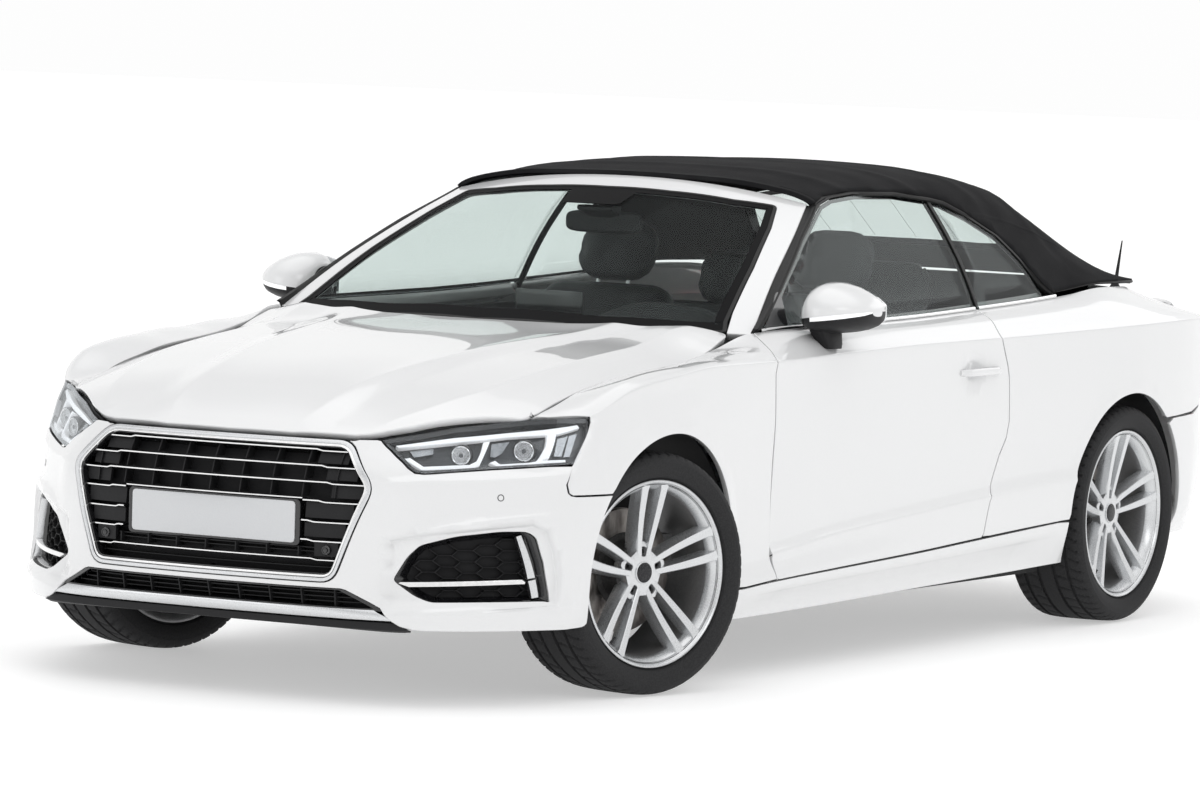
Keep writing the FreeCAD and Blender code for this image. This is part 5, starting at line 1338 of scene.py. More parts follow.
bo_half += yz_nose([(-1756, 556), (-1872, 556), (-1884, 558.5), (-1890.5, 566), (-1892, 588), (-1880, 612), (-1870, 630)], 9)
bo_half += [(6.50 * TM, 636.5)] + [(a * TM, b - 2.5) for a, b in [(5.94, 637), (4.99, 628), (4.43, 621), (4.1, 616.5), (3.93, 615), (3.77, 617.5)]]
bo_half += [(3.64 * TM, 628), (3.54 * TM, 643), (3.29 * TM, 672), (3.02 * TM, 696), (2.9 * TM, 698)]
bo_half += xz_nose([(404, 697), (393, 694)], step=6)
gh = [p for p in shrink(hexr, -1.5) if p[0] > 0]
gh = sorted([p for p in gh if p[1] < 693], key=lambda p: -p[1] if p[1] > 330 else 1000 - p[0])
bo_half += xz_nose([p for p in gh if p[1] <= 693] + [(0, 320.5)], step=10)
seen = []
for p in bo_half:
    if not seen or (abs(p[0] - seen[-1][0]) + abs(p[1] - seen[-1][1])) > 2.5:
        seen.append(p)
bo_half = seen
bump_poly = bo_half + [(-a, b) for a, b in bo_half[::-1] if a > 1.5]
fog_xz = round_corners([(527, 334), (559, 395), (587, 428), (660, 453), (744, 466), (790, 466), (807, 451), (824, 384), (836, 305), (838, 281), (826, 284), (723, 283), (619, 281), (581, 296)], 12, 6)
fog_a = xz_nose(fog_xz, closed=True, step=14)
fog_b = [(-a, b) for a, b in fog_a][::-1]
BLN = []
for sg in (1, -1):
    for zf, t0, t1, offs in ((z_crease, 3.1, 6.3, (0, -26, -52)), (z_bump, 2.95, 6.2, (0, 8, -8)), (z_lip, 2.75, 6.9, (0, 8, -8)), (lambda t: 0 * t + 232, 3.2, 6.8, (0,))):
        for o in offs:
            ts = np.arange(t0, t1, 0.13)
            BLN.append([(float(sg * t * TM), float(zf(np.array([t]))[0]) + o) for t in ts])
    sc = [(sg * a, b) for a, b in scoop_a]
    for d in (-1.0, -7.0, -13.0):
        BLN.append([(sg * (p[0]), p[1]) for p in shrink(scoop_a, -d if False else (2.0 + (-d - 1.0)) * 1.0 - 2.0)][0:11])
sensor_c = [(sg * 5.16 * TM, 554.0) for sg in (1, -1)] + [(sg * 3.02 * TM, 560.0) for sg in (1, -1)]
panel("front_bumper_skin", F_bump, bump_poly, holes=[fog_a, fog_b], mats=M["paint"], body="chassis", rep="front_bumper", slot="paint_white", thick=10, rad=2.5, step=26, bstep=10, lines=BLN)


def offs(F, pts, d):
    """Points of F moved in by d along the normal."""
    pts = np.asarray(pts, float)
    a, b = pts[:, 0], pts[:, 1]
    e = 1.5
    n = np.cross(F(a + e, b) - F(a - e, b), F(a, b + e) - F(a, b - e))
    n /= np.maximum(np.linalg.norm(n, axis=1, keepdims=True), 1e-9)
    return F(a, b) - n * d


def frame_at(F, a, b):
    e = 1.5
    P = F(np.array([a]), np.array([b]))[0]
    A = F(np.array([a + e]), np.array([b]))[0] - F(np.array([a - e]), np.array([b]))[0]
    B = F(np.array([a]), np.array([b + e]))[0] - F(np.array([a]), np.array([b - e]))[0]
    n = np.cross(A, B)
    n /= np.linalg.norm(n)
    A /= np.linalg.norm(A)
    return P, n, A, np.cross(n, A)


def disc_on(P, n, A, B, prof, seg=28):
    """Turned shape on an axis: prof is (radius, height along n)."""
    V, F = [], []
    for r, h in prof:
        for k in range(seg):
            th = 2 * math.pi * k / seg
            V.append(P + n * h + (A * math.cos(th) + B * math.sin(th)) * r)
    for i in range(len(prof) - 1):
        for k in range(seg):
            l = (k + 1) % seg
            F.append((i * seg + k, (i + 1) * seg + k, (i + 1) * seg + l, i * seg + l))
    F.append(tuple(range(seg)))
    F.append(tuple(range(len(prof) * seg - 1, (len(prof) - 1) * seg - 1, -1)))
    return V, F


def fixed(ob, deg=35):
    return sharp_by_angle(ob, deg)


parts = []
for a, b in sensor_c[:2]:
    fr = frame_at(F_bump, a, b)
    parts.append((*disc_on(*fr, [(9.3, -4), (9.3, 0.3), (8.8, 0.7), (7.6, 0.7), (7.2, 0.2), (7.2, -4)]), 0))
    parts.append((*disc_on(*fr, [(6.6, -4), (6.6, 0.5), (6.0, 1.0), (0.3, 1.2)]), 1))
V, F, FMX = join_parts(parts)
fixed(mesh_obj("parking_sensors", V, F, [M["lamp_grey"], M["paint"]], fmat=FMX, body="chassis", slot="paint_white"))

# Grille: double bright frame, seven bars, plate and dark ducts behind.
def F_n(off):
    def f(a, z):
        P = F_nose(np.atleast_1d(np.asarray(a, float)) / TM, z)
        P[:, 1] += off
        return P
    return f


r1o, r1i, r2o, r2i = shrink(hexr, 1.0), shrink(hexr, 11.5), shrink(hexr, 12.2), shrink(hexr, 19.5)
panel("grille_frame_outer", F_n(-1.0), xz_nose(r1o, True, 12), holes=[xz_nose(r1i, True, 12)], mats=M["satin"], body="chassis", rep="grille", slot="rim_silver", thick=16, rad=3.2, step=300, bstep=14)
panel("grille_frame_inner", F_n(4.0), xz_nose(r2o, True, 12), holes=[xz_nose(r2i, True, 12)], mats=M["chrome"], body="chassis", rep="grille", slot="rim_silver", thick=40, rad=2.2, step=300, bstep=14)
r3i = shrink(hexr, 23.0)
panel("grille_surround", F_n(10.0), xz_nose(shrink(hexr, 19.2), True, 12), holes=[xz_nose(r3i, True, 12)], mats=M["black_gloss"], body="chassis", rep="grille", slot="black_gloss", thick=40, rad=2.0, step=300, bstep=14)
r4 = shrink(hexr, 21)
panel("grille_back", F_n(58.0), xz_nose(r4, True, 20), mats=M["dark_in"], body="chassis", rep="grille", slot="black_trim", thick=4, rad=1.0, step=60, bstep=20)


def hex_x(z, inset):
    """Half width of the grille opening at a height."""
    p = np.array(shrink(hexr, inset))
    best = 0.0
    for i in range(len(p)):
        a, b = p[i], p[(i + 1) % len(p)]
        if (a[1] - z) * (b[1] - z) <= 0 and a[1] != b[1]:
            x = a[0] + (b[0] - a[0]) * (z - a[1]) / (b[1] - a[1])
            best = max(best, x)
    return best


NX, NZ = np.arange(-600.0, 601.0, 6.0), np.arange(200.0, 725.0, 6.0)
_nx, _nz = np.meshgrid(NX, NZ, indexing="ij")
_nt = t_of_x(_nx.ravel(), _nz.ravel())
NOSE_Y = F_nose(_nt, _nz.ravel())[:, 1].reshape(_nx.shape)


def nose_y(x, z):
    """Front of the nose at a width and height, from a table."""
    u = min(max((x - NX[0]) / 6.0, 0), len(NX) - 1.001)
    v = min(max((z - NZ[0]) / 6.0, 0), len(NZ) - 1.001)
    i, j = int(u), int(v)
    u, v = u - i, v - j
    return float(NOSE_Y[i, j] * (1 - u) * (1 - v) + NOSE_Y[i + 1, j] * u * (1 - v) + NOSE_Y[i, j + 1] * (1 - u) * v + NOSE_Y[i + 1, j + 1] * u * v)


def bar(z, x0, x1, xk, front=12.0, high=7.0, depth=24.0):
    """One bar along the nose with a chromed front; outer ends lower and set back."""
    xs_ = np.concatenate([np.arange(x0, x1, 14.0), [x1]])
    xs_ = np.sort(np.concatenate([xs_, [s for s in (-xk, -xk + 16, xk, xk - 16) if x0 < s < x1]]))
    prof = [(0.2, -0.5, 0), (0.0, 0.25, 0), (0.25, 0.5, 0), (1.0, 0.5, 1), (1.0, -0.5, 1), (0.28, -0.5, 1)]
    rows = []
    for x in xs_:
        k = float(ss(np.array([(abs(x) - (xk - 16)) / 16.0]))[0])
        zz = z - 4.0 * k
        h = high * (1 - 0.1 * k)
        y0 = nose_y(x, zz) + front + 5.0 * k
        row = []
        for d, u, _ in [(0.22, -0.5, 0), (0.0, -0.15, 0), (0.0, 0.32, 0), (0.12, 0.5, 0), (1.0, 0.5, 0), (1.0, -0.5, 0)]:
            row.append((x, y0 + d * depth, zz + u * h * (1.0 if d < 0.9 else 0.6)))
        rows.append(row)
    P = np.array(rows)
    V, F = grid_mesh(P, closed_v=True)
    m = P.shape[1]
    F.append(tuple(range(m)))
    F.append(tuple(range(len(V) - 1, len(V) - 1 - m, -1)))
    n = len(xs_) - 1
    fm = []
    for i in range(n):
        for j in range(m):
            fm.append(0 if j in (0, 1, 2) else 1)
    fm += [1, 1]
    return V, F, fm


V, F, FMX = [], [], []


def add_to(item):
    n0 = len(V)
    V.extend([tuple(p) for p in item[0]])
    F.extend([tuple(n0 + i for i in q) for q in item[1]])
    FMX.extend(item[2] if hasattr(item[2], "__len__") else [item[2]] * len(item[1]))


for z in (666, 625, 582.5):
    X = hex_x(z, 19)
    add_to(bar(z, -X, X, X * 0.80))
X = hex_x(536, 19)
for s0, s1 in ((-X, -283), (283, X)):
    add_to(bar(534, s0, s1, 345))
add_to(bar(539, -281, 281, 9999, high=6.0))
for z in (481.5, 431):
    X = hex_x(z, 19)
    add_to(bar(z, -X, -284, 318))
    add_to(bar(z, 284, X, 318))
X = hex_x(382, 19)
add_to(bar(382, -X, X, 330, high=6.0))
g = mesh_obj("grille_bars", V, F, [M["chrome"], M["black_gloss"]], fmat=FMX, body="chassis", rep="grille", slot="rim_silver")
fixed(g, 30)

# Dark blocks beside the plate, ribs and thin vanes.
V, F, FMX = [], [], []


def slab_nose(x0, x1, z0, z1, front, depth, mi=0, top=None):
    """Block following the nose between two heights."""
    n = max(2, int((x1 - x0) / 30) + 1)
    rows = []
    for x in np.linspace(x0, x1, n):
        row = []
        for z, d in ((z0, 0), (z1, 0), (z1, depth), (z0, depth)):
            row.append((x, nose_y(x, z) + front + d, z))
        rows.append(row)
    P = np.array(rows)
    v, f = grid_mesh(P, closed_v=True, flip=True)
    f.append((3, 2, 1, 0))
    k = (n - 1) * 4
    f.append((k, k + 1, k + 2, k + 3))
    return v, f, mi


bars_z = [666, 625, 582.5, 536, 481.5, 431, 382]
for sg in (1, -1):
    for z0, z1 in ((586, 621), (540, 578), (486, 531), (436, 477), (628, 662)):
        xo = min(hex_x(z0, 21), hex_x(z1, 21)) - 2
        xi = 287 if z1 < 540 else xo - 88
        a, b = (xi, xo) if sg > 0 else (-xo, -xi)
        add_to(slab_nose(a, b, z0 + 2, z1 - 2, 26 if z1 < 540 else 30, 12))
    for z0, z1 in ((388, 425),):
        xo = min(hex_x(z0, 21), hex_x(z1, 21)) - 2
        a, b = (318, xo) if sg > 0 else (-xo, -318)
        add_to(slab_nose(a, b, z0, z1, 24, 14))
for x in (-395, -300, -205, -110, -15, 80, 175, 270, 365):
    for z0, z1 in ((329, 378), (386, 412), (543, 578), (587, 621), (630, 662), (670, 686)):
        if abs(x) < min(hex_x(z0, 22), hex_x(z1, 22)) - 4:
            add_to(slab_nose(x, x + 3.5, z0, z1, 24, 34))
for z in (344, 358, 398, 408):
    X = hex_x(z, 24)
    lim = X if z < 380 else 312
    add_to(slab_nose(-lim, lim, z, z + 2.5, 34, 20))
g = mesh_obj("grille_ducts", V, F, [M["black"]], smooth=False, body="chassis", rep="grille", slot="black_trim")
V, F, FMX = [], [], []
for sg in (1, -1):
    x, z = sg * 353, 405
    t = t_of_x([x], [z])
    P = F_nose(t, [z])[0] + np.array([0, 24.0, 0])
    add_to((*disc_on(P, np.array([0, -1.0, 0]), np.array([1.0, 0, 0]), np.array([0, 0, -1.0]), [(13, -3), (13, 5), (11.5, 7), (9, 7), (8.6, 5.5), (7, 5.5), (6.4, 8.4), (0.4, 9.2)]), 0))
fixed(mesh_obj("grille_sensors", V, F, [M["black_gloss"]], body="chassis", slot="black_gloss"), 30)

# Number plate with its holder.
def plate_flat(x0, x1, z0, z1, y, rad):
    p = round_corners([(x0, z0), (x1, z0), (x1, z1), (x0, z1)], rad, 2)
    return p


def flat_panel(name, poly, y, mats, thick, rad, lift=0.0, body="chassis", rep=None, slot=None, sgn=-1, holes=()):
    def f(a, b):
        a = np.atleast_1d(np.asarray(a, float))
        return np.stack([a * (-sgn), np.full(len(a), float(y)), np.atleast_1d(np.asarray(b, float))], 1)
    return panel(name, f, poly, holes=holes, mats=mats, body=body, rep=rep, slot=slot, thick=thick, rad=rad, step=400, bstep=30)


flat_panel("front_plate_holder", plate_flat(-274, 274, 411, 535, 0, 16), -2296.0, M["black_gloss"], 22, 3.0, rep="grille", slot="black_gloss")
flat_panel("front_plate", plate_flat(-260, 260, 419, 529, 0, 12), -2299.5, M["plate"], 5, 1.6, rep="number_plates", slot="plate_blank")

# Lower intake with bright blade and black lip.
IN = [(-404, 307), (404, 307), (418, 303.5), (504, 261), (512, 252), (-512, 252), (-504, 261), (-418, 303.5)]
panel("intake_back", F_n(46.0), xz_nose([(-500, 250), (500, 250), (430, 312), (-430, 312)], True, 24), mats=M["dark_in"], body="chassis", rep="lower_intakes", slot="black_trim", thick=4, rad=1, step=60, bstep=20)
panel("intake_surround", F_n(3.0), xz_nose(IN, True, 14), holes=[xz_nose([(-398, 303), (-488, 259), (488, 259), (398, 303)], True, 14)], mats=M["black_gloss"], body="chassis", rep="lower_intakes", slot="black_gloss", thick=42, rad=1.6, step=400, bstep=14)
V, F, FMX = [], [], []
for x in np.arange(-475, 480, 95.0):
    zt = 305 if abs(x) < 405 else 305 - (abs(x) - 405) * 0.45
    add_to(slab_nose(x, x + 3.5, 256, zt, 14, 32))
for z in (270, 282, 294):
    X = 400 + (305 - z) * 1.9
    add_to(slab_nose(-X, X, z, z + 2.5, 22, 22))
mesh_obj("intake_ribs", V, F, [M["black"]], smooth=False, body="chassis", rep="lower_intakes", slot="black_trim")


def F_blade(a, z):
    P = F_n(0.0)(a, z)
    k = np.clip((z - 226) / 32.0, 0, 1)
    P[:, 1] -= 7.5 * np.sin(np.pi * k) ** 0.8 - 2.0
    P[:, 1] = np.maximum(P[:, 1], -2337)
    return P


blade = [(-2.78, 250), (-2.7, 257)] + [(t, 257.5) for t in np.arange(-2.6, 2.61, 0.2)] + [(2.7, 257), (2.78, 250), (3.02, 233), (3.06, 227)] + [(t, 226.5) for t in np.arange(2.9, -2.91, -0.2)] + [(-3.06, 227), (-3.02, 233)]
panel("intake_blade", F_blade, [(a * TM, b) for a, b in blade], mats=M["satin"], body="chassis", slot="rim_silver", thick=16, rad=3.0, step=9, bstep=14)


def F_lip(a, z):
    P = F_n(0.0)(a, np.maximum(z, 205.0))
    P[:, 2] = z
    k = np.clip((226 - z) / 20.0, 0, 1)
    P[:, 1] += 5.0 - 7.0 * k
    P[:, 1] = np.maximum(P[:, 1], -2337)
    return P


lip = [(t, 225.5) for t in np.arange(-3.0, 3.01, 0.2)] + [(3.25, 214), (3.42, 206)] + [(t, 205.0) for t in np.arange(3.3, -3.31, -0.2)] + [(-3.42, 206), (-3.25, 214)]
panel("front_lip", F_lip, [(a * TM, b) for a, b in lip], mats=M["black"], body="chassis", slot="black_trim", thick=14, rad=3.0, step=9, bstep=14)
ut = []
for t in np.arange(-6.0, 6.01, 0.4):
    P = F_nose([t], [207.0])[0]
    ut.append((P[0] * 0.985, P[1] + 14))
ut = [(a, b) for a, b in ut if b < -1860]
ut = ut + [(ut[-1][0] * 0.8, -1840), (ut[0][0] * 0.8, -1840)]


def F_under(a, b):
    a = np.atleast_1d(np.asarray(a, float))
    b = np.atleast_1d(np.asarray(b, float))
    return np.stack([-a, b, 207.0 + 2.0 * np.cos(b / 22.0) * (np.abs(a) < 480) + 10.0 * np.clip((b + 2100) / 260, 0, 1)], 1)


panel("front_undertray", F_under, [(-a, b) for a, b in ut], mats=M["under"], body="chassis", slot="black_trim", thick=5, rad=1.5, step=40, bstep=24)

# Outer inlets: black funnel, honeycomb, fin and blade.
def fog_insert(sg, nm):
    V0, F0, M0 = [], [], []

    def addp(v, f, mi):
        n0 = len(V0)
        V0.extend([tuple(p) for p in v])
        F0.extend([tuple(n0 + i for i in q) for q in f])
        M0.extend([mi] * len(f))
    outer = np.array(resample(fog_a, 12))
    cx, cz = 4.55 * TM, 372.0
    inner_lim = np.array([(3.35 * TM, 333), (3.7 * TM, 402), (4.1 * TM, 430), (5.25 * TM, 450), (5.55 * TM, 446), (5.92 * TM, 300), (5.8 * TM, 291), (3.9 * TM, 291), (3.5 * TM, 310)])
    # funnel
    rings = []
    P0, n0, _, _ = frame_at(F_bump, cx, cz)

    def inward(p, k, d):
        p = np.atleast_2d(p)
        return offs(base_nose, np.array([cx, cz]) + (p - np.array([cx, cz])) * k, d)
    for k, d in ((1.0, 19.0), (0.99, 15.5), (0.975, 17.0), (0.90, 34.0), (0.84, 46.0)):
        rings.append(inward(outer, k, d))
    P = np.array(rings)
    v, f = grid_mesh(P, closed_v=True)
    addp(v, f, 0)
    back = inward(outer, 1.0, 24.0)
    back2 = inward(outer, 0.9, 52.0)
    Pb = np.array([rings[0], back, back2])
    v, f = grid_mesh(Pb, closed_v=True, flip=True)
    addp(v, f, 0)
    # honeycomb ribs on the floor
    W, H = 62.0, 30.0
    lim = np.array([(np.array([cx, cz]) + (p - np.array([cx, cz])) * 0.86) for p in outer])
    segs = set()
    for i in range(-8, 9):
        for j in range(-8, 9):
            hx = cx + i * W * 0.74
            hz = cz + j * H + (H / 2 if i % 2 else 0)
            c = [(hx - W * 0.5, hz), (hx - W * 0.25, hz + H / 2), (hx + W * 0.25, hz + H / 2), (hx + W * 0.5, hz), (hx + W * 0.25, hz - H / 2), (hx - W * 0.25, hz - H / 2)]
            for q in range(6):
                a, b = c[q], c[(q + 1) % 6]
                key = tuple(sorted([(round(a[0]), round(a[1])), (round(b[0]), round(b[1]))]))
                segs.add(key)
    for a, b in sorted(segs):
        m = np.array([[(a[0] + b[0]) / 2, (a[1] + b[1]) / 2], a, b], float)
        if not inpoly(m, lim).all():
            continue
        A3 = list(offs(base_nose, [a, b], 0.0))
        nn = A3[0] - offs(base_nose, [a], 1.0)[0]
        d = A3[1] - A3[0]
        d /= np.linalg.norm(d)
        s = np.cross(nn, d)
        s /= np.linalg.norm(s)
        v = []
        for p in A3:
            for w, h in ((-1.3, 50), (1.3, 50), (1.3, 37), (0.6, 35.5), (-0.6, 35.5), (-1.3, 37)):
                v.append(p + s * w - nn * h)
        f = [(k, (k + 1) % 6, 6 + (k + 1) % 6, 6 + k) for k in range(6)] + [(5, 4, 3, 2, 1, 0), (6, 7, 8, 9, 10, 11)]
        addp(v, f, 1)
    # floor
    fl = inward(outer, 0.86, 48.0)
    c0 = inward(np.array([cx, cz]), 1.0, 48.0)[0]
    v = list(fl) + [c0]
    n = len(fl)
    f = [(i, (i + 1) % n, n) for i in range(n)]
    addp(v, f, 2)
    v = [p - n0 * 3.0 for p in list(fl) + [c0]]
    addp(v, [(b, a, c) for a, b, c in f], 2)

    # fin and blade, as prisms following the surface
    def strip(poly, d0, d1, mi, round_=1.5):
        pl = np.array(resample([(a * TM, b) for a, b in poly], 12))
        if area2(pl) < 0:
            pl = pl[::-1]
        top = []
        vo, _ = vertex_out(pl)
        ins_ = pl - vo * round_
        rowsA = []
        for P_, d in ((pl, d1), (pl, d0 + round_), (pl - vo * round_ * 0.3, d0 + round_ * 0.3), (ins_, d0)):
            rowsA.append(offs(base_nose, P_, d))
        P = np.array(rowsA)
        v, f = grid_mesh(P, closed_v=True)
        addp(v, f, mi)
        n_ = len(pl)
        r = delaunay_2d_cdt([Vector(q) for q in ins_], [(i, (i + 1) % n_) for i in range(n_)], [], 1, 1e-5)
        T = [t for t in r[2] if len(t) == 3]
        rq = np.array([(q[0], q[1]) for q in r[0]])
        pv = offs(base_nose, rq, d0)
        addp(pv, T, mi)
        pv2 = offs(base_nose, rq, d1)
        addp(pv2, [(a, c, b) for a, b, c in T], mi)
    strip([(5.41, 453), (5.50, 457), (5.60, 415), (5.755, 345), (5.60, 341), (5.50, 400)], 8, 26, 3)
    strip([(5.61, 336), (5.765, 340), (5.87, 293), (5.72, 290)], 8, 26, 3)
    strip([(3.16, 327), (3.20, 330.5), (5.49, 340.5), (5.56, 333), (5.55, 328), (3.35, 318.5)], 8, 26, 4)
    V1 = np.array(V0)
    if sg < 0:
        V1 = V1 * np.array([-1, 1, 1])
        F0[:] = [q[::-1] for q in F0]
    ob = mesh_obj(nm, V1, F0, [M["black_gloss"], M["black"], M["dark_in"], M["satin"], M["chrome"]], fmat=M0, body="chassis", rep="lower_intakes", slot="black_gloss")
    return fixed(ob, 32)


fog_insert(1, "inlet_left")
fog_insert(-1, "inlet_right")


# ---------------------------------------------------------------- headlights
def F_lamp(off):
    def f(a, z):
        P = F_nose(np.atleast_1d(np.asarray(a, float)) / TM, np.atleast_1d(np.asarray(z, float)))
        if off == 0:
            return P
        e = 1.0
        t = np.atleast_1d(np.asarray(a, float)) / TM
        Pa = F_nose(t + e / TM, z) - F_nose(t - e / TM, z)
        Pz = F_nose(t, np.asarray(z) + e) - F_nose(t, np.asarray(z) - e)
        N = np.cross(Pa, Pz)
        N /= np.maximum(np.linalg.norm(N, axis=1, keepdims=True), 1e-9)
        return P - N * off
    return f


def lamp_set(sg):
    nm = "left" if sg > 0 else "right"
    lr = round_corners(lamp_a, 9, 5)
    obs = []

    def put(name, r, mats, slot, fmat=None):
        V1, FC, NN = r[-1] if sg < 0 else (None, None, None)
        return V1, FC, NN

    def pn(name, F, poly, mats, slot, holes=(), **kw):
        if sg > 0:
            o = panel(name, F, poly, holes=holes, mats=mats, body="chassis", rep="headlights", slot=slot, **kw)[0]
        else:
            r = panel(name, F, poly, holes=holes, mats=mats, make=False, mirror=True, **kw)
            V1, FC, NN = r[0]
            o = mesh_obj(name, V1, FC, mats, NN, body="chassis", rep="headlights", slot=slot)
        obs.append(o)
        return o
    inner = shrink(lr, 9.0)
    top_in = [(a, b - (5.0 if b > 690 else 0.0)) for a, b in inner]
    pn("headlight_lens_" + nm, F_lamp(1.0), shrink(lr, 2.0), M["lens"], "lamp_lens", thick=3, rad=1.0, step=30, bstep=12)
    pn("headlight_border_" + nm, F_lamp(5.0), shrink(lr, 1.5), M["black_gloss"], "black_gloss", holes=[top_in], thick=26, rad=1.0, step=300, bstep=10)
    pn("headlight_housing_" + nm, F_lamp(34.0), shrink(lr, 4.0), M["lamp_grey"], "black_trim", thick=4, rad=1.0, step=24, bstep=12)

    def guide(name, poly, d, h, mats=M["light_guide"], rad=1.8):
        return pn(name, F_lamp(d), [(a * TM, b) for a, b in poly], mats, "lamp_lens", thick=h, rad=rad, step=14, bstep=9)
    guide("light_guide_top_" + nm, [(3.36, 689), (4.29, 711), (5.14, 724.5), (5.79, 733), (6.62, 746), (6.66, 738), (6.12, 722), (5.82, 719), (5.15, 713), (4.31, 698), (3.42, 683.5)], 9, 18)
    guide("light_guide_out_" + nm, [(5.86, 720), (6.06, 722), (5.95, 660), (5.84, 658), (5.80, 650), (5.66, 645), (5.74, 657), (5.84, 690)], 9, 18)
    guide("light_guide_bottom_out_" + nm, [(4.94, 648), (5.03, 654), (5.13, 644.5), (5.6, 649), (5.78, 654.5), (6.31, 656.5), (6.33, 648.5), (5.8, 642.5), (5.1, 636)], 9, 18)
    guide("light_guide_in_" + nm, [(4.77, 700), (4.88, 703), (4.83, 662), (4.80, 640), (4.70, 632), (3.89, 627.5), (3.53, 657), (3.66, 660), (3.92, 637.5), (4.64, 643), (4.73, 652), (4.76, 675)], 9, 18)
    # facets and two projector units
    V2, F2, M2 = [], [], []

    def addp(v, f, mi):
        n0 = len(V2)
        V2.extend([tuple(p) for p in v])
        F2.extend([tuple(n0 + i for i in q) for q in f])
        M2.extend([mi] * len(f))
    for (tc, zc, R) in ((5.51, 685, 25.5), (4.49, 676, 24.0)):
        P, n, A, B = frame_at(F_lamp(0), tc * TM, zc)
        ax = np.array([0.36, -0.93, 0.03])
        ax /= np.linalg.norm(ax)
        A = np.cross(ax, np.array([0, 0, 1.0]))
        A /= np.linalg.norm(A)
        B = np.cross(ax, A)
        P = P - n * 30.0
        addp(*disc_on(P, ax, A, B, [(R + 5, -8), (R + 5, 12), (R + 4, 14), (R + 1.5, 14), (R, 12.5), (R - 1, 2), (R - 6, 0)], 40), 0)
        addp(*disc_on(P, ax, A, B, [(R + 1.4, 13.4), (R + 1.6, 16), (R - 0.3, 17.2), (R - 2.2, 16), (R - 2.2, 13.4)], 40), 1)
        lens_prof = [(R - 3.2, 0.5)] + [((R - 3.2) * math.cos(th), 0.5 + 13.5 * math.sin(th)) for th in np.linspace(0.15, 1.5, 9)]
        addp(*disc_on(P, ax, A, B, lens_prof, 40), 2)
    # small bright fins beside the projectors
    for (poly, d, h) in (([(4.92, 700), (5.22, 706), (5.12, 676), (5.02, 666), (4.94, 668)], 22, 10), ([(3.62, 683), (4.0, 690), (4.02, 676), (3.72, 668)], 24, 8), ([(6.10, 712), (6.34, 720), (6.22, 668), (6.06, 668)], 20, 8),
                         ([(6.38, 722), (6.60, 728), (6.42, 668), (6.28, 668)], 24, 8)):
        pl = np.array([(a * TM, b) for a, b in poly])
        if area2(pl) < 0:
            pl = pl[::-1]
        f_ = F_lamp(d)
        g_ = F_lamp(d + h)
        top = [f_([q[0]], [q[1]])[0] for q in pl]
        bot = [g_([q[0]], [q[1]])[0] for q in pl]
        n_ = len(pl)
        addp(top + bot, [tuple(range(n_)), tuple(range(2 * n_ - 1, n_ - 1, -1))] + [(i, n_ + i, n_ + (i + 1) % n_, (i + 1) % n_) for i in range(n_)], 3)
    V2 = np.array(V2)
    if sg < 0:
        V2 = V2 * np.array([-1, 1, 1])
        F2 = [q[::-1] for q in F2]
    o = mesh_obj("headlight_units_" + nm, V2, F2, [M["black_gloss"], M["chrome"], M["lamp_glass"], M["satin_dark"]], fmat=M2, body="chassis", rep="headlights", slot="lamp_lens")
    fixed(o, 30)


M["lamp_glass"] = simple("projector_lens", (0.05, 0.052, 0.055), (0.10, 0.105, 0.11), (0.03, 0.06), scale=12, bump=0.0, coat=1.0)
M["satin_dark"] = simple("lamp_reflector", (0.30, 0.31, 0.32), (0.42, 0.43, 0.44), (0.18, 0.28), metal=1.0, scale=60, bump=0.02)
lamp_set(1)
lamp_set(-1)

# Dark strip under the front edge of the bonnet, over the grille and lamps.
def under_edge():
    pts = [(0, -2243), (200, -2237), (387, -2214), (440, -2198), (514, -2139), (594, -2056), (680, -1968), (728, -1905)]
    pts = sub(pts, 24)
    rows = []
    full = [(-a, b) for a, b in pts[::-1]] + pts[1:]
    for a, b in full:
        z = float(F_bonnet(np.array([a]), np.array([b + 14.0]))[0, 2])
        k = 1 - 0.012
        zt = min(z - 27, 690 + (z - 690) * 0.5 if abs(a) < 380 else z - 27)
        rows.append([(a * 0.985, b + 7, zt), (a * 0.985, b + 7, zt - 12), (a * 0.93, b + 60, zt - 14), (a * 0.93, b + 60, zt - 2)])
    P = np.array(rows)
    v, f = grid_mesh(P, closed_v=True, flip=True)
    m = len(rows)
    f.append((3, 2, 1, 0))
    f.append(((m - 1) * 4, (m - 1) * 4 + 1, (m - 1) * 4 + 2, (m - 1) * 4 + 3))
    return fixed(mesh_obj("bonnet_front_seal", v, f, [M["black"]], body="chassis", slot="black_trim"), 35)


under_edge()


# ---------------------------------------------------------------- wheels
M["rim_dark"] = simple("rim_barrel", (0.26, 0.26, 0.265), (0.34, 0.34, 0.345), (0.35, 0.5), metal=0.8, scale=300, bump=0.05)
M["disc_hat"] = simple("disc_hat", (0.05, 0.05, 0.05), (0.09, 0.088, 0.085), (0.5, 0.65), metal=0.6, scale=200, bump=0.2)
M["bolt"] = simple("dark_bolt", (0.02, 0.02, 0.022), (0.04, 0.04, 0.042), (0.2, 0.32), metal=0.7, scale=200, bump=0.03)
WHEELS = {"front_left": ((790.6, -1471.0, 330.0), -15.7), "front_right": ((-790.6, -1429.0, 330.0), 164.3),
          "rear_left": ((784.0, 1315.0, 330.0), 0.0), "rear_right": ((-784.0, 1315.0, 330.0), 180.0)}


def turned(prof, n, closed=True):
    """Ring turned about the local X axis from (x, r) points."""
    V = []
    for k in range(n):
        a = 2 * math.pi * k / n
        for x, r in prof:
            V.append((x, r * math.sin(a), r * math.cos(a)))
    return grid_mesh(np.array(V).reshape(n, len(prof), 3), closed_u=True, closed_v=closed)


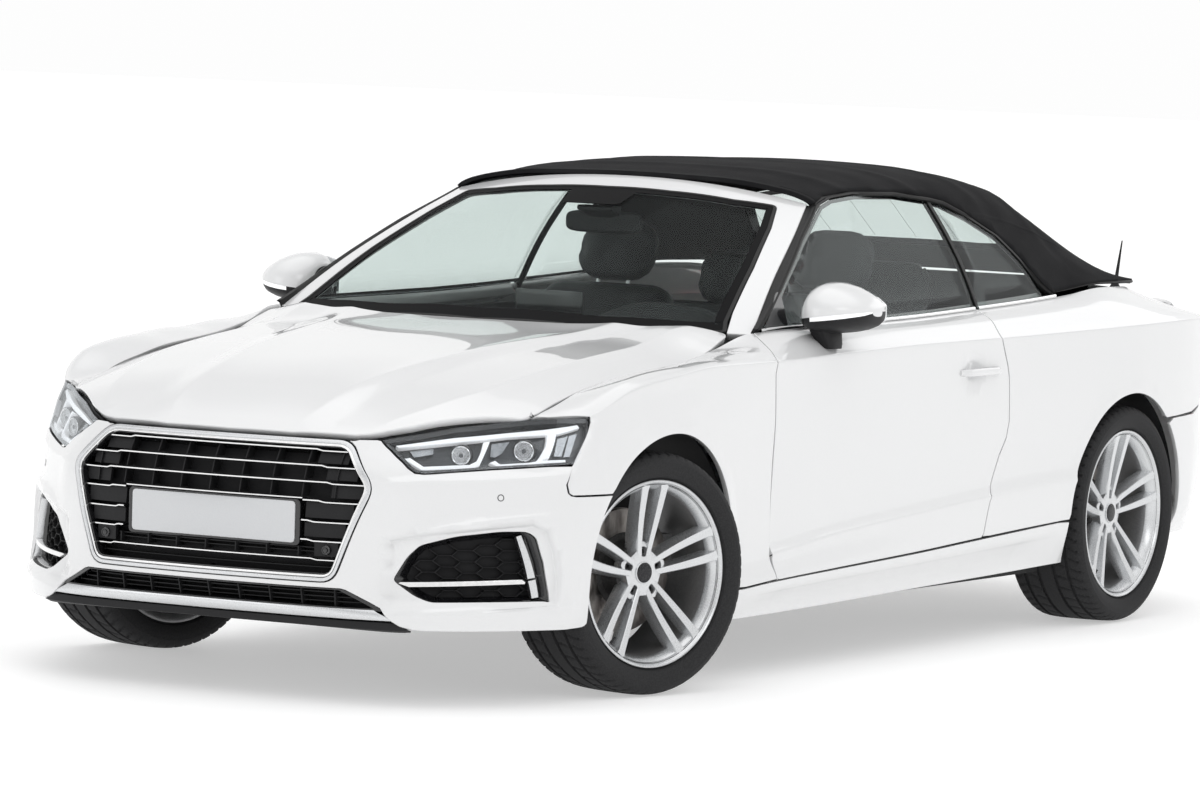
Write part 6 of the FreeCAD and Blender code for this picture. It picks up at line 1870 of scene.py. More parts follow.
def tyre_mesh():
    n = 360
    side = [(99, 238.6), (105, 241), (106.2, 249), (106.6, 257), (111, 259.5), (116.5, 262), (119.5, 267), (123.5, 276), (126.4, 286), (127.3, 294), (126.6, 301), (126.9, 302.2), (125.6, 306),
            (123.0, 312), (119.5, 317.2), (116, 320.4), (111, 323.4), (104, 325.8), (96, 327.3), (86, 328.3), (80, 328.7)]
    tread = [(78.4, 322.5), (74, 321.5), (69.8, 322.5), (68, 329.3), (56, 329.6), (44, 329.8), (33, 329.9), (31.2, 323), (27, 322), (22.8, 323), (21, 330), (10, 330), (0, 330)]
    prof = side + tread
    prof = prof + [(-a, r) for a, r in prof[::-1][1:]]
    prof += [(-90, 238.4), (0, 238.2), (90, 238.4)]
    P = np.zeros((n, len(prof), 3))
    for k in range(n):
        a = 2 * math.pi * k / n
        for i, (x, r) in enumerate(prof):
            if r > 300:
                ax = abs(x)
                if ax >= 81 and r > 316:
                    ph = (k + int(round(ax / 9.0))) % 6
                    if ph == 0:
                        r = r - (6.0 if ax < 112 else 3.6)
                elif 33 <= ax <= 68 and r > 328:
                    if (k * 2 + int(round(x / 6.0))) % 16 in (0, 1) and ax < 60:
                        r = r - 5.0
            P[k, i] = (x, r * math.sin(a), r * math.cos(a))
    return grid_mesh(P, closed_u=True, closed_v=True)


def rim_parts():
    parts = []
    prof = [(113.2, 252.2), (111.5, 254), (107.6, 253.8), (106.2, 250), (105.0, 241), (99, 237.8), (0, 237.4), (-99, 237.8), (-105, 241), (-106.2, 250), (-108, 253.8), (-113.4, 253.5),
            (-114, 250), (-112, 244), (-106, 232), (-96, 226), (-40, 222)]
    inner = [(40, 222), (62, 222.5), (76, 224.5), (86, 228), (94, 233), (100, 238), (104.5, 242.5), (109, 245.2), (112.4, 247.6), (113.6, 250)]
    v, f = turned(prof + inner, 144)
    m = len(prof) + len(inner)
    fm = []
    for i in range(144):
        for j in range(m):
            fm.append(1 if 6 <= j <= len(prof) + 1 else 0)
    parts.append((v, f, fm))
    # arms
    for k in range(5):
        th = math.radians(72 * k)
        er = np.array([0, math.sin(th), math.cos(th)])
        et = np.array([0, math.cos(th), -math.sin(th)])
        ex = np.array([1.0, 0, 0])
        for sg in (1, -1):
            rows = []
            S = [0, 0.06, 0.13, 0.22, 0.32, 0.43, 0.55, 0.67, 0.78, 0.86, 0.92, 0.96, 0.985, 1.0]
            for s in S:
                rad = 46 + 193.5 * s
                offt = sg * (15.5 + 20.5 * s + 5.0 * math.sin(math.pi * s) * 0.6)
                face = 67.0 + 38.5 * s ** 1.25
                w = 15.5 + 9.0 * s
                fl = max(0.0, (s - 0.9) / 0.1)
                w += 7.0 * fl ** 2
                dep = 44 - 10 * s
                c = er * rad + et * offt + ex * face
                row = []
                inn = -sg  # side facing the other arm of the pair
                sec = [(-w / 2 + 1.6, 0), (w / 2 - 1.6, 0), (w / 2, 1.4), (w / 2 + 1.4, 7), (w / 2 + 4.5, 17), (w / 2 + 7.5, 0.72 * dep), (w / 2 + 8.0, dep),
                       (-w / 2 - 8.0, dep), (-w / 2 - 7.5, 0.72 * dep), (-w / 2 - 4.5, 17), (-w / 2 - 1.4, 7), (-w / 2, 1.4)]
                for a, d in sec:
                    kk = 1.0
                    if abs(a) > w / 2 and (a > 0) == (inn > 0):
                        a = math.copysign(w / 2 + (abs(a) - w / 2) * (0.55 + 0.25 * s), a)
                    row.append(c + et * a - ex * d)
                rows.append(row)
            P = np.array(rows)
            v, f = grid_mesh(P, closed_v=True)
            m = P.shape[1]
            f.append(tuple(range(m)))
            f.append(tuple(range(len(v) - 1, len(v) - 1 - m, -1)))
            parts.append((v, f, 0))
    # centre with bolt bores
    poly = []
    for i in range(120):
        a = 2 * math.pi * i / 120
        d = (math.degrees(a) + 36) % 72 - 36
        r = 63.0 + 22.0 * math.exp(-(d / 15.0) ** 2)
        poly.append((r * math.sin(a), r * math.cos(a)))

    def F_hub(a, b):
        a = np.atleast_1d(np.asarray(a, float))
        b = np.atleast_1d(np.asarray(b, float))
        r = np.hypot(a, b)
        return np.stack([67.5 - 5.0 * np.clip((r - 30) / 55.0, 0, 1) ** 2 - 1.5 * np.exp(-((r - 33) / 3.0) ** 2), a, b], 1)
    holes = []
    for k in range(5):
        th = math.radians(72 * k)
        c = (57 * math.sin(th), 57 * math.cos(th))
        holes.append([(c[0] + 13.5 * math.cos(t), c[1] + 13.5 * math.sin(t)) for t in np.linspace(0, 2 * math.pi, 25)[:-1]])
    r = panel("hub_face", F_hub, poly, holes=holes, make=False, mirror=True, thick=34, rad=2.2, step=9, bstep=4)
    Vh, Fh, Nh = r[0]
    Vh = Vh * np.array([-1, 1, 1])
    parts.append((Vh, [q[::-1] for q in Fh], 0))
    # bolts, bore floors, cap
    for k in range(5):
        th = math.radians(72 * k)
        c = np.array([36.0, 57 * math.sin(th), 57 * math.cos(th)])
        ex, A, B = np.array([1.0, 0, 0]), np.array([0, 1.0, 0]), np.array([0, 0, 1.0])
        parts.append((*disc_on(c, ex, A, B, [(13.2, -2), (13.2, 3), (11.5, 4), (0.3, 4)], 24), 2))
        parts.append((*disc_on(c, ex, A, B, [(8.6, 3), (8.6, 19), (7.8, 21.5), (4.8, 22.5), (4.4, 18), (0.3, 18)], 6 * 3), 2))
    parts.append((*disc_on(np.array([60.0, 0, 0]), np.array([1.0, 0, 0]), np.array([0, 1.0, 0]), np.array([0, 0, 1.0]), [(30.5, 0), (30.5, 8.6), (29.6, 9.6), (28.2, 9.6)], 48), 0))
    parts.append((*disc_on(np.array([60.0, 0, 0]), np.array([1.0, 0, 0]), np.array([0, 1.0, 0]), np.array([0, 0, 1.0]), [(28.0, 0), (28.0, 9.0), (26.8, 10.6), (22, 11.6), (12, 12.4), (0.3, 12.6)], 48), 2))
    # hub carrier, disc with vanes, valve
    v, f = turned([(36, 20), (36, 60), (34, 72), (6, 76), (-4, 80), (-12, 84), (-14, 100), (-12.6, 101), (-12, 103), (-12, 166), (-13, 168), (-19, 168), (-19.5, 160), (-30.5, 160), (-31, 168), (-37, 168),
                   (-38, 166), (-38, 100), (-30, 90), (-30, 20)], 96)
    m = 20
    fm = []
    for i in range(96):
        for j in range(m):
            fm.append(3 if 8 <= j <= 16 else 4)
    parts.append((v, f, fm))
    th = math.radians(180 + 36)
    d = np.array([0, math.sin(th), math.cos(th)])
    v, f = tube([d * 226 + np.array([84, 0, 0]), d * 214 + np.array([88, 0, 0]), d * 205 + np.array([90, 0, 0])], [4.4, 3.6, 3.2], 10)
    parts.append((v, f, 2))
    V, F, FM = [], [], []
    for v, f, mi in parts:
        n0 = len(V)
        V += [tuple(p) for p in v]
        F += [tuple(n0 + i for i in q) for q in f]
        FM += list(mi) if hasattr(mi, "__len__") else [mi] * len(f)
    return np.array(V), F, FM


TY_V, TY_F = tyre_mesh()
RM_V, RM_F, RM_M = rim_parts()
for wn, (cen, rot) in WHEELS.items():
    a = math.radians(rot)
    R = np.array([[math.cos(a), -math.sin(a), 0], [math.sin(a), math.cos(a), 0], [0, 0, 1]])
    o = mesh_obj("tread_" + wn, TY_V @ R.T + np.array(cen), TY_F, [M["tyre"]], body="wheel_" + wn, rep="tyre_" + wn, slot="tyre_rubber")
    fixed(o, 30)
    o = mesh_obj("alloy_" + wn, RM_V @ R.T + np.array(cen), RM_F, [M["rim"], M["rim_dark"], M["bolt"], M["steel"], M["disc_hat"]], fmat=RM_M, body="wheel_" + wn, rep="wheel_" + wn, slot="rim_silver")
    fixed(o, 34)


# ---------------------------------------------------------------- windscreen and its frame
UA, VB = 700.0, 860.0


def F_wsd(off=0.0):
    def f(a, b):
        a = np.atleast_1d(np.asarray(a, float))
        b = np.atleast_1d(np.asarray(b, float))
        P = F_ws(a / UA, b / VB)
        if off:
            e = 1.0
            N = np.cross(F_ws((a + e) / UA, b / VB) - F_ws((a - e) / UA, b / VB), F_ws(a / UA, (b + e) / VB) - F_ws(a / UA, (b - e) / VB))
            N /= np.maximum(np.linalg.norm(N, axis=1, keepdims=True), 1e-9)
            P = P + N * off
        return P
    return f


_gu, _gv = np.meshgrid(np.linspace(-1, 1, 121), np.linspace(0, 1, 121), indexing="ij")
_gp = F_ws(_gu.ravel(), _gv.ravel())


def ws_inv(pts):
    """(x, y) points to the windscreen's (a, b)."""
    out = []
    for x, y in pts:
        k = int(np.argmin((_gp[:, 0] - x) ** 2 + (_gp[:, 1] - y) ** 2))
        u, v = float(_gu.ravel()[k]), float(_gv.ravel()[k])
        for _ in range(6):
            p = F_ws([u], [v])[0]
            pu = (F_ws([u + 1e-3], [v])[0] - p) / 1e-3
            pv = (F_ws([u], [v + 1e-3])[0] - p) / 1e-3
            J = np.array([[pu[0], pv[0]], [pu[1], pv[1]]])
            try:
                d = np.linalg.solve(J, np.array([x - p[0], y - p[1]]))
            except np.linalg.LinAlgError:
                break
            u, v = float(np.clip(u + d[0], -1, 1)), float(np.clip(v + d[1], 0, 1))
        out.append((u * UA, v * VB))
    return out


WSG = [(0, -1010), (350, -985), (600, -905), (722, -842), (700, -800), (640, -560), (575, -350), (524, -226), (400, -262), (200, -284), (0, -290)]
right_half = ws_inv(sub(WSG, 40))
wsg = [p for p in right_half] + [(-a, b) for a, b in right_half[::-1] if a > 2]
wsg = round_corners(wsg, 26, 14)
up_r = [p for p in wsg if p[0] > 0]
# white pillars and header
k0 = min(range(len(wsg)), key=lambda i: (wsg[i][0] - 722) ** 2 * 0 + (wsg[i][1] - 60) ** 2 + (wsg[i][0] - 700) ** 2)
inner = [p for p in wsg if p[1] > 90 or abs(p[0]) > 640]
inner_r = sorted([p for p in wsg if p[0] >= 0 and (p[1] > 120)], key=lambda p: math.atan2(p[1] - 430, p[0]))
inner_line = inner_r + [(-a, b) for a, b in inner_r[::-1] if a > 2]
lowr = max(wsg, key=lambda p: p[0] - p[1] * 0.4)
frame_poly = [(UA, 2.0), (UA, VB)] + [(a, VB) for a in np.arange(UA - 60, -UA, -60.0)] + [(-UA, VB), (-UA, 2.0), (-lowr[0] - 3, 2.0)] + [(-a, b) for a, b in inner_r if b < 430][0:0]
il = [p for p in inner_line if True]
frame_poly = frame_poly + [(-lowr[0] - 1.0, lowr[1])] + il[::-1] + [(lowr[0] + 1.0, lowr[1]), (lowr[0] + 3, 2.0)]
fp = []
for p in frame_poly:
    if not fp or abs(p[0] - fp[-1][0]) + abs(p[1] - fp[-1][1]) > 2.5:
        fp.append(p)
panel("windscreen_frame_skin", F_wsd(0.0), fp, mats=M["paint"], body="chassis", rep="windscreen_frame", slot="paint_white", thick=22, rad=3.0, step=30, bstep=12)
ring0 = shrink(wsg, 1.0)
ring1 = shrink(wsg, 12.0)
panel("windscreen_seal", F_wsd(1.5), ring0, holes=[ring1], mats=M["seal"], body="chassis", rep="windscreen_frame", slot="black_trim", thick=16, rad=2.5, step=400, bstep=14)
panel("windscreen_glass", F_wsd(-1.0), shrink(wsg, 11.0), mats=M["glass_ws"], body="chassis", rep="windscreen", slot="tint_glass", thick=5, rad=1.5, step=60, bstep=20)


def inset_xy(poly, top, bottom, side):
    """The outline's points, returned unchanged."""
    out = []
    lo, hi = min(p[1] for p in poly), max(p[1] for p in poly)
    for a, b in poly:
        kb = (b - lo) / (hi - lo)
        out.append((a, b))
    return out


fr_in = round_corners([(640, 70), (628, 200), (596, 480), (565, 700), (549, 776), (400, 776), (130, 781), (118, 700), (-118, 700), (-130, 781), (-400, 776), (-549, 776), (-565, 700), (-596, 480),
                       (-628, 200), (-640, 70), (-300, 44), (0, 38), (300, 44)], 40, 20)
# distance from a centre to the outline along a ray
fr = []
wl = np.array(shrink(wsg, 10))


def edge_out(th, poly, c):
    best = None
    d = np.array([math.cos(th), math.sin(th)])
    for i in range(len(poly)):
        a, b = poly[i] - c, poly[(i + 1) % len(poly)] - c
        den = d[0] * (b - a)[1] - d[1] * (b - a)[0]
        if abs(den) < 1e-9:
            continue
        t = (a[0] * (b - a)[1] - a[1] * (b - a)[0]) / den
        s = (a[0] * d[1] - a[1] * d[0]) / den
        if t > 0 and -1e-6 <= s <= 1 + 1e-6:
            best = t if best is None else max(best, t)
    return best or 100.0


fr_outline = shrink(wsg, 10.5)
fi = []
for p in resample(shrink(wsg, 34), 16):
    a, b = p
    b2 = b
    if b < 200 and abs(a) < 640:
        b2 = b + 26 * float(ss(np.array([(200 - b) / 120.0]))[0])
    fi.append((a, b2))
blk = [(p[0], p[1]) for p in fi]
out_blk = []
for a, b in blk:
    if b > 600 and abs(a) < 125:
        out_blk.append((a, b - 88 * float(ss(np.array([(125 - abs(a)) / 22.0]))[0])))
    else:
        out_blk.append((a, b))
panel("windscreen_frit", F_wsd(-0.4), fr_outline, holes=[out_blk], mats=M["frit"], body="chassis", rep="windscreen", slot="black_gloss", thick=1.2, rad=0.4, step=400, bstep=14)

# ---------------------------------------------------------------- soft top
QR = 150.0


def gh_r_of_z(y, z):
    lo, hi = np.zeros(len(np.atleast_1d(y))) + 1.2, np.full(len(np.atleast_1d(y)), 6.0)
    y, z = np.atleast_1d(np.asarray(y, float)), np.atleast_1d(np.asarray(z, float))
    for _ in range(26):
        m = 0.5 * (lo + hi)
        q = F_gh(y, m)[:, 2] > z
        lo = np.where(q, m, lo)
        hi = np.where(q, hi, m)
    return 0.5 * (lo + hi)


def gh_r_of_x(y, x):
    y, x = np.atleast_1d(np.asarray(y, float)), np.atleast_1d(np.asarray(x, float))
    lo, hi = np.zeros(len(y)), np.full(len(y), 6.0)
    for _ in range(26):
        m = 0.5 * (lo + hi)
        q = F_gh(y, m)[:, 0] < np.abs(x)
        lo = np.where(q, m, lo)
        hi = np.where(q, hi, m)
    return np.sign(x) * 0.5 * (lo + hi)


BOWS = [55, 430, 800, 1120]


def F_top(off=0.0, relief=True):
    def f(y, q):
        y = np.atleast_1d(np.asarray(y, float))
        r = np.atleast_1d(np.asarray(q, float)) / QR
        P = F_gh(y, r)
        e = 0.02
        N = np.cross(F_gh(y + 1.5, r) - F_gh(y - 1.5, r), F_gh(y, r + e) - F_gh(y, r - e))
        N *= np.where(N[:, 2:3] + N[:, 0:1] * np.sign(r + 1e-9)[:, None] < 0, -1.0, 1.0)
        N /= np.maximum(np.linalg.norm(N, axis=1, keepdims=True), 1e-9)
        o = np.full(len(y), off)
        if relief:
            g = np.zeros(len(y)) - 3.2
            for b in BOWS:
                g += 4.4 * np.exp(-((y - b) / 38.0) ** 2)
            g *= ss((5.4 - np.abs(r)) / 1.6) * ss((y + 200) / 90.0) * ss((1240 - y) / 90.0)
            o = o + g
            ww = np.exp(-((np.abs(r) - 3.62) / 0.035) ** 2) * ss((y + 190) / 20.0) * ss((1640 - y) / 40.0)
            o = o + 1.6 * ww
            wk = np.sin((y - 900) / 46.0 + np.abs(r) * 3.1) * np.exp(-((y - 1180) / 210.0) ** 2) * np.exp(-((np.abs(r) - 4.6) / 0.7) ** 2)
            o = o + 1.4 * wk
        return P + N * o[:, None]
    return f


side_o = [(-150, 1284), (-60, 1306), (100, 1318), (330, 1314), (530, 1294), (600, 1283), (705, 1246), (830, 1183), (905, 1110), (960, 1034), (998, 1004)]
so = sub(side_o, 18)
so_r = gh_r_of_z([p[0] for p in so], [p[1] for p in so])
edge_line = [(float(p[0]), float(r) * QR) for p, r in zip(so, so_r)]
hx = np.linspace(0, 1, 22)
r_front = edge_line[0][1] / QR
front = []
for s in np.linspace(0, 1, 24):
    r = r_front * s
    y = -185.0
    for _ in range(8):
        x = float(F_gh([y], [r])[0, 0])
        y = -186.0 + 50 * (abs(x) / 585.0) ** 2.2
    front.append((y, r * QR))
RC = [(1500, 5.88), (1545, 5.86), (1580, 5.78), (1608, 5.6), (1626, 5.3), (1637, 4.9), (1643, 4.4), (1646, 3.8)]
half_top = [p for p in front] + edge_line[1:] + [(1002, 5.90 * QR)] + [(y, 5.90 * QR) for y in np.arange(1020, 1490, 20.0)] + [(y, q * QR) for y, q in RC] + [(1646, q * QR) for q in np.arange(3.5, 0.01, -0.25)] + [(1646, 0)]
top_poly = half_top + [(a, -b) for a, b in half_top[::-1] if b > 1.0]
RWIN = [(0, 1236), (300, 1240), (440, 1262), (500, 1440), (470, 1480), (300, 1500), (0, 1506)]
rw = sub(RWIN, 30)
rr_ = gh_r_of_x([p[1] for p in rw], [p[0] for p in rw])
rwh = [(float(p[1]), float(r) * QR) for p, r in zip(rw, rr_)]
rw_poly = rwh + [(a, -b) for a, b in rwh[::-1] if b > 1.0]
rw_poly = round_corners(rw_poly, 34, 12)
TL = []
for sg in (1, -1):
    for d in (-0.07, -0.035, 0, 0.035, 0.07):
        TL.append([(y, sg * (3.62 + d) * QR) for y in np.arange(-170, 1236, 26.0)])
for b in BOWS:
    for d in (-40, -20, 0, 20, 40):
        TL.append([(b + d, q * QR) for q in np.arange(-3.3, 3.31, 0.3)])
cloth = panel("soft_top_cloth", F_top(0.0), top_poly, holes=[rw_poly], mats=M["cloth"], body="chassis", rep="soft_top", slot="soft_top_cloth", thick=6.0, rad=2.2, step=30, bstep=13, lines=TL, flip=1.0)[0]
panel("headliner", F_top(-9.0, False), shrink(top_poly, 5.0), holes=[shrink(rw_poly, -6.0)], mats=M["headliner"] if "headliner" in M else M["dark_in"], body="chassis", slot="soft_top_cloth", thick=3.5, rad=1.0, step=60, bstep=22)
panel("rear_window_glass", F_top(-3.0, False), shrink(rw_poly, 3.0), mats=M["glass_rear"], body="chassis", rep="rear_window", slot="tint_glass", thick=4, rad=1.2, step=50, bstep=16)
panel("rear_window_frit", F_top(-7.6, False), shrink(rw_poly, 2.0), holes=[shrink(rw_poly, 26.0)], mats=M["black_gloss"], body="chassis", rep="rear_window", slot="black_gloss", thick=1.2, rad=0.4, step=400, bstep=16)
panel("rear_window_welt", F_top(1.2, False), shrink(rw_poly, -7.0), holes=[shrink(rw_poly, 5.0)], mats=M["seal"], body="chassis", slot="black_trim", thick=6, rad=2.0, step=400, bstep=16)
pts = []
V, F, FMX = [], [], []
for q in np.linspace(-2.6, 2.6, 12):
    L = [(y, q * QR) for y in np.arange(1275, 1478, 12.0)]
    P = F_top(-8.4, False)(np.array([p[0] for p in L]), np.array([p[1] for p in L]))
    add_to((*tube(P, 0.5, 5), 0))
mesh_obj("rear_window_heater", V, F, [M["disc_hat"]], body="chassis", rep="rear_window", slot="tint_glass")

# Rear-edge welt of the cloth and the rails over the side windows.
V, F, FMX = [], [], []
RL = [(y, 5.88) for y in np.arange(1004, 1490, 20.0)] + RC
RL = [(y, q * QR - 2.0) for y, q in RL]
L = RL + [(1645.0, q * QR) for q in np.arange(3.5, -3.51, -0.25)] + [(y, -q) for y, q in RL[::-1]]
P = F_top(-2.0, False)(np.array([p[0] for p in L]), np.array([p[1] for p in L]))
add_to((*tube(P, 4.5, 10), 0))
for sg in (1, -1):
    L = [(p[0], sg * p[1]) for p in edge_line]
    P = F_top(-4.0, False)(np.array([p[0] for p in L]), np.array([p[1] for p in L]))
    P[:, 2] -= 3.0
    add_to((*tube(P, 7.5, 12, squash=(1.0, 1.0)), 0))
ob = mesh_obj("soft_top_rails", V, F, [M["seal"]], body="chassis", rep="soft_top", slot="black_trim")


lo_, hi_ = [], []
for s in np.linspace(0, 1, 24):
    r = r_front * s
    for tgt, out_ in ((-214.5, lo_), (-188.5, hi_)):
        y = tgt
        for _ in range(8):
            x = float(F_gh([y], [r])[0, 0])
            y = tgt + 50 * (abs(x) / 585.0) ** 2.2
        out_.append((y, r * QR))
hs = lo_ + hi_[::-1]
hs = [(y, -q) for y, q in lo_[::-1] if q > 1] + lo_ + hi_[::-1] + [(y, -q) for y, q in hi_ if q > 1]
hs = hs if area2(hs) > 0 else hs[::-1]
panel("header_seal", F_top(-1.0, False), hs, mats=M["cloth"], body="chassis", rep="windscreen_frame", slot="soft_top_cloth", thick=12, rad=2.0, step=60, bstep=16)
BSO = [(-812, 958), (-700, 1012), (-530, 1104), (-350, 1197), (-200, 1262), (-150, 1286)]
for sg, sd in ((1, "left"), (-1, "right")):
    rows = []
    for v in np.linspace(0.0, 1.0, 44):
        A = F_ws([1.0], [v])[0]
        yb = float(np.clip(A[1] + 4, -812, -150))
        zb_ = float(np.interp(yb, [p[0] for p in BSO], [p[1] for p in BSO]))
        B = F_glass(np.array([yb]), np.array([zb_]))[0] + np.array([2.0, 0, 0])
        rows.append([A + np.array([-6.0, 0, -3.0]), A + np.array([-1.0, 2.0, -5.0]), B, B + np.array([-14.0, 0, 2.0]), A + np.array([-22.0, 4.0, -22.0])])
    P = np.array(rows)
    P[:, :, 0] *= sg
    v_, f_ = grid_mesh(P, closed_v=True)
    f_.append(tuple(range(5)))
    f_.append(tuple(range(len(v_) - 1, len(v_) - 6, -1)))
    o = mesh_obj("pillar_seal_" + sd, v_, f_, [M["seal"]], body="chassis", rep="windscreen_frame", slot="black_trim")
    b_ = bmesh.new()
    b_.from_mesh(o.data)
    bmesh.ops.recalc_face_normals(b_, faces=b_.faces)
    b_.to_mesh(o.data)
    b_.free()
    sharp_by_angle(o, 50)


# ---------------------------------------------------------------- side glass
def F_gl(off=0.0):
    def f(y, z):
        P = F_glass(y, z)
        P[:, 0] += off
        return P
    return f


def belt(y):
    return float(pchip_rows(SIDE_Y, np.array(SIDE_Z[7], float), np.array([float(y)]))[0])


DG = [(-784, belt(-784) + 3), (-530, 1093), (-350, 1185), (-172, 1262), (-120, 1283), (-40, 1299), (100, 1308), (330, 1304), (512, 1286)] + [(y, belt(y) + 3) for y in (503, 250, 0, -250, -500, -700)]
QG = [(524, 1285), (580, 1277), (695, 1236), (816, 1176), (890, 1105), (945, 1030), (975, 1000)] + [(y, belt(y) + 3) for y in (970, 800, 650, 515)]
dgr = round_corners(DG, 14, 12)
qgr = round_corners(QG, 10, 12)


def pane(name, poly, bodies, reps, off, mats, thick, holes=(), slot="tint_glass", step=70):
    return pair(name, F_gl(off), poly, bodies[0], bodies[1], reps[0], reps[1], mats, slot=slot, thick=thick, rad=min(1.2, thick * 0.3), step=step, bstep=16, holes=holes)


pane("door_glass_pane", shrink(dgr, 1.0), ("door_left", "door_right"), ("door_glass_left", "door_glass_right"), 0.0, M["glass"], 4.6)
pane("door_glass_edge", shrink(dgr, 2.0), ("door_left", "door_right"), ("door_glass_left", "door_glass_right"), -5.2, M["black_gloss"], 1.0, holes=[shrink(dgr, 12.0)], slot="black_gloss", step=400)
pane("quarter_glass_pane", shrink(qgr, 1.0), ("chassis", "chassis"), ("quarter_windows", "quarter_windows"), 0.0, M["glass"], 4.6)
pane("quarter_glass_edge", shrink(qgr, 2.0), ("chassis", "chassis"), ("quarter_windows", "quarter_windows"), -5.2, M["black_gloss"], 1.0, holes=[shrink(qgr, 14.0)], slot="black_gloss", step=400)
# black sail in the front corner, post behind the door pane
sail = [(-776, belt(-776) + 4), (-700, 1004), (-640, 1052), (-622, 1058), (-610, 1048), (-634, belt(-634) + 4)]
pane("mirror_sail", round_corners(sail, 8, 6), ("door_left", "door_right"), ("door_glass_left", "door_glass_right"), 2.6, M["black_gloss"], 3.0, slot="black_gloss")
post = [(516, 1290), (534, 1288), (532, 1200), (520, 960), (505, 962), (512, 1200)]
pane("quarter_post", post, ("chassis", "chassis"), ("quarter_windows", "quarter_windows"), 5.0, M["seal"], 12.0, slot="black_trim")
# seal between the frame, cloth and the panes
seal_out = [(-812, 958), (-700, 1012), (-530, 1104), (-350, 1197), (-200, 1262), (-150, 1286), (-60, 1305), (100, 1316), (330, 1312), (530, 1292), (600, 1281), (705, 1244), (830, 1181), (904, 1109), (958, 1033), (992, 1004)]
seal_in = [(-786, 960), (-700, 1004), (-533, 1096), (-353, 1188), (-176, 1266), (-122, 1286.5), (-41, 1302.5), (100, 1311.5), (330, 1307.5), (512, 1289.5), (524, 1287.5), (581, 1279.5), (697, 1238.5), (818, 1178.5), (893, 1106), (948, 1031), (978, 1003)]
pane("window_seal", seal_out + seal_in[::-1], ("chassis", "chassis"), ("windscreen_frame", "windscreen_frame"), 4.0, M["seal"], 12.0, slot="black_trim", step=300)


# Bright strip along the belt.
def belt_strip(y0, y1, bodies, name):
    for sg, bd in ((1, bodies[0]), (-1, bodies[1])):
        ys = np.arange(y0, y1 + 1, 14.0)
        rows = []
        for y in ys:
            P = F_flank([y], [7 * RS - 1])[0]
            zb, x = P[2], P[0]
            sec = [(x - 2, zb - 1.0), (x + 4.5, zb - 0.6), (x + 7.5, zb + 1.5), (x + 7.0, zb + 7.5), (x + 3.0, zb + 10.5), (x - 1.0, zb + 10.0)]
            rows.append([(sg * a, y, b) for a, b in sec])
        P = np.array(rows)
        v, f = grid_mesh(P, closed_v=True, flip=(sg > 0))
        m = 6
        f.append(tuple(range(m)))
        f.append(tuple(range(len(v) - 1, len(v) - 1 - m, -1)))
        o = mesh_obj(name + ("_left" if sg > 0 else "_right"), v, f, [M["chrome"]], body=bd, slot="rim_silver")
        sharp_by_angle(o, 50)


belt_strip(-786, 478, ("door_left", "door_right"), "belt_strip_door")
belt_strip(496, 1006, ("chassis", "chassis"), "belt_strip_rear")


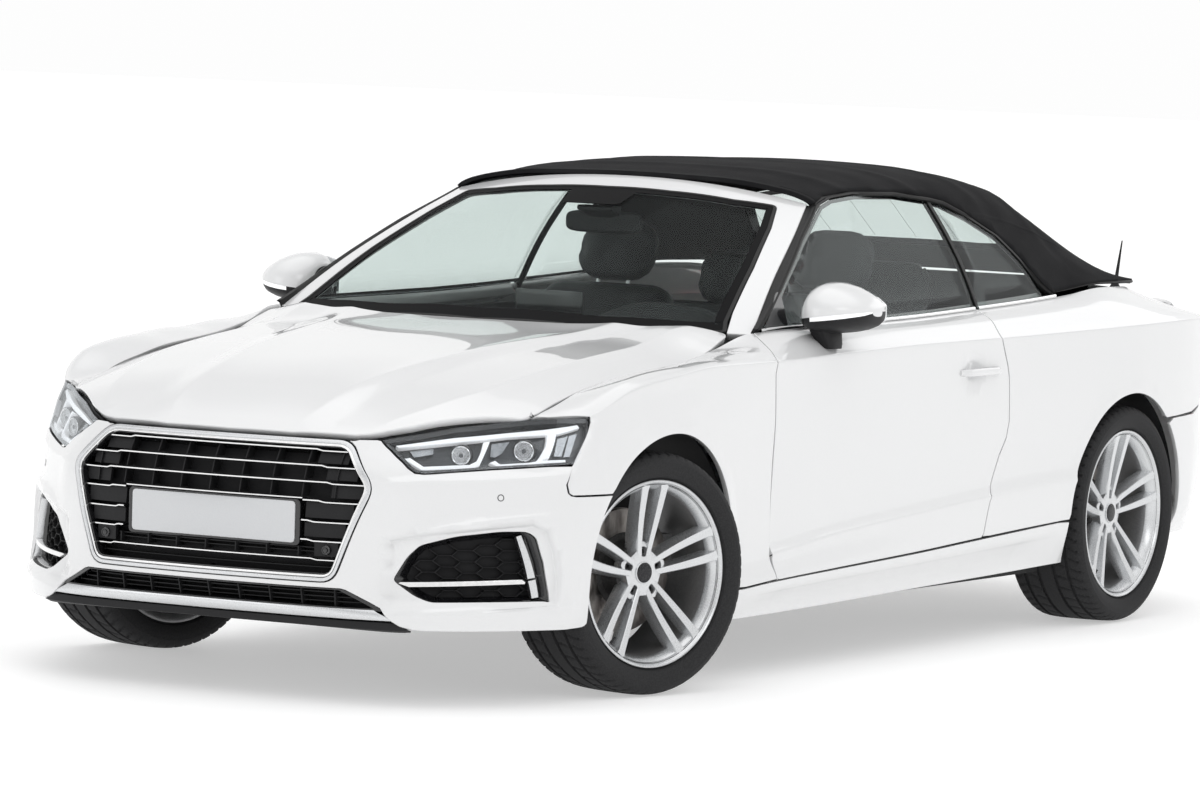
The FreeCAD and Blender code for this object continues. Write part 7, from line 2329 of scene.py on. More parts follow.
# ---------------------------------------------------------------- door mirrors
def mirror_mesh():
    S = [0.0, 0.05, 0.14, 0.28, 0.45, 0.62, 0.78, 0.9, 0.965, 1.0]
    zt = [1050, 1066, 1080, 1088, 1086, 1076, 1060, 1044, 1030, 1016]
    zb = [958, 951, 946, 944, 945, 949, 956, 966, 976, 996]
    yf = [-596, -622, -640, -654, -658, -650, -630, -602, -574, -540]
    yr = [-488, -460, -446, -438, -434, -432, -432, -436, -446, -478]
    V, F, FM = [], [], []
    rows = []
    for i, s in enumerate(S):
        x = 822 + 192.0 * s
        zs = 984 + 26 * s
        row = []
        yc = yr[i] - 0.36 * (yr[i] - yf[i])
        nt_, nb = 22, 18
        for k in range(nt_ + 1):
            th = math.pi * k / nt_
            c, sn = math.cos(th), math.sin(th)
            a = (yr[i] - yc) if c > 0 else (yc - yf[i])
            e = 0.62 if c > 0 else 0.9
            row.append((x, yc + a * math.copysign(abs(c) ** e, c), zs + (zt[i] - zs) * sn ** 0.86))
        for k in range(nb + 1):
            th = math.pi + math.pi * k / nb
            c, sn = math.cos(th), math.sin(th)
            a = ((yr[i] - yc) if c > 0 else (yc - yf[i])) - 2.5
            e = 0.62 if c > 0 else 0.9
            row.append((x, yc + a * math.copysign(abs(c) ** e, c), zs + (zs - zb[i]) * math.copysign(abs(sn) ** 0.8, sn)))
        rows.append(row)
    P = np.array(rows)
    v, f = grid_mesh(P, closed_v=True)
    m = P.shape[1]
    fm = []
    for i in range(len(S) - 1):
        for j in range(m):
            if j < 22:
                fm.append(0)
            elif j == 23 and 3 <= i <= 8:
                fm.append(2)
            else:
                fm.append(1)
    f.append(tuple(range(m)))
    f.append(tuple(range(len(v) - 1, len(v) - 1 - m, -1)))
    fm += [1, 0]
    parts = [(v, f, fm)]
    # glass in the rear face
    ex = []
    for s in np.linspace(0.07, 0.93, 24):
        x = 822 + 192 * s
        zt_ = float(np.interp(s, S, zt)) - 13
        zb_ = float(np.interp(s, S, zb)) + 13
        ex.append((x, zt_, zb_))
    loop = [(a, b) for a, b, c in ex] + [(a, c) for a, b, c in ex[::-1]]
    loop = round_corners(loop, 10, 12)
    y0 = -430.5
    n = len(loop)
    cx, cz = 918.0, 1012.0
    vv = [(a, y0, b) for a, b in loop] + [(a, y0 - 12, b) for a, b in loop] + [((a - cx) * 0.985 + cx, y0 + 1.0, (b - cz) * 0.985 + cz) for a, b in loop] + [(cx, y0 + 1.2, cz)]
    ff = [(i, n + i, n + (i + 1) % n, (i + 1) % n) for i in range(n)] + [(i, (i + 1) % n, 2 * n + (i + 1) % n, 2 * n + i) for i in range(n)] + [(2 * n + i, 2 * n + (i + 1) % n, 3 * n) for i in range(n)]
    ff.append(tuple(range(2 * n - 1, n - 1, -1)))
    parts.append((vv, ff, 3))
    # foot
    secs = [(990, 834, 900, -612, -486), (962, 836, 902, -606, -492), (940, 842, 908, -596, -500), (915, 856, 914, -586, -510), (902, 866, 913, -580, -514)]
    rows = []
    for z, x0, x1, ya, yb in secs:
        cx, cy = (x0 + x1) / 2, (ya + yb) / 2
        row = []
        for k in range(28):
            th = 2 * math.pi * k / 28
            c, sn = math.cos(th), math.sin(th)
            row.append((cx + (x1 - x0) / 2 * math.copysign(abs(c) ** 0.55, c), cy + (yb - ya) / 2 * math.copysign(abs(sn) ** 0.55, sn), z))
        rows.append(row)
    P = np.array(rows)
    v, f = grid_mesh(P, closed_v=True)
    f.append(tuple(range(28)))
    f.append(tuple(range(len(v) - 1, len(v) - 29, -1)))
    parts.append((v, f, 1))
    V, F, FM = [], [], []
    for v, f, mi in parts:
        n0 = len(V)
        V += [tuple(p) for p in v]
        F += [tuple(n0 + i for i in q) for q in f]
        FM += list(mi) if hasattr(mi, "__len__") else [mi] * len(f)
    return np.array(V), F, FM


MV, MF, MM_ = mirror_mesh()
for sg, sd in ((1, "left"), (-1, "right")):
    V1 = MV * np.array([sg, 1, 1])
    F1 = MF if sg > 0 else [q[::-1] for q in MF]
    o = mesh_obj("wing_mirror_" + sd, V1, F1, [M["paint"], M["black"], M["light_guide"], M["mirror"]], fmat=MM_, body="door_" + sd, rep="door_mirror_" + sd, slot="paint_white")
    sharp_by_angle(o, 42)


# ---------------------------------------------------------------- door handles
def handle_mesh(sg):
    V, F = [], []
    rows = []
    for i, s in enumerate(np.linspace(0, 1, 30)):
        y = 206 + 246 * s
        e = min(s, 1 - s)
        k = float(ss(np.array([e / 0.16]))[0])
        P = F_flank2([y], [r_of("side", [y], [803])[0] * RS])[0]
        xb = P[0]
        xo = min(xb + 6 + (927.4 - xb - 6) * k, 927.4)
        w = 15.5 + 2.5 * math.sin(math.pi * s)
        t = 6.2
        row = []
        for q in range(16):
            th = 2 * math.pi * q / 16
            c, sn = math.cos(th), math.sin(th)
            row.append((sg * (xo - t + t * math.copysign(abs(c) ** 0.8, c)), y, 803 + w * 0.5 * 1.25 * math.copysign(abs(sn) ** 0.7, sn) * (0.72 + 0.28 * min(1, e / 0.05))))
        rows.append(row)
    P = np.array(rows)
    v, f = grid_mesh(P, closed_v=True, flip=(sg < 0))
    f.append(tuple(range(16)) if sg > 0 else tuple(range(15, -1, -1)))
    f.append(tuple(range(len(v) - 1, len(v) - 17, -1)) if sg > 0 else tuple(range(len(v) - 16, len(v))))
    return v, f


for sg, sd in ((1, "left"), (-1, "right")):
    v, f = handle_mesh(sg)
    o = mesh_obj("pull_handle_" + sd, v, f, [M["paint"]], body="door_" + sd, rep="door_handle_" + sd, slot="paint_white")
    sharp_by_angle(o, 50)


# ---------------------------------------------------------------- rear end
def F_tl(off=0.0):
    """Tail surface, a = -t * TM so that the normal faces out, moved in by off."""
    def f(a, z):
        a = np.atleast_1d(np.asarray(a, float))
        z = np.atleast_1d(np.asarray(z, float))
        P = F_tail(-a / TM, z)
        if off:
            e = 1.0
            N = np.cross(F_tail(-(a + e) / TM, z) - F_tail(-(a - e) / TM, z), F_tail(-a / TM, z + e) - F_tail(-a / TM, z - e))
            N /= np.maximum(np.linalg.norm(N, axis=1, keepdims=True), 1e-9)
            P = P - N * off
        return P
    return f


_TZ = np.arange(236.0, 956.0, 4.0)
_TG = np.arange(0.0, 12.01, 0.04)
_TT = np.array([F_tail(_TG, np.full(len(_TG), z)) for z in _TZ])


def _tail_row(z, k):
    """Coordinate k along t at height z, from the table."""
    q = float(np.clip((z - _TZ[0]) / 4.0, 0, len(_TZ) - 1.001))
    n = int(q)
    return _TT[n, :, k] * (1 - (q - n)) + _TT[n + 1, :, k] * (q - n)


def tt_x(x, z):
    row = np.maximum.accumulate(_tail_row(z, 0)[:216])
    return -math.copysign(float(np.interp(abs(x), row, _TG[:216])), x) * TM


def tt_y(y, z):
    row = np.maximum.accumulate(-_tail_row(z, 1)[50:])
    return -float(np.interp(-y, row, _TG[50:])) * TM


def xz_tail(pts, closed=True, step=40):
    return [(tt_x(x, z), z) for x, z in sub(pts + ([pts[0]] if closed else []), step)[: None if not closed else -1]]


def yz_tail(pts, step=30):
    return [(tt_y(y, z), z) for y, z in sub(pts, step)]


def sym(half):
    """half runs on +x (a < 0)."""
    return half + [(-a, b) for a, b in half[::-1]]


# Bumper: lower edge, arch, seam under the lamp, upper edge.
arch_pts = []
for z in np.arange(243, 606, 22.0):
    arch_pts.append((RAY + math.sqrt(max((RR + 2.5) ** 2 - (z - AZ0) ** 2, 0)) + 1.5, z))
seam = [(arch_pts[-1][0], 609.0), (1772, 614.5), (1856, 636), (1875, 697)]
DIFF = [(610, 243), (652, 300), (560, 390)]
low = xz_tail([(612, 243), (655, 300), (563, 393.5), (0, 393.5)][::-1], closed=False, step=36)
side_low = [(tt_y(y, 243), 243) for y in np.arange(2140, arch_pts[0][0], -40.0)]
half = low + side_low + [(tt_y(y, z), z) for y, z in arch_pts] + yz_tail(seam, 30)[1:]
top_line = [(a, 697) for a in np.arange(half[-1][0] + 40, -20, 40.0)]
half = [(a, b) for a, b in half if a <= 0] + top_line
rb_poly = sym(half)
pocket = [(-274, 490), (274, 490), (274, 624), (-274, 624)]
pk = round_corners(xz_tail(pocket, True, 30), 12, 8)
rl = []
for yy in (1790, 1840, 1890, 1940):
    rl.append([(tt_y(yy, z), z) for z in np.arange(250, 600, 26.0)])
rl += [[(a, z) for a in np.arange(-1000, 1000, 40.0)] for z in (480, 560, 640)]
panel("rear_bumper_skin", F_tl(0.0), rb_poly, holes=[pk], mats=M["paint"], body="chassis", rep="rear_bumper", slot="paint_white", thick=13, rad=2.4, step=26, bstep=14, lines=rl)
V, F, FMX = [], [], []
flat_panel("rear_plate_pocket", [(-290, 478), (290, 478), (290, 636), (-290, 636)], 2303.0, M["paint"], 5, 1, rep="rear_bumper", slot="paint_white", sgn=1)
flat_panel("rear_plate", [(a, b) for a, b in plate_flat(-260, 260, 501, 611, 0, 12)], 2316.5, M["plate"], 8, 1.6, rep="number_plates", slot="plate_blank", sgn=1)
# Diffuser with notches round the tips
nt1 = []
for th in np.linspace(math.radians(216), math.radians(-36), 17):
    nt1.append((440 + 43 * math.cos(th), 268 + 43 * math.sin(th)))
dh = [(0, 243)] + nt1 + [(612, 243), (652, 300), (560, 389)] + [(0, 389)]
dh = [(x, z) for x, z in dh]
d_half = xz_tail(dh, closed=False, step=30)
d_poly = [(a, b) for a, b in d_half] + [(-a, b) for a, b in d_half[::-1] if abs(a) > 1]
panel("rear_diffuser", F_tl(6.0), d_poly, mats=M["black"], body="chassis", rep="rear_bumper", slot="black_trim", thick=8, rad=2.0, step=40, bstep=14)
for k, x in enumerate((-300, -150, 0, 150, 300)):
    zz = [(x - 5, 247), (x + 5, 247), (x + 5, 330), (x - 5, 330)]
    panel("diffuser_fin_%d" % (k + 1), F_tl(-1.0), xz_tail(zz, True, 30), mats=M["black"], body="chassis", rep="rear_bumper", slot="black_trim", thick=12, rad=1.6, step=60, bstep=14)
for sg, sd in ((1, "left"), (-1, "right")):
    R = [(520, 421), (716, 425), (722, 441), (524, 435)]
    pr = xz_tail([(sg * x, z) for x, z in R], True, 30)
    pr = pr if area2(pr) > 0 else pr[::-1]
    panel("rear_reflector_" + sd, F_tl(-1.5), round_corners(pr, 5, 4), mats=M["red_dark"], body="chassis", rep="rear_bumper", slot="lamp_red", thick=5, rad=1.4, step=60, bstep=14)
    # Tip sleeve
    prof = [(30.0, 2140), (30.0, 2236), (31.5, 2238.5), (35.5, 2239), (37.6, 2237), (37.8, 2140)]
    n = 40
    vv = [(sg * 440 + r * math.cos(2 * math.pi * k / n), y, 268 + r * math.sin(2 * math.pi * k / n)) for r, y in prof for k in range(n)]
    ff = []
    m = len(prof)
    for i in range(m):
        for k in range(n):
            a, b = i * n + k, i * n + (k + 1) % n
            c, d = ((i + 1) % m) * n + (k + 1) % n, ((i + 1) % m) * n + k
            ff.append((a, b, c, d))
    o = mesh_obj("tip_sleeve_" + sd, vv, ff, [M["chrome"]], body="chassis", slot="exhaust_steel")
    sharp_by_angle(o, 40)

# Tail lamps
for sg, sd in ((1, "left"), (-1, "right")):
    outer = [(1884, 709), (1872, 765), (1872, 800), (1902, 880), (1905, 893)]
    zs_ = [p[1] for p in outer]
    inn = [(470, 893), (470, 709)]
    lo = [(x, 709) for x in np.arange(500, 800, 30.0)]
    poly = [(tt_x(473, 709), 709)] + [(tt_x(x, 709), 709) for x in np.arange(505, 780, 32.0)] + yz_tail(outer, 20) + [(tt_x(x, 893), 893) for x in np.arange(770, 500, -32.0)] + [(tt_x(473, 893), 893)]
    # lens shape: slim upper band, lower rear corner cut
    def sgn(p):
        p = [(a * sg, b) for a, b in p]
        return p if area2(p) > 0 else p[::-1]
    lamp = sgn(poly)
    lamp = round_corners(lamp, 16, 10)
    panel("tail_lamp_back_" + sd, F_tl(16.0), shrink(lamp, 1.0), mats=M["black"], body="chassis", rep="tail_lights", slot="lamp_red", thick=8, rad=1.0, step=60, bstep=20)
    zlo, zhi = 752.0, 872.0
    for k, (z0, z1, x0) in enumerate(((866, 880, 490), (738, 750, 490))):
        g = [(x, z0) for x in np.arange(x0, 800, 26.0)]
        bar_ = [(tt_x(x, z0), z0) for x in np.arange(x0, 806, 26.0)] + [(tt_x(x, z1), z1) for x in np.arange(804, x0 - 1, -26.0)]
        bar_ = sgn(bar_)
        panel("tail_guide_%d_" % k + sd, F_tl(3.4), bar_, mats=M["red"], body="chassis", rep="tail_lights", slot="lamp_red", thick=10, rad=2.2, step=60, bstep=14)
    for k in range(9):
        x0 = 500 + 33 * k
        cell = [(x0, 762), (x0 + 24, 762), (x0 + 31, 856), (x0 + 7, 856)]
        panel("tail_cell_%d_" % k + sd, F_tl(6.0), sgn([(tt_x(x, z), z) for x, z in sub(cell + [cell[0]], 20)[:-1]]), mats=M["red_dark"] if k % 3 else M["red"], body="chassis", rep="tail_lights", slot="lamp_red", thick=9, rad=2.4, step=60, bstep=14)
    panel("tail_lens_" + sd, F_tl(0.0), lamp, mats=M["lens_red"], body="chassis", rep="tail_lights", slot="lamp_red", thick=2.6, rad=1.0, step=40, bstep=12)

# Boot lid: top and rear face
LID = [(0, 1762), (400, 1760), (600, 1752), (655, 1775), (668, 1850), (662, 1960), (636, 2050), (560, 2140), (430, 2196), (200, 2222), (0, 2228)]
lid_h = sub(LID, 40)
lid_poly = [p for p in lid_h] + [(-x, y) for x, y in lid_h[::-1] if x > 1]
lid_poly = lid_poly if area2(lid_poly) > 0 else lid_poly[::-1]


def F_lid(x, y):
    x = np.atleast_1d(np.asarray(x, float))
    y = np.atleast_1d(np.asarray(y, float))
    P = F_deck(x, y)
    k = ss((y - 2120) / 90.0) * ss((470 - np.abs(x)) / 120.0)
    P[:, 2] += 3.0 * k
    return P


lines = [[(x, y) for x in np.arange(-600, 601, 40.0)] for y in (2120, 2150, 2180, 2205)]
panel("boot_lid_skin", F_lid, shrink(lid_poly, 1.0), mats=M["paint"], body="boot_lid", rep="boot_lid", slot="paint_white", thick=12, rad=2.4, step=40, bstep=14, lines=lines)
LF = [(-460, 703), (460, 703), (460, 880), (510, 946), (-510, 946), (-460, 880)]
lf = xz_tail(LF, True, 26)
lf = lf if area2(lf) > 0 else lf[::-1]
panel("boot_lid_face", F_tl(0.0), lf, mats=M["paint"], body="boot_lid", rep="boot_lid", slot="paint_white", thick=12, rad=2.4, step=30, bstep=14)
rows = []
for x in np.linspace(-505, 505, 60):
    yt = float(np.interp(abs(x), [p[0] for p in sub(LID, 20) if p[1] > 2000][::-1], [p[1] for p in sub(LID, 20) if p[1] > 2000][::-1]))
    T = F_lid([x], [yt - 1.0])[0]
    B = F_tl(0.0)([tt_x(x, 946.0)], [946.0])[0]
    yb = B[1]
    rows.append([(x, yt - 14, T[2] - 4), (x, yt - 3.0, T[2] - 1.0), (x, yt - 0.5, T[2] - 4.0), (x, 0.5 * (yt + yb) - 1.0, 0.5 * (T[2] + 946) - 2), (x, yb, 946.0), (x, yb - 5, 944.0), (x, yb - 16, 948.0)])
P = np.array(rows)
v, f = grid_mesh(P, closed_v=True, flip=False)
m = P.shape[1]
f.append(tuple(range(m)))
f.append(tuple(range(len(v) - 1, len(v) - 1 - m, -1)))
o = mesh_obj("boot_lid_lip", v, f, [M["paint"]], body="boot_lid", rep="boot_lid", slot="paint_white")
bmx = bmesh.new()
bmx.from_mesh(o.data)
bmesh.ops.recalc_face_normals(bmx, faces=bmx.faces)
bmx.to_mesh(o.data)
bmx.free()
sharp_by_angle(o, 40)
hb = xz_tail([(-210, 928), (210, 928), (210, 937), (-210, 937)], True, 30)
hb = hb if area2(hb) > 0 else hb[::-1]
panel("high_brake_light", F_tl(-1.2), hb, mats=M["red_dark"], body="boot_lid", rep="boot_lid", slot="lamp_red", thick=5, rad=1.2, step=60, bstep=20)

# Deck round the lid
dk = [(0, 1664), (300, 1661), (524, 1649), (686, 1599), (700, 1594), (706, 1700), (690, 1900), (660, 2000), (625, 2082), (604, 2112)]
ol = [(x + 4.0 * (1 if x > 300 else 0), y - (4.5 if y < 1780 else 0) + (2.5 if y > 2000 else 0)) for x, y in LID if y < 2110]
ol = [(0, 1757.5), (400, 1755.5), (603, 1747), (660, 1772), (672.5, 1850), (666.5, 1961), (640.5, 2053), (596, 2106)]
dk_half = sub(dk, 36) + sub(ol[::-1], 36)
dk_poly = dk_half + [(-x, y) for x, y in dk_half[::-1] if x > 1]
rdeck = [p for p in sub(dk, 36)] + [p for p in sub(ol[::-1], 36)]
ring_poly = rdeck + [(-x, y) for x, y in rdeck[::-1] if x > 1]
ring_poly = ring_poly if area2(ring_poly) > 0 else ring_poly[::-1]
panel("rear_deck_skin", F_deck, ring_poly, mats=M["paint"], body="chassis", rep="rear_deck", slot="paint_white", thick=12, rad=2.4, step=36, bstep=14)
# Corners over the lamps
for sg, sd in ((1, "left"), (-1, "right")):
    zt_ = 946.0
    c = [(tt_x(480, 900), 900)] + [(tt_x(x, 900), 900) for x in np.arange(510, 760, 30.0)] + yz_tail([(1906, 900), (1907, 923), (1909, 946)], 16) + [(tt_x(x, 946), 946) for x in np.arange(700, 520, -30.0)] + [(tt_x(515, 946), 946), (tt_x(497, 923), 923)]
    c = [(a * sg, b) for a, b in c]
    c = c if area2(c) > 0 else c[::-1]
    panel("tail_corner_" + sd, F_tl(0.0), c, mats=M["paint"], body="chassis", rep="tail_corners", slot="paint_white", thick=12, rad=2.2, step=30, bstep=14)
    # bridge from the corner up to the deck's outer edge
    rows = []
    for k in np.linspace(0, 1, 22):
        xd, yd = [float(np.interp(k, np.linspace(0, 1, 5), q)) for q in ([604, 625, 645, 660, 672], [2112, 2082, 2044, 2000, 1960])]
        T = F_deck([xd], [yd])[0]
        xb = np.interp(k, [0, 1], [560, 752])
        B = F_tl(0.0)([tt_x(xb, 947.0)], [947.0])[0]
        mid = 0.5 * (T + B) + np.array([6.0, 6.0, 6.0]) * 0.8
        n_ = np.array([0.45, 0.55, 0.7])
        n_ /= np.linalg.norm(n_)
        rows.append([T + n_ * 0.0, mid, B, B - n_ * 10, mid - n_ * 10, T - n_ * 10])
    P = np.array(rows)
    P[:, :, 0] *= sg
    v, f = grid_mesh(P, closed_v=True)
    f.append(tuple(range(6)))
    f.append(tuple(range(len(v) - 1, len(v) - 7, -1)))
    o = mesh_obj("deck_corner_" + sd, v, f, [M["paint"]], body="chassis", rep="rear_deck", slot="paint_white")
    bmx = bmesh.new()
    bmx.from_mesh(o.data)
    bmesh.ops.recalc_face_normals(bmx, faces=bmx.faces)
    bmx.to_mesh(o.data)
    bmx.free()
    sharp_by_angle(o, 40)


# ---------------------------------------------------------------- cabin
def cushion(name, secs, body="chassis", rep=None, mat=None, slot="seat_leather", n=48, pad=True, ang=48):
    """Closed shape from sections (x, polygon in y and z), each rounded and resampled to n points."""
    rows = []
    for x, poly, rad in secs:
        p = round_corners(poly, rad, 6)
        p = p if area2(p) > 0 else p[::-1]
        L = np.array(p + [p[0]])
        d = np.concatenate([[0], np.cumsum(np.hypot(*np.diff(L, axis=0).T))])
        c = np.array([np.mean([q[0] for q in poly]), np.mean([q[1] for q in poly])])
        k0 = int(np.argmin(np.arctan2(L[:-1, 1] - c[1], L[:-1, 0] - c[0]) % (2 * math.pi)))
        s = (d[k0] + np.linspace(0, d[-1], n, endpoint=False)) % d[-1]
        rows.append([(x, np.interp(t, d, L[:, 0]), np.interp(t, d, L[:, 1])) for t in s])
    P = np.array(rows)
    v, f = grid_mesh(P, closed_v=True)
    f.append(tuple(range(n)))
    f.append(tuple(range(len(v) - 1, len(v) - 1 - n, -1)))
    o = mesh_obj(name, v, f, [mat or M["leather"]], body=body, rep=rep, slot=slot)
    b_ = bmesh.new()
    b_.from_mesh(o.data)
    bmesh.ops.recalc_face_normals(b_, faces=b_.faces)
    b_.to_mesh(o.data)
    b_.free()
    sharp_by_angle(o, ang)
    return o


def soft_box(name, poly, cx, w, rad, side=34.0, dip=0.0, seams=(), rnd=0.7, **kw):
    """Cushion of width 2w about cx with round sides. dip pulls the top of the middle in."""
    c = np.array([np.mean([q[0] for q in poly]), np.mean([q[1] for q in poly])])
    h = min(np.ptp([q[0] for q in poly]), np.ptp([q[1] for q in poly]))
    secs = []
    xs = [-1.0]
    e = side / w
    st = [-1, -1 + e * 0.08, -1 + e * 0.3, -1 + e * 0.65, -1 + e] + list(np.linspace(-1 + e, 1 - e, 23)[1:-1]) + [1 - e, 1 - e * 0.65, 1 - e * 0.3, 1 - e * 0.08, 1]
    for s in st:
        q = max(0.0, (abs(s) - (1 - e)) / e)
        k = side * (1 - math.sqrt(max(0.0, 1 - min(q, 0.985) ** 2))) * rnd
        pts_ = []
        for p in poly:
            v = np.array(p) - c
            L = np.linalg.norm(v)
            pts_.append(tuple(c + v * max(0.1, (L - k) / L)))
        g = dip * float(ss(np.array([(0.62 - abs(s)) / 0.16]))[0])
        for sm in seams:
            g += 3.5 * math.exp(-((abs(s) - sm) / 0.022) ** 2)
        if g:
            pts_ = [(p[0] + (g if kw.get("_ax") == "y" and p[0] < c[0] else 0), p[1] - (g if kw.get("_ax") != "y" and p[1] > c[1] else 0)) for p in pts_]
        secs.append((cx + s * w, pts_, rad))
    kw2 = {k: v for k, v in kw.items() if k != "_ax"}
    return cushion(name, secs, **kw2)


for cx, sd in ((370, "left"), (-370, "right")):
    soft_box("seat_base_" + sd, [(-328, 345), (-318, 440), (-250, 474), (-60, 455), (120, 440), (186, 455), (188, 320), (-60, 302), (-290, 312)], cx, 219, 38, side=60, dip=26, seams=(0.64,), rep="front_seats")
    soft_box("seat_back_" + sd, [(100, 448), (150, 600), (205, 760), (262, 900), (300, 985), (340, 1004), (404, 975), (398, 900), (330, 640), (250, 440), (170, 428)], cx, 215, 30, side=66, dip=22, seams=(0.64,), _ax="y", rep="front_seats")
    soft_box("seat_head_" + sd, [(330, 1022), (352, 1100), (374, 1176), (420, 1192), (456, 1170), (446, 1090), (420, 1010), (370, 1002)], cx, 129, 30, side=84, rnd=0.95, rep="front_seats")
    V, F, FMX = [], [], []
    for dx in (-52, 52):
        add_to((*tube(np.array([(cx + dx, 352, 960), (cx + dx, 372, 1012), (cx + dx, 384, 1050)], float), 7, 10), 0))
    mesh_obj("head_posts_" + sd, V, F, [M["satin"]], body="chassis", rep="front_seats", slot="seat_leather")
    o = bevelled(simple_box("seat_rail_" + sd, cx - 190, cx + 190, -260, 150, 200, 304, M["black"], rep="front_seats"), 0.012, 2, 40)
soft_box("rear_bench", [(542, 350), (556, 440), (640, 468), (800, 440), (936, 420), (938, 336), (620, 334)], 0, 532, 30, side=70, dip=12, seams=(0.05, 0.62), rep="rear_seats")
soft_box("rear_back", [(842, 476), (870, 640), (900, 860), (912, 922), (948, 926), (956, 890), (954, 480), (900, 468)], 0, 556, 26, side=60, dip=10, seams=(0.05, 0.6), _ax="y", rep="rear_seats")
for cx, sd in ((275, "left"), (-275, "right")):
    soft_box("rear_head_" + sd, [(904, 932), (920, 1010), (934, 1074), (958, 1080), (980, 1066), (970, 990), (952, 906)], cx, 122, 18, side=62, rnd=0.85, rep="rear_seats")

# Dashboard with hood over the dials
DB = [(-838, 648), (-838, 788), (-798, 900), (-720, 916), (-620, 922), (-520, 900), (-474, 876), (-446, 800), (-474, 724), (-620, 644)]


def dash_sec(x):
    k = float(np.exp(-((x - 370) / 175.0) ** 4))
    k = float(np.exp(-abs((x - 370) / 215.0) ** 2.6))
    up_ = {-720: 38, -620: 88, -520: 92, -474: 44}
    return [(p[0], p[1] + up_.get(p[0], 0) * k * (p[1] > 850)) for p in DB]


secs = [(x, dash_sec(x), 20) for x in (-688, -684, -672) + tuple(np.linspace(-640, 640, 41)) + (672, 684, 688)]
cushion("dashboard_pad", secs, rep="dashboard", mat=M["dark_in"], slot="black_trim", pad=False, n=56)
for x0, x1 in ((-640, -440), (-150, 150), (560, 650)):
    bevelled(simple_box("air_outlet_%d" % (x0 + 700), x0, x1, -452, -442, 800, 840, M["black"], rep="dashboard"), 0.003, 2, 40)
bevelled(simple_box("centre_screen", -120, 100, -600, -588, 905, 1022, M["black_gloss"], rep="dashboard"), 0.004, 3, 40)
bevelled(simple_box("console_lid", -92, 92, 60, 325, 515, 522, M["leather"], rep="centre_console"), 0.003, 2, 40)
fl = [o_ for o_ in bpy.data.objects if o_.name == "console_lid"]

# Steering wheel
th0 = math.radians(-66)


def sw(p):
    x, y, z = p
    return (370 + x, -352 + y * math.cos(th0) - z * math.sin(th0), 812 + y * math.sin(th0) + z * math.cos(th0))


V, F, FMX = [], [], []
C = [sw((177 * math.cos(t), 177 * math.sin(t), 0)) for t in np.linspace(0, 2 * math.pi, 64, endpoint=False)]
add_to((*tube(np.array(C), 14.2, 16, closed=True, caps=False), 0))
o = mesh_obj("steering_rim", V, F, [M["leather"]], body="steering_wheel", rep="steering_wheel", slot="seat_leather")
V, F, FMX = [], [], []
prof = [(0.5, 11.5), (30, 11), (52, 7), (60, 0), (61, -12), (58, -30), (40, -36), (0.5, -36)]
n = 40
vv = [sw((r * math.cos(2 * math.pi * k / n), r * math.sin(2 * math.pi * k / n), z)) for r, z in prof for k in range(n)]
ff = []
for i in range(len(prof) - 1):
    for k in range(n):
        ff.append((i * n + k, i * n + (k + 1) % n, (i + 1) * n + (k + 1) % n, (i + 1) * n + k))
ff.append(tuple(range(n - 1, -1, -1)))
ff.append(tuple(range((len(prof) - 1) * n, len(prof) * n)))
o = mesh_obj("steering_hub", vv, ff, [M["black"]], body="steering_wheel", rep="steering_wheel", slot="black_trim")
sharp_by_angle(o, 40)
V, F, FMX = [], [], []
for t in (math.radians(2), math.radians(178), math.radians(-90), math.radians(90)):
    if t == math.radians(90):
        continue
    pr_ = []
    for r, w in ((50, 24), (90, 17), (130, 14), (168, 15)):
        dx, dy = math.cos(t), math.sin(t)
        pr_.append([sw((r * dx - w * dy * a, r * dy + w * dx * a, b)) for a, b in ((-1, -6), (1, -6), (1, 5), (-1, 5))])
    P = np.array(pr_)
    v, f = grid_mesh(P, closed_v=True)
    f.append((0, 1, 2, 3))
    f.append(tuple(range(len(v) - 1, len(v) - 5, -1)))
    add_to((v, f, 0))
o = mesh_obj("steering_spokes", V, F, [M["satin"]], body="steering_wheel", rep="steering_wheel", slot="black_trim")
b_ = bmesh.new()
b_.from_mesh(o.data)
bmesh.ops.recalc_face_normals(b_, faces=b_.faces)
b_.to_mesh(o.data)
b_.free()
sharp_by_angle(o, 40)

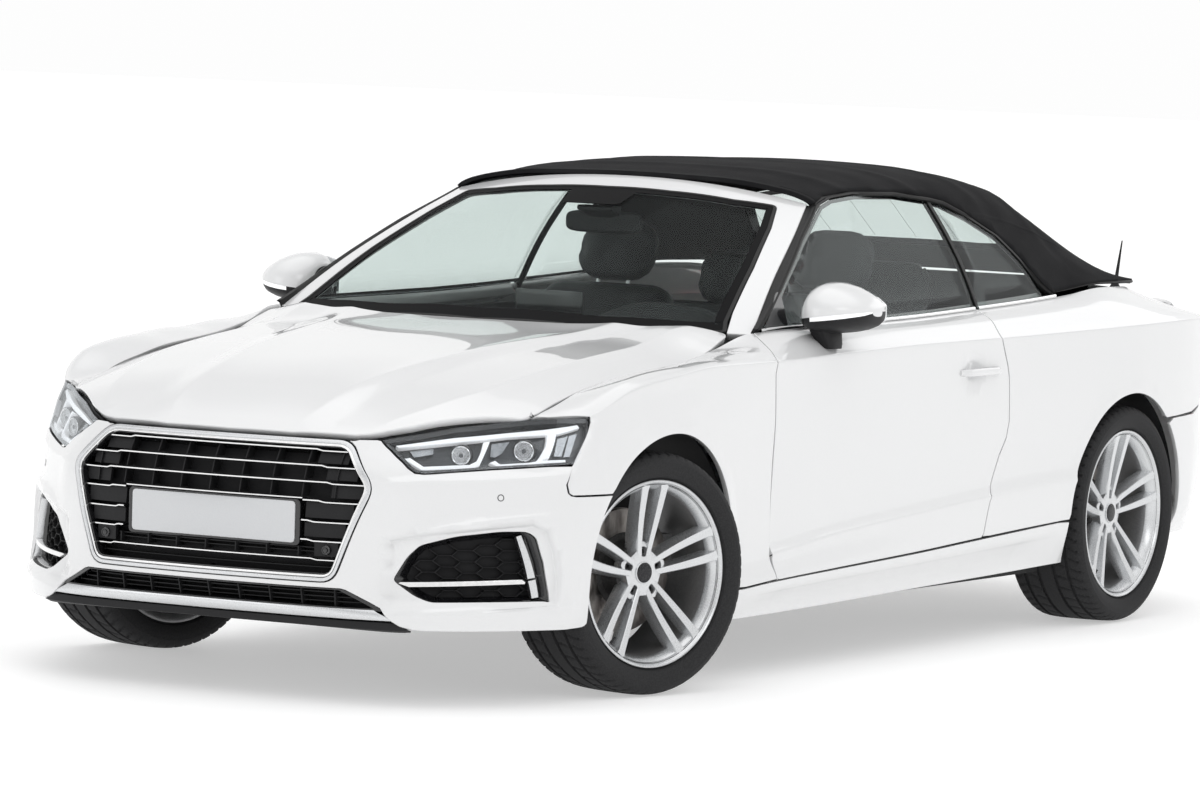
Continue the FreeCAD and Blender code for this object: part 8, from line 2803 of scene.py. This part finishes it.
# Interior mirror and the sensor cover above it
secs = []
for s in (-1, -0.985, -0.94, -0.86, -0.7, -0.35, 0, 0.35, 0.7, 0.86, 0.94, 0.985, 1):
    k = math.sqrt(max(0.0, 1 - abs(s) ** 6)) * 0.5 + 0.5
    zc, yc, hh, ww = 1212.0, -316.0, 32 * k, 13 * (0.4 + 0.6 * k)
    secs.append((124 * s, [(yc - ww, zc - hh), (yc + ww, zc - hh), (yc + ww, zc + hh), (yc - ww, zc + hh)], 8))
cushion("cabin_mirror", secs, rep="interior_mirror", mat=M["black"], slot="black_trim", pad=False, n=36)
secs = []
for s in (-1, -0.97, -0.85, -0.6, -0.3, 0, 0.3, 0.6, 0.85, 0.97, 1):
    k = math.sqrt(max(0.0, 1 - s * s)) * 0.6 + 0.4
    secs.append((58 * s, [(-374, 1250 - 3 * k), (-322, 1240 - 18 * k), (-318, 1261), (-372, 1261)], 4))
cushion("sensor_cover", secs, rep="interior_mirror", mat=M["black"], slot="black_trim", pad=False, n=32)

# Door cards
for sg, sd in ((1, "left"), (-1, "right")):
    def X(a, b):
        return (min(sg * a, sg * b), max(sg * a, sg * b))
    x0, x1 = X(744, 762)
    pc = [(-868, 922), (-868, 340), (386, 340), (408, 400), (430, 470), (462, 560), (484, 620), (474, 760), (452, 850), (426, 922)]
    n = len(pc)
    vv = [(x0, p, q) for p, q in pc] + [(x1, p, q) for p, q in pc]
    ff = [(i, (i + 1) % n, n + (i + 1) % n, n + i) for i in range(n)] + [tuple(range(n - 1, -1, -1)), tuple(range(n, 2 * n))]
    oc = mesh_obj("door_card_" + sd, vv, ff, [M["dark_in"]], body="door_" + sd, slot="black_trim")
    b_ = bmesh.new()
    b_.from_mesh(oc.data)
    bmesh.ops.recalc_face_normals(b_, faces=b_.faces)
    b_.to_mesh(oc.data)
    b_.free()
    bevelled(oc, 0.008, 3, 40)
    x0, x1 = X(732, 750)
    bevelled(simple_box("door_armrest_" + sd, x0, x1, -330, 380, 600, 668, M["leather"], body="door_" + sd, slot="black_trim"), 0.008, 3, 40)

simple_box("rear_trim", -606, 606, 1627, 1639, 888, 1023, M["dark_in"], rep="rear_shelf")


# ---------------------------------------------------------------- what is carried over
CARRY = {"floor_pan": "under", "front_rails": "under", "front_subframe": "under", "rear_subframe": "cast", "cowl_panel": "black", "engine_block": "cast",
         "rear_shelf": "dark_in", "centre_console": "black", "exhaust": "exhaust", "wheel_arch_liners": "black", "front_knuckle_left": "cast",
         "front_knuckle_right": "cast", "antenna": "black"}
hidden = set()
for nm, ob in frame["nodes"].items():
    o = bpy.data.objects.get(nm) if isinstance(ob, str) else ob
    if not hasattr(o, "data"):
        o = bpy.data.objects.get(nm)
    if o is None or o.type != "MESH":
        continue
    mt = M[CARRY.get(nm, "black")]
    if not o.data.materials:
        o.data.materials.append(mt)
    for i in range(len(o.material_slots)):
        o.material_slots[i].material = mt
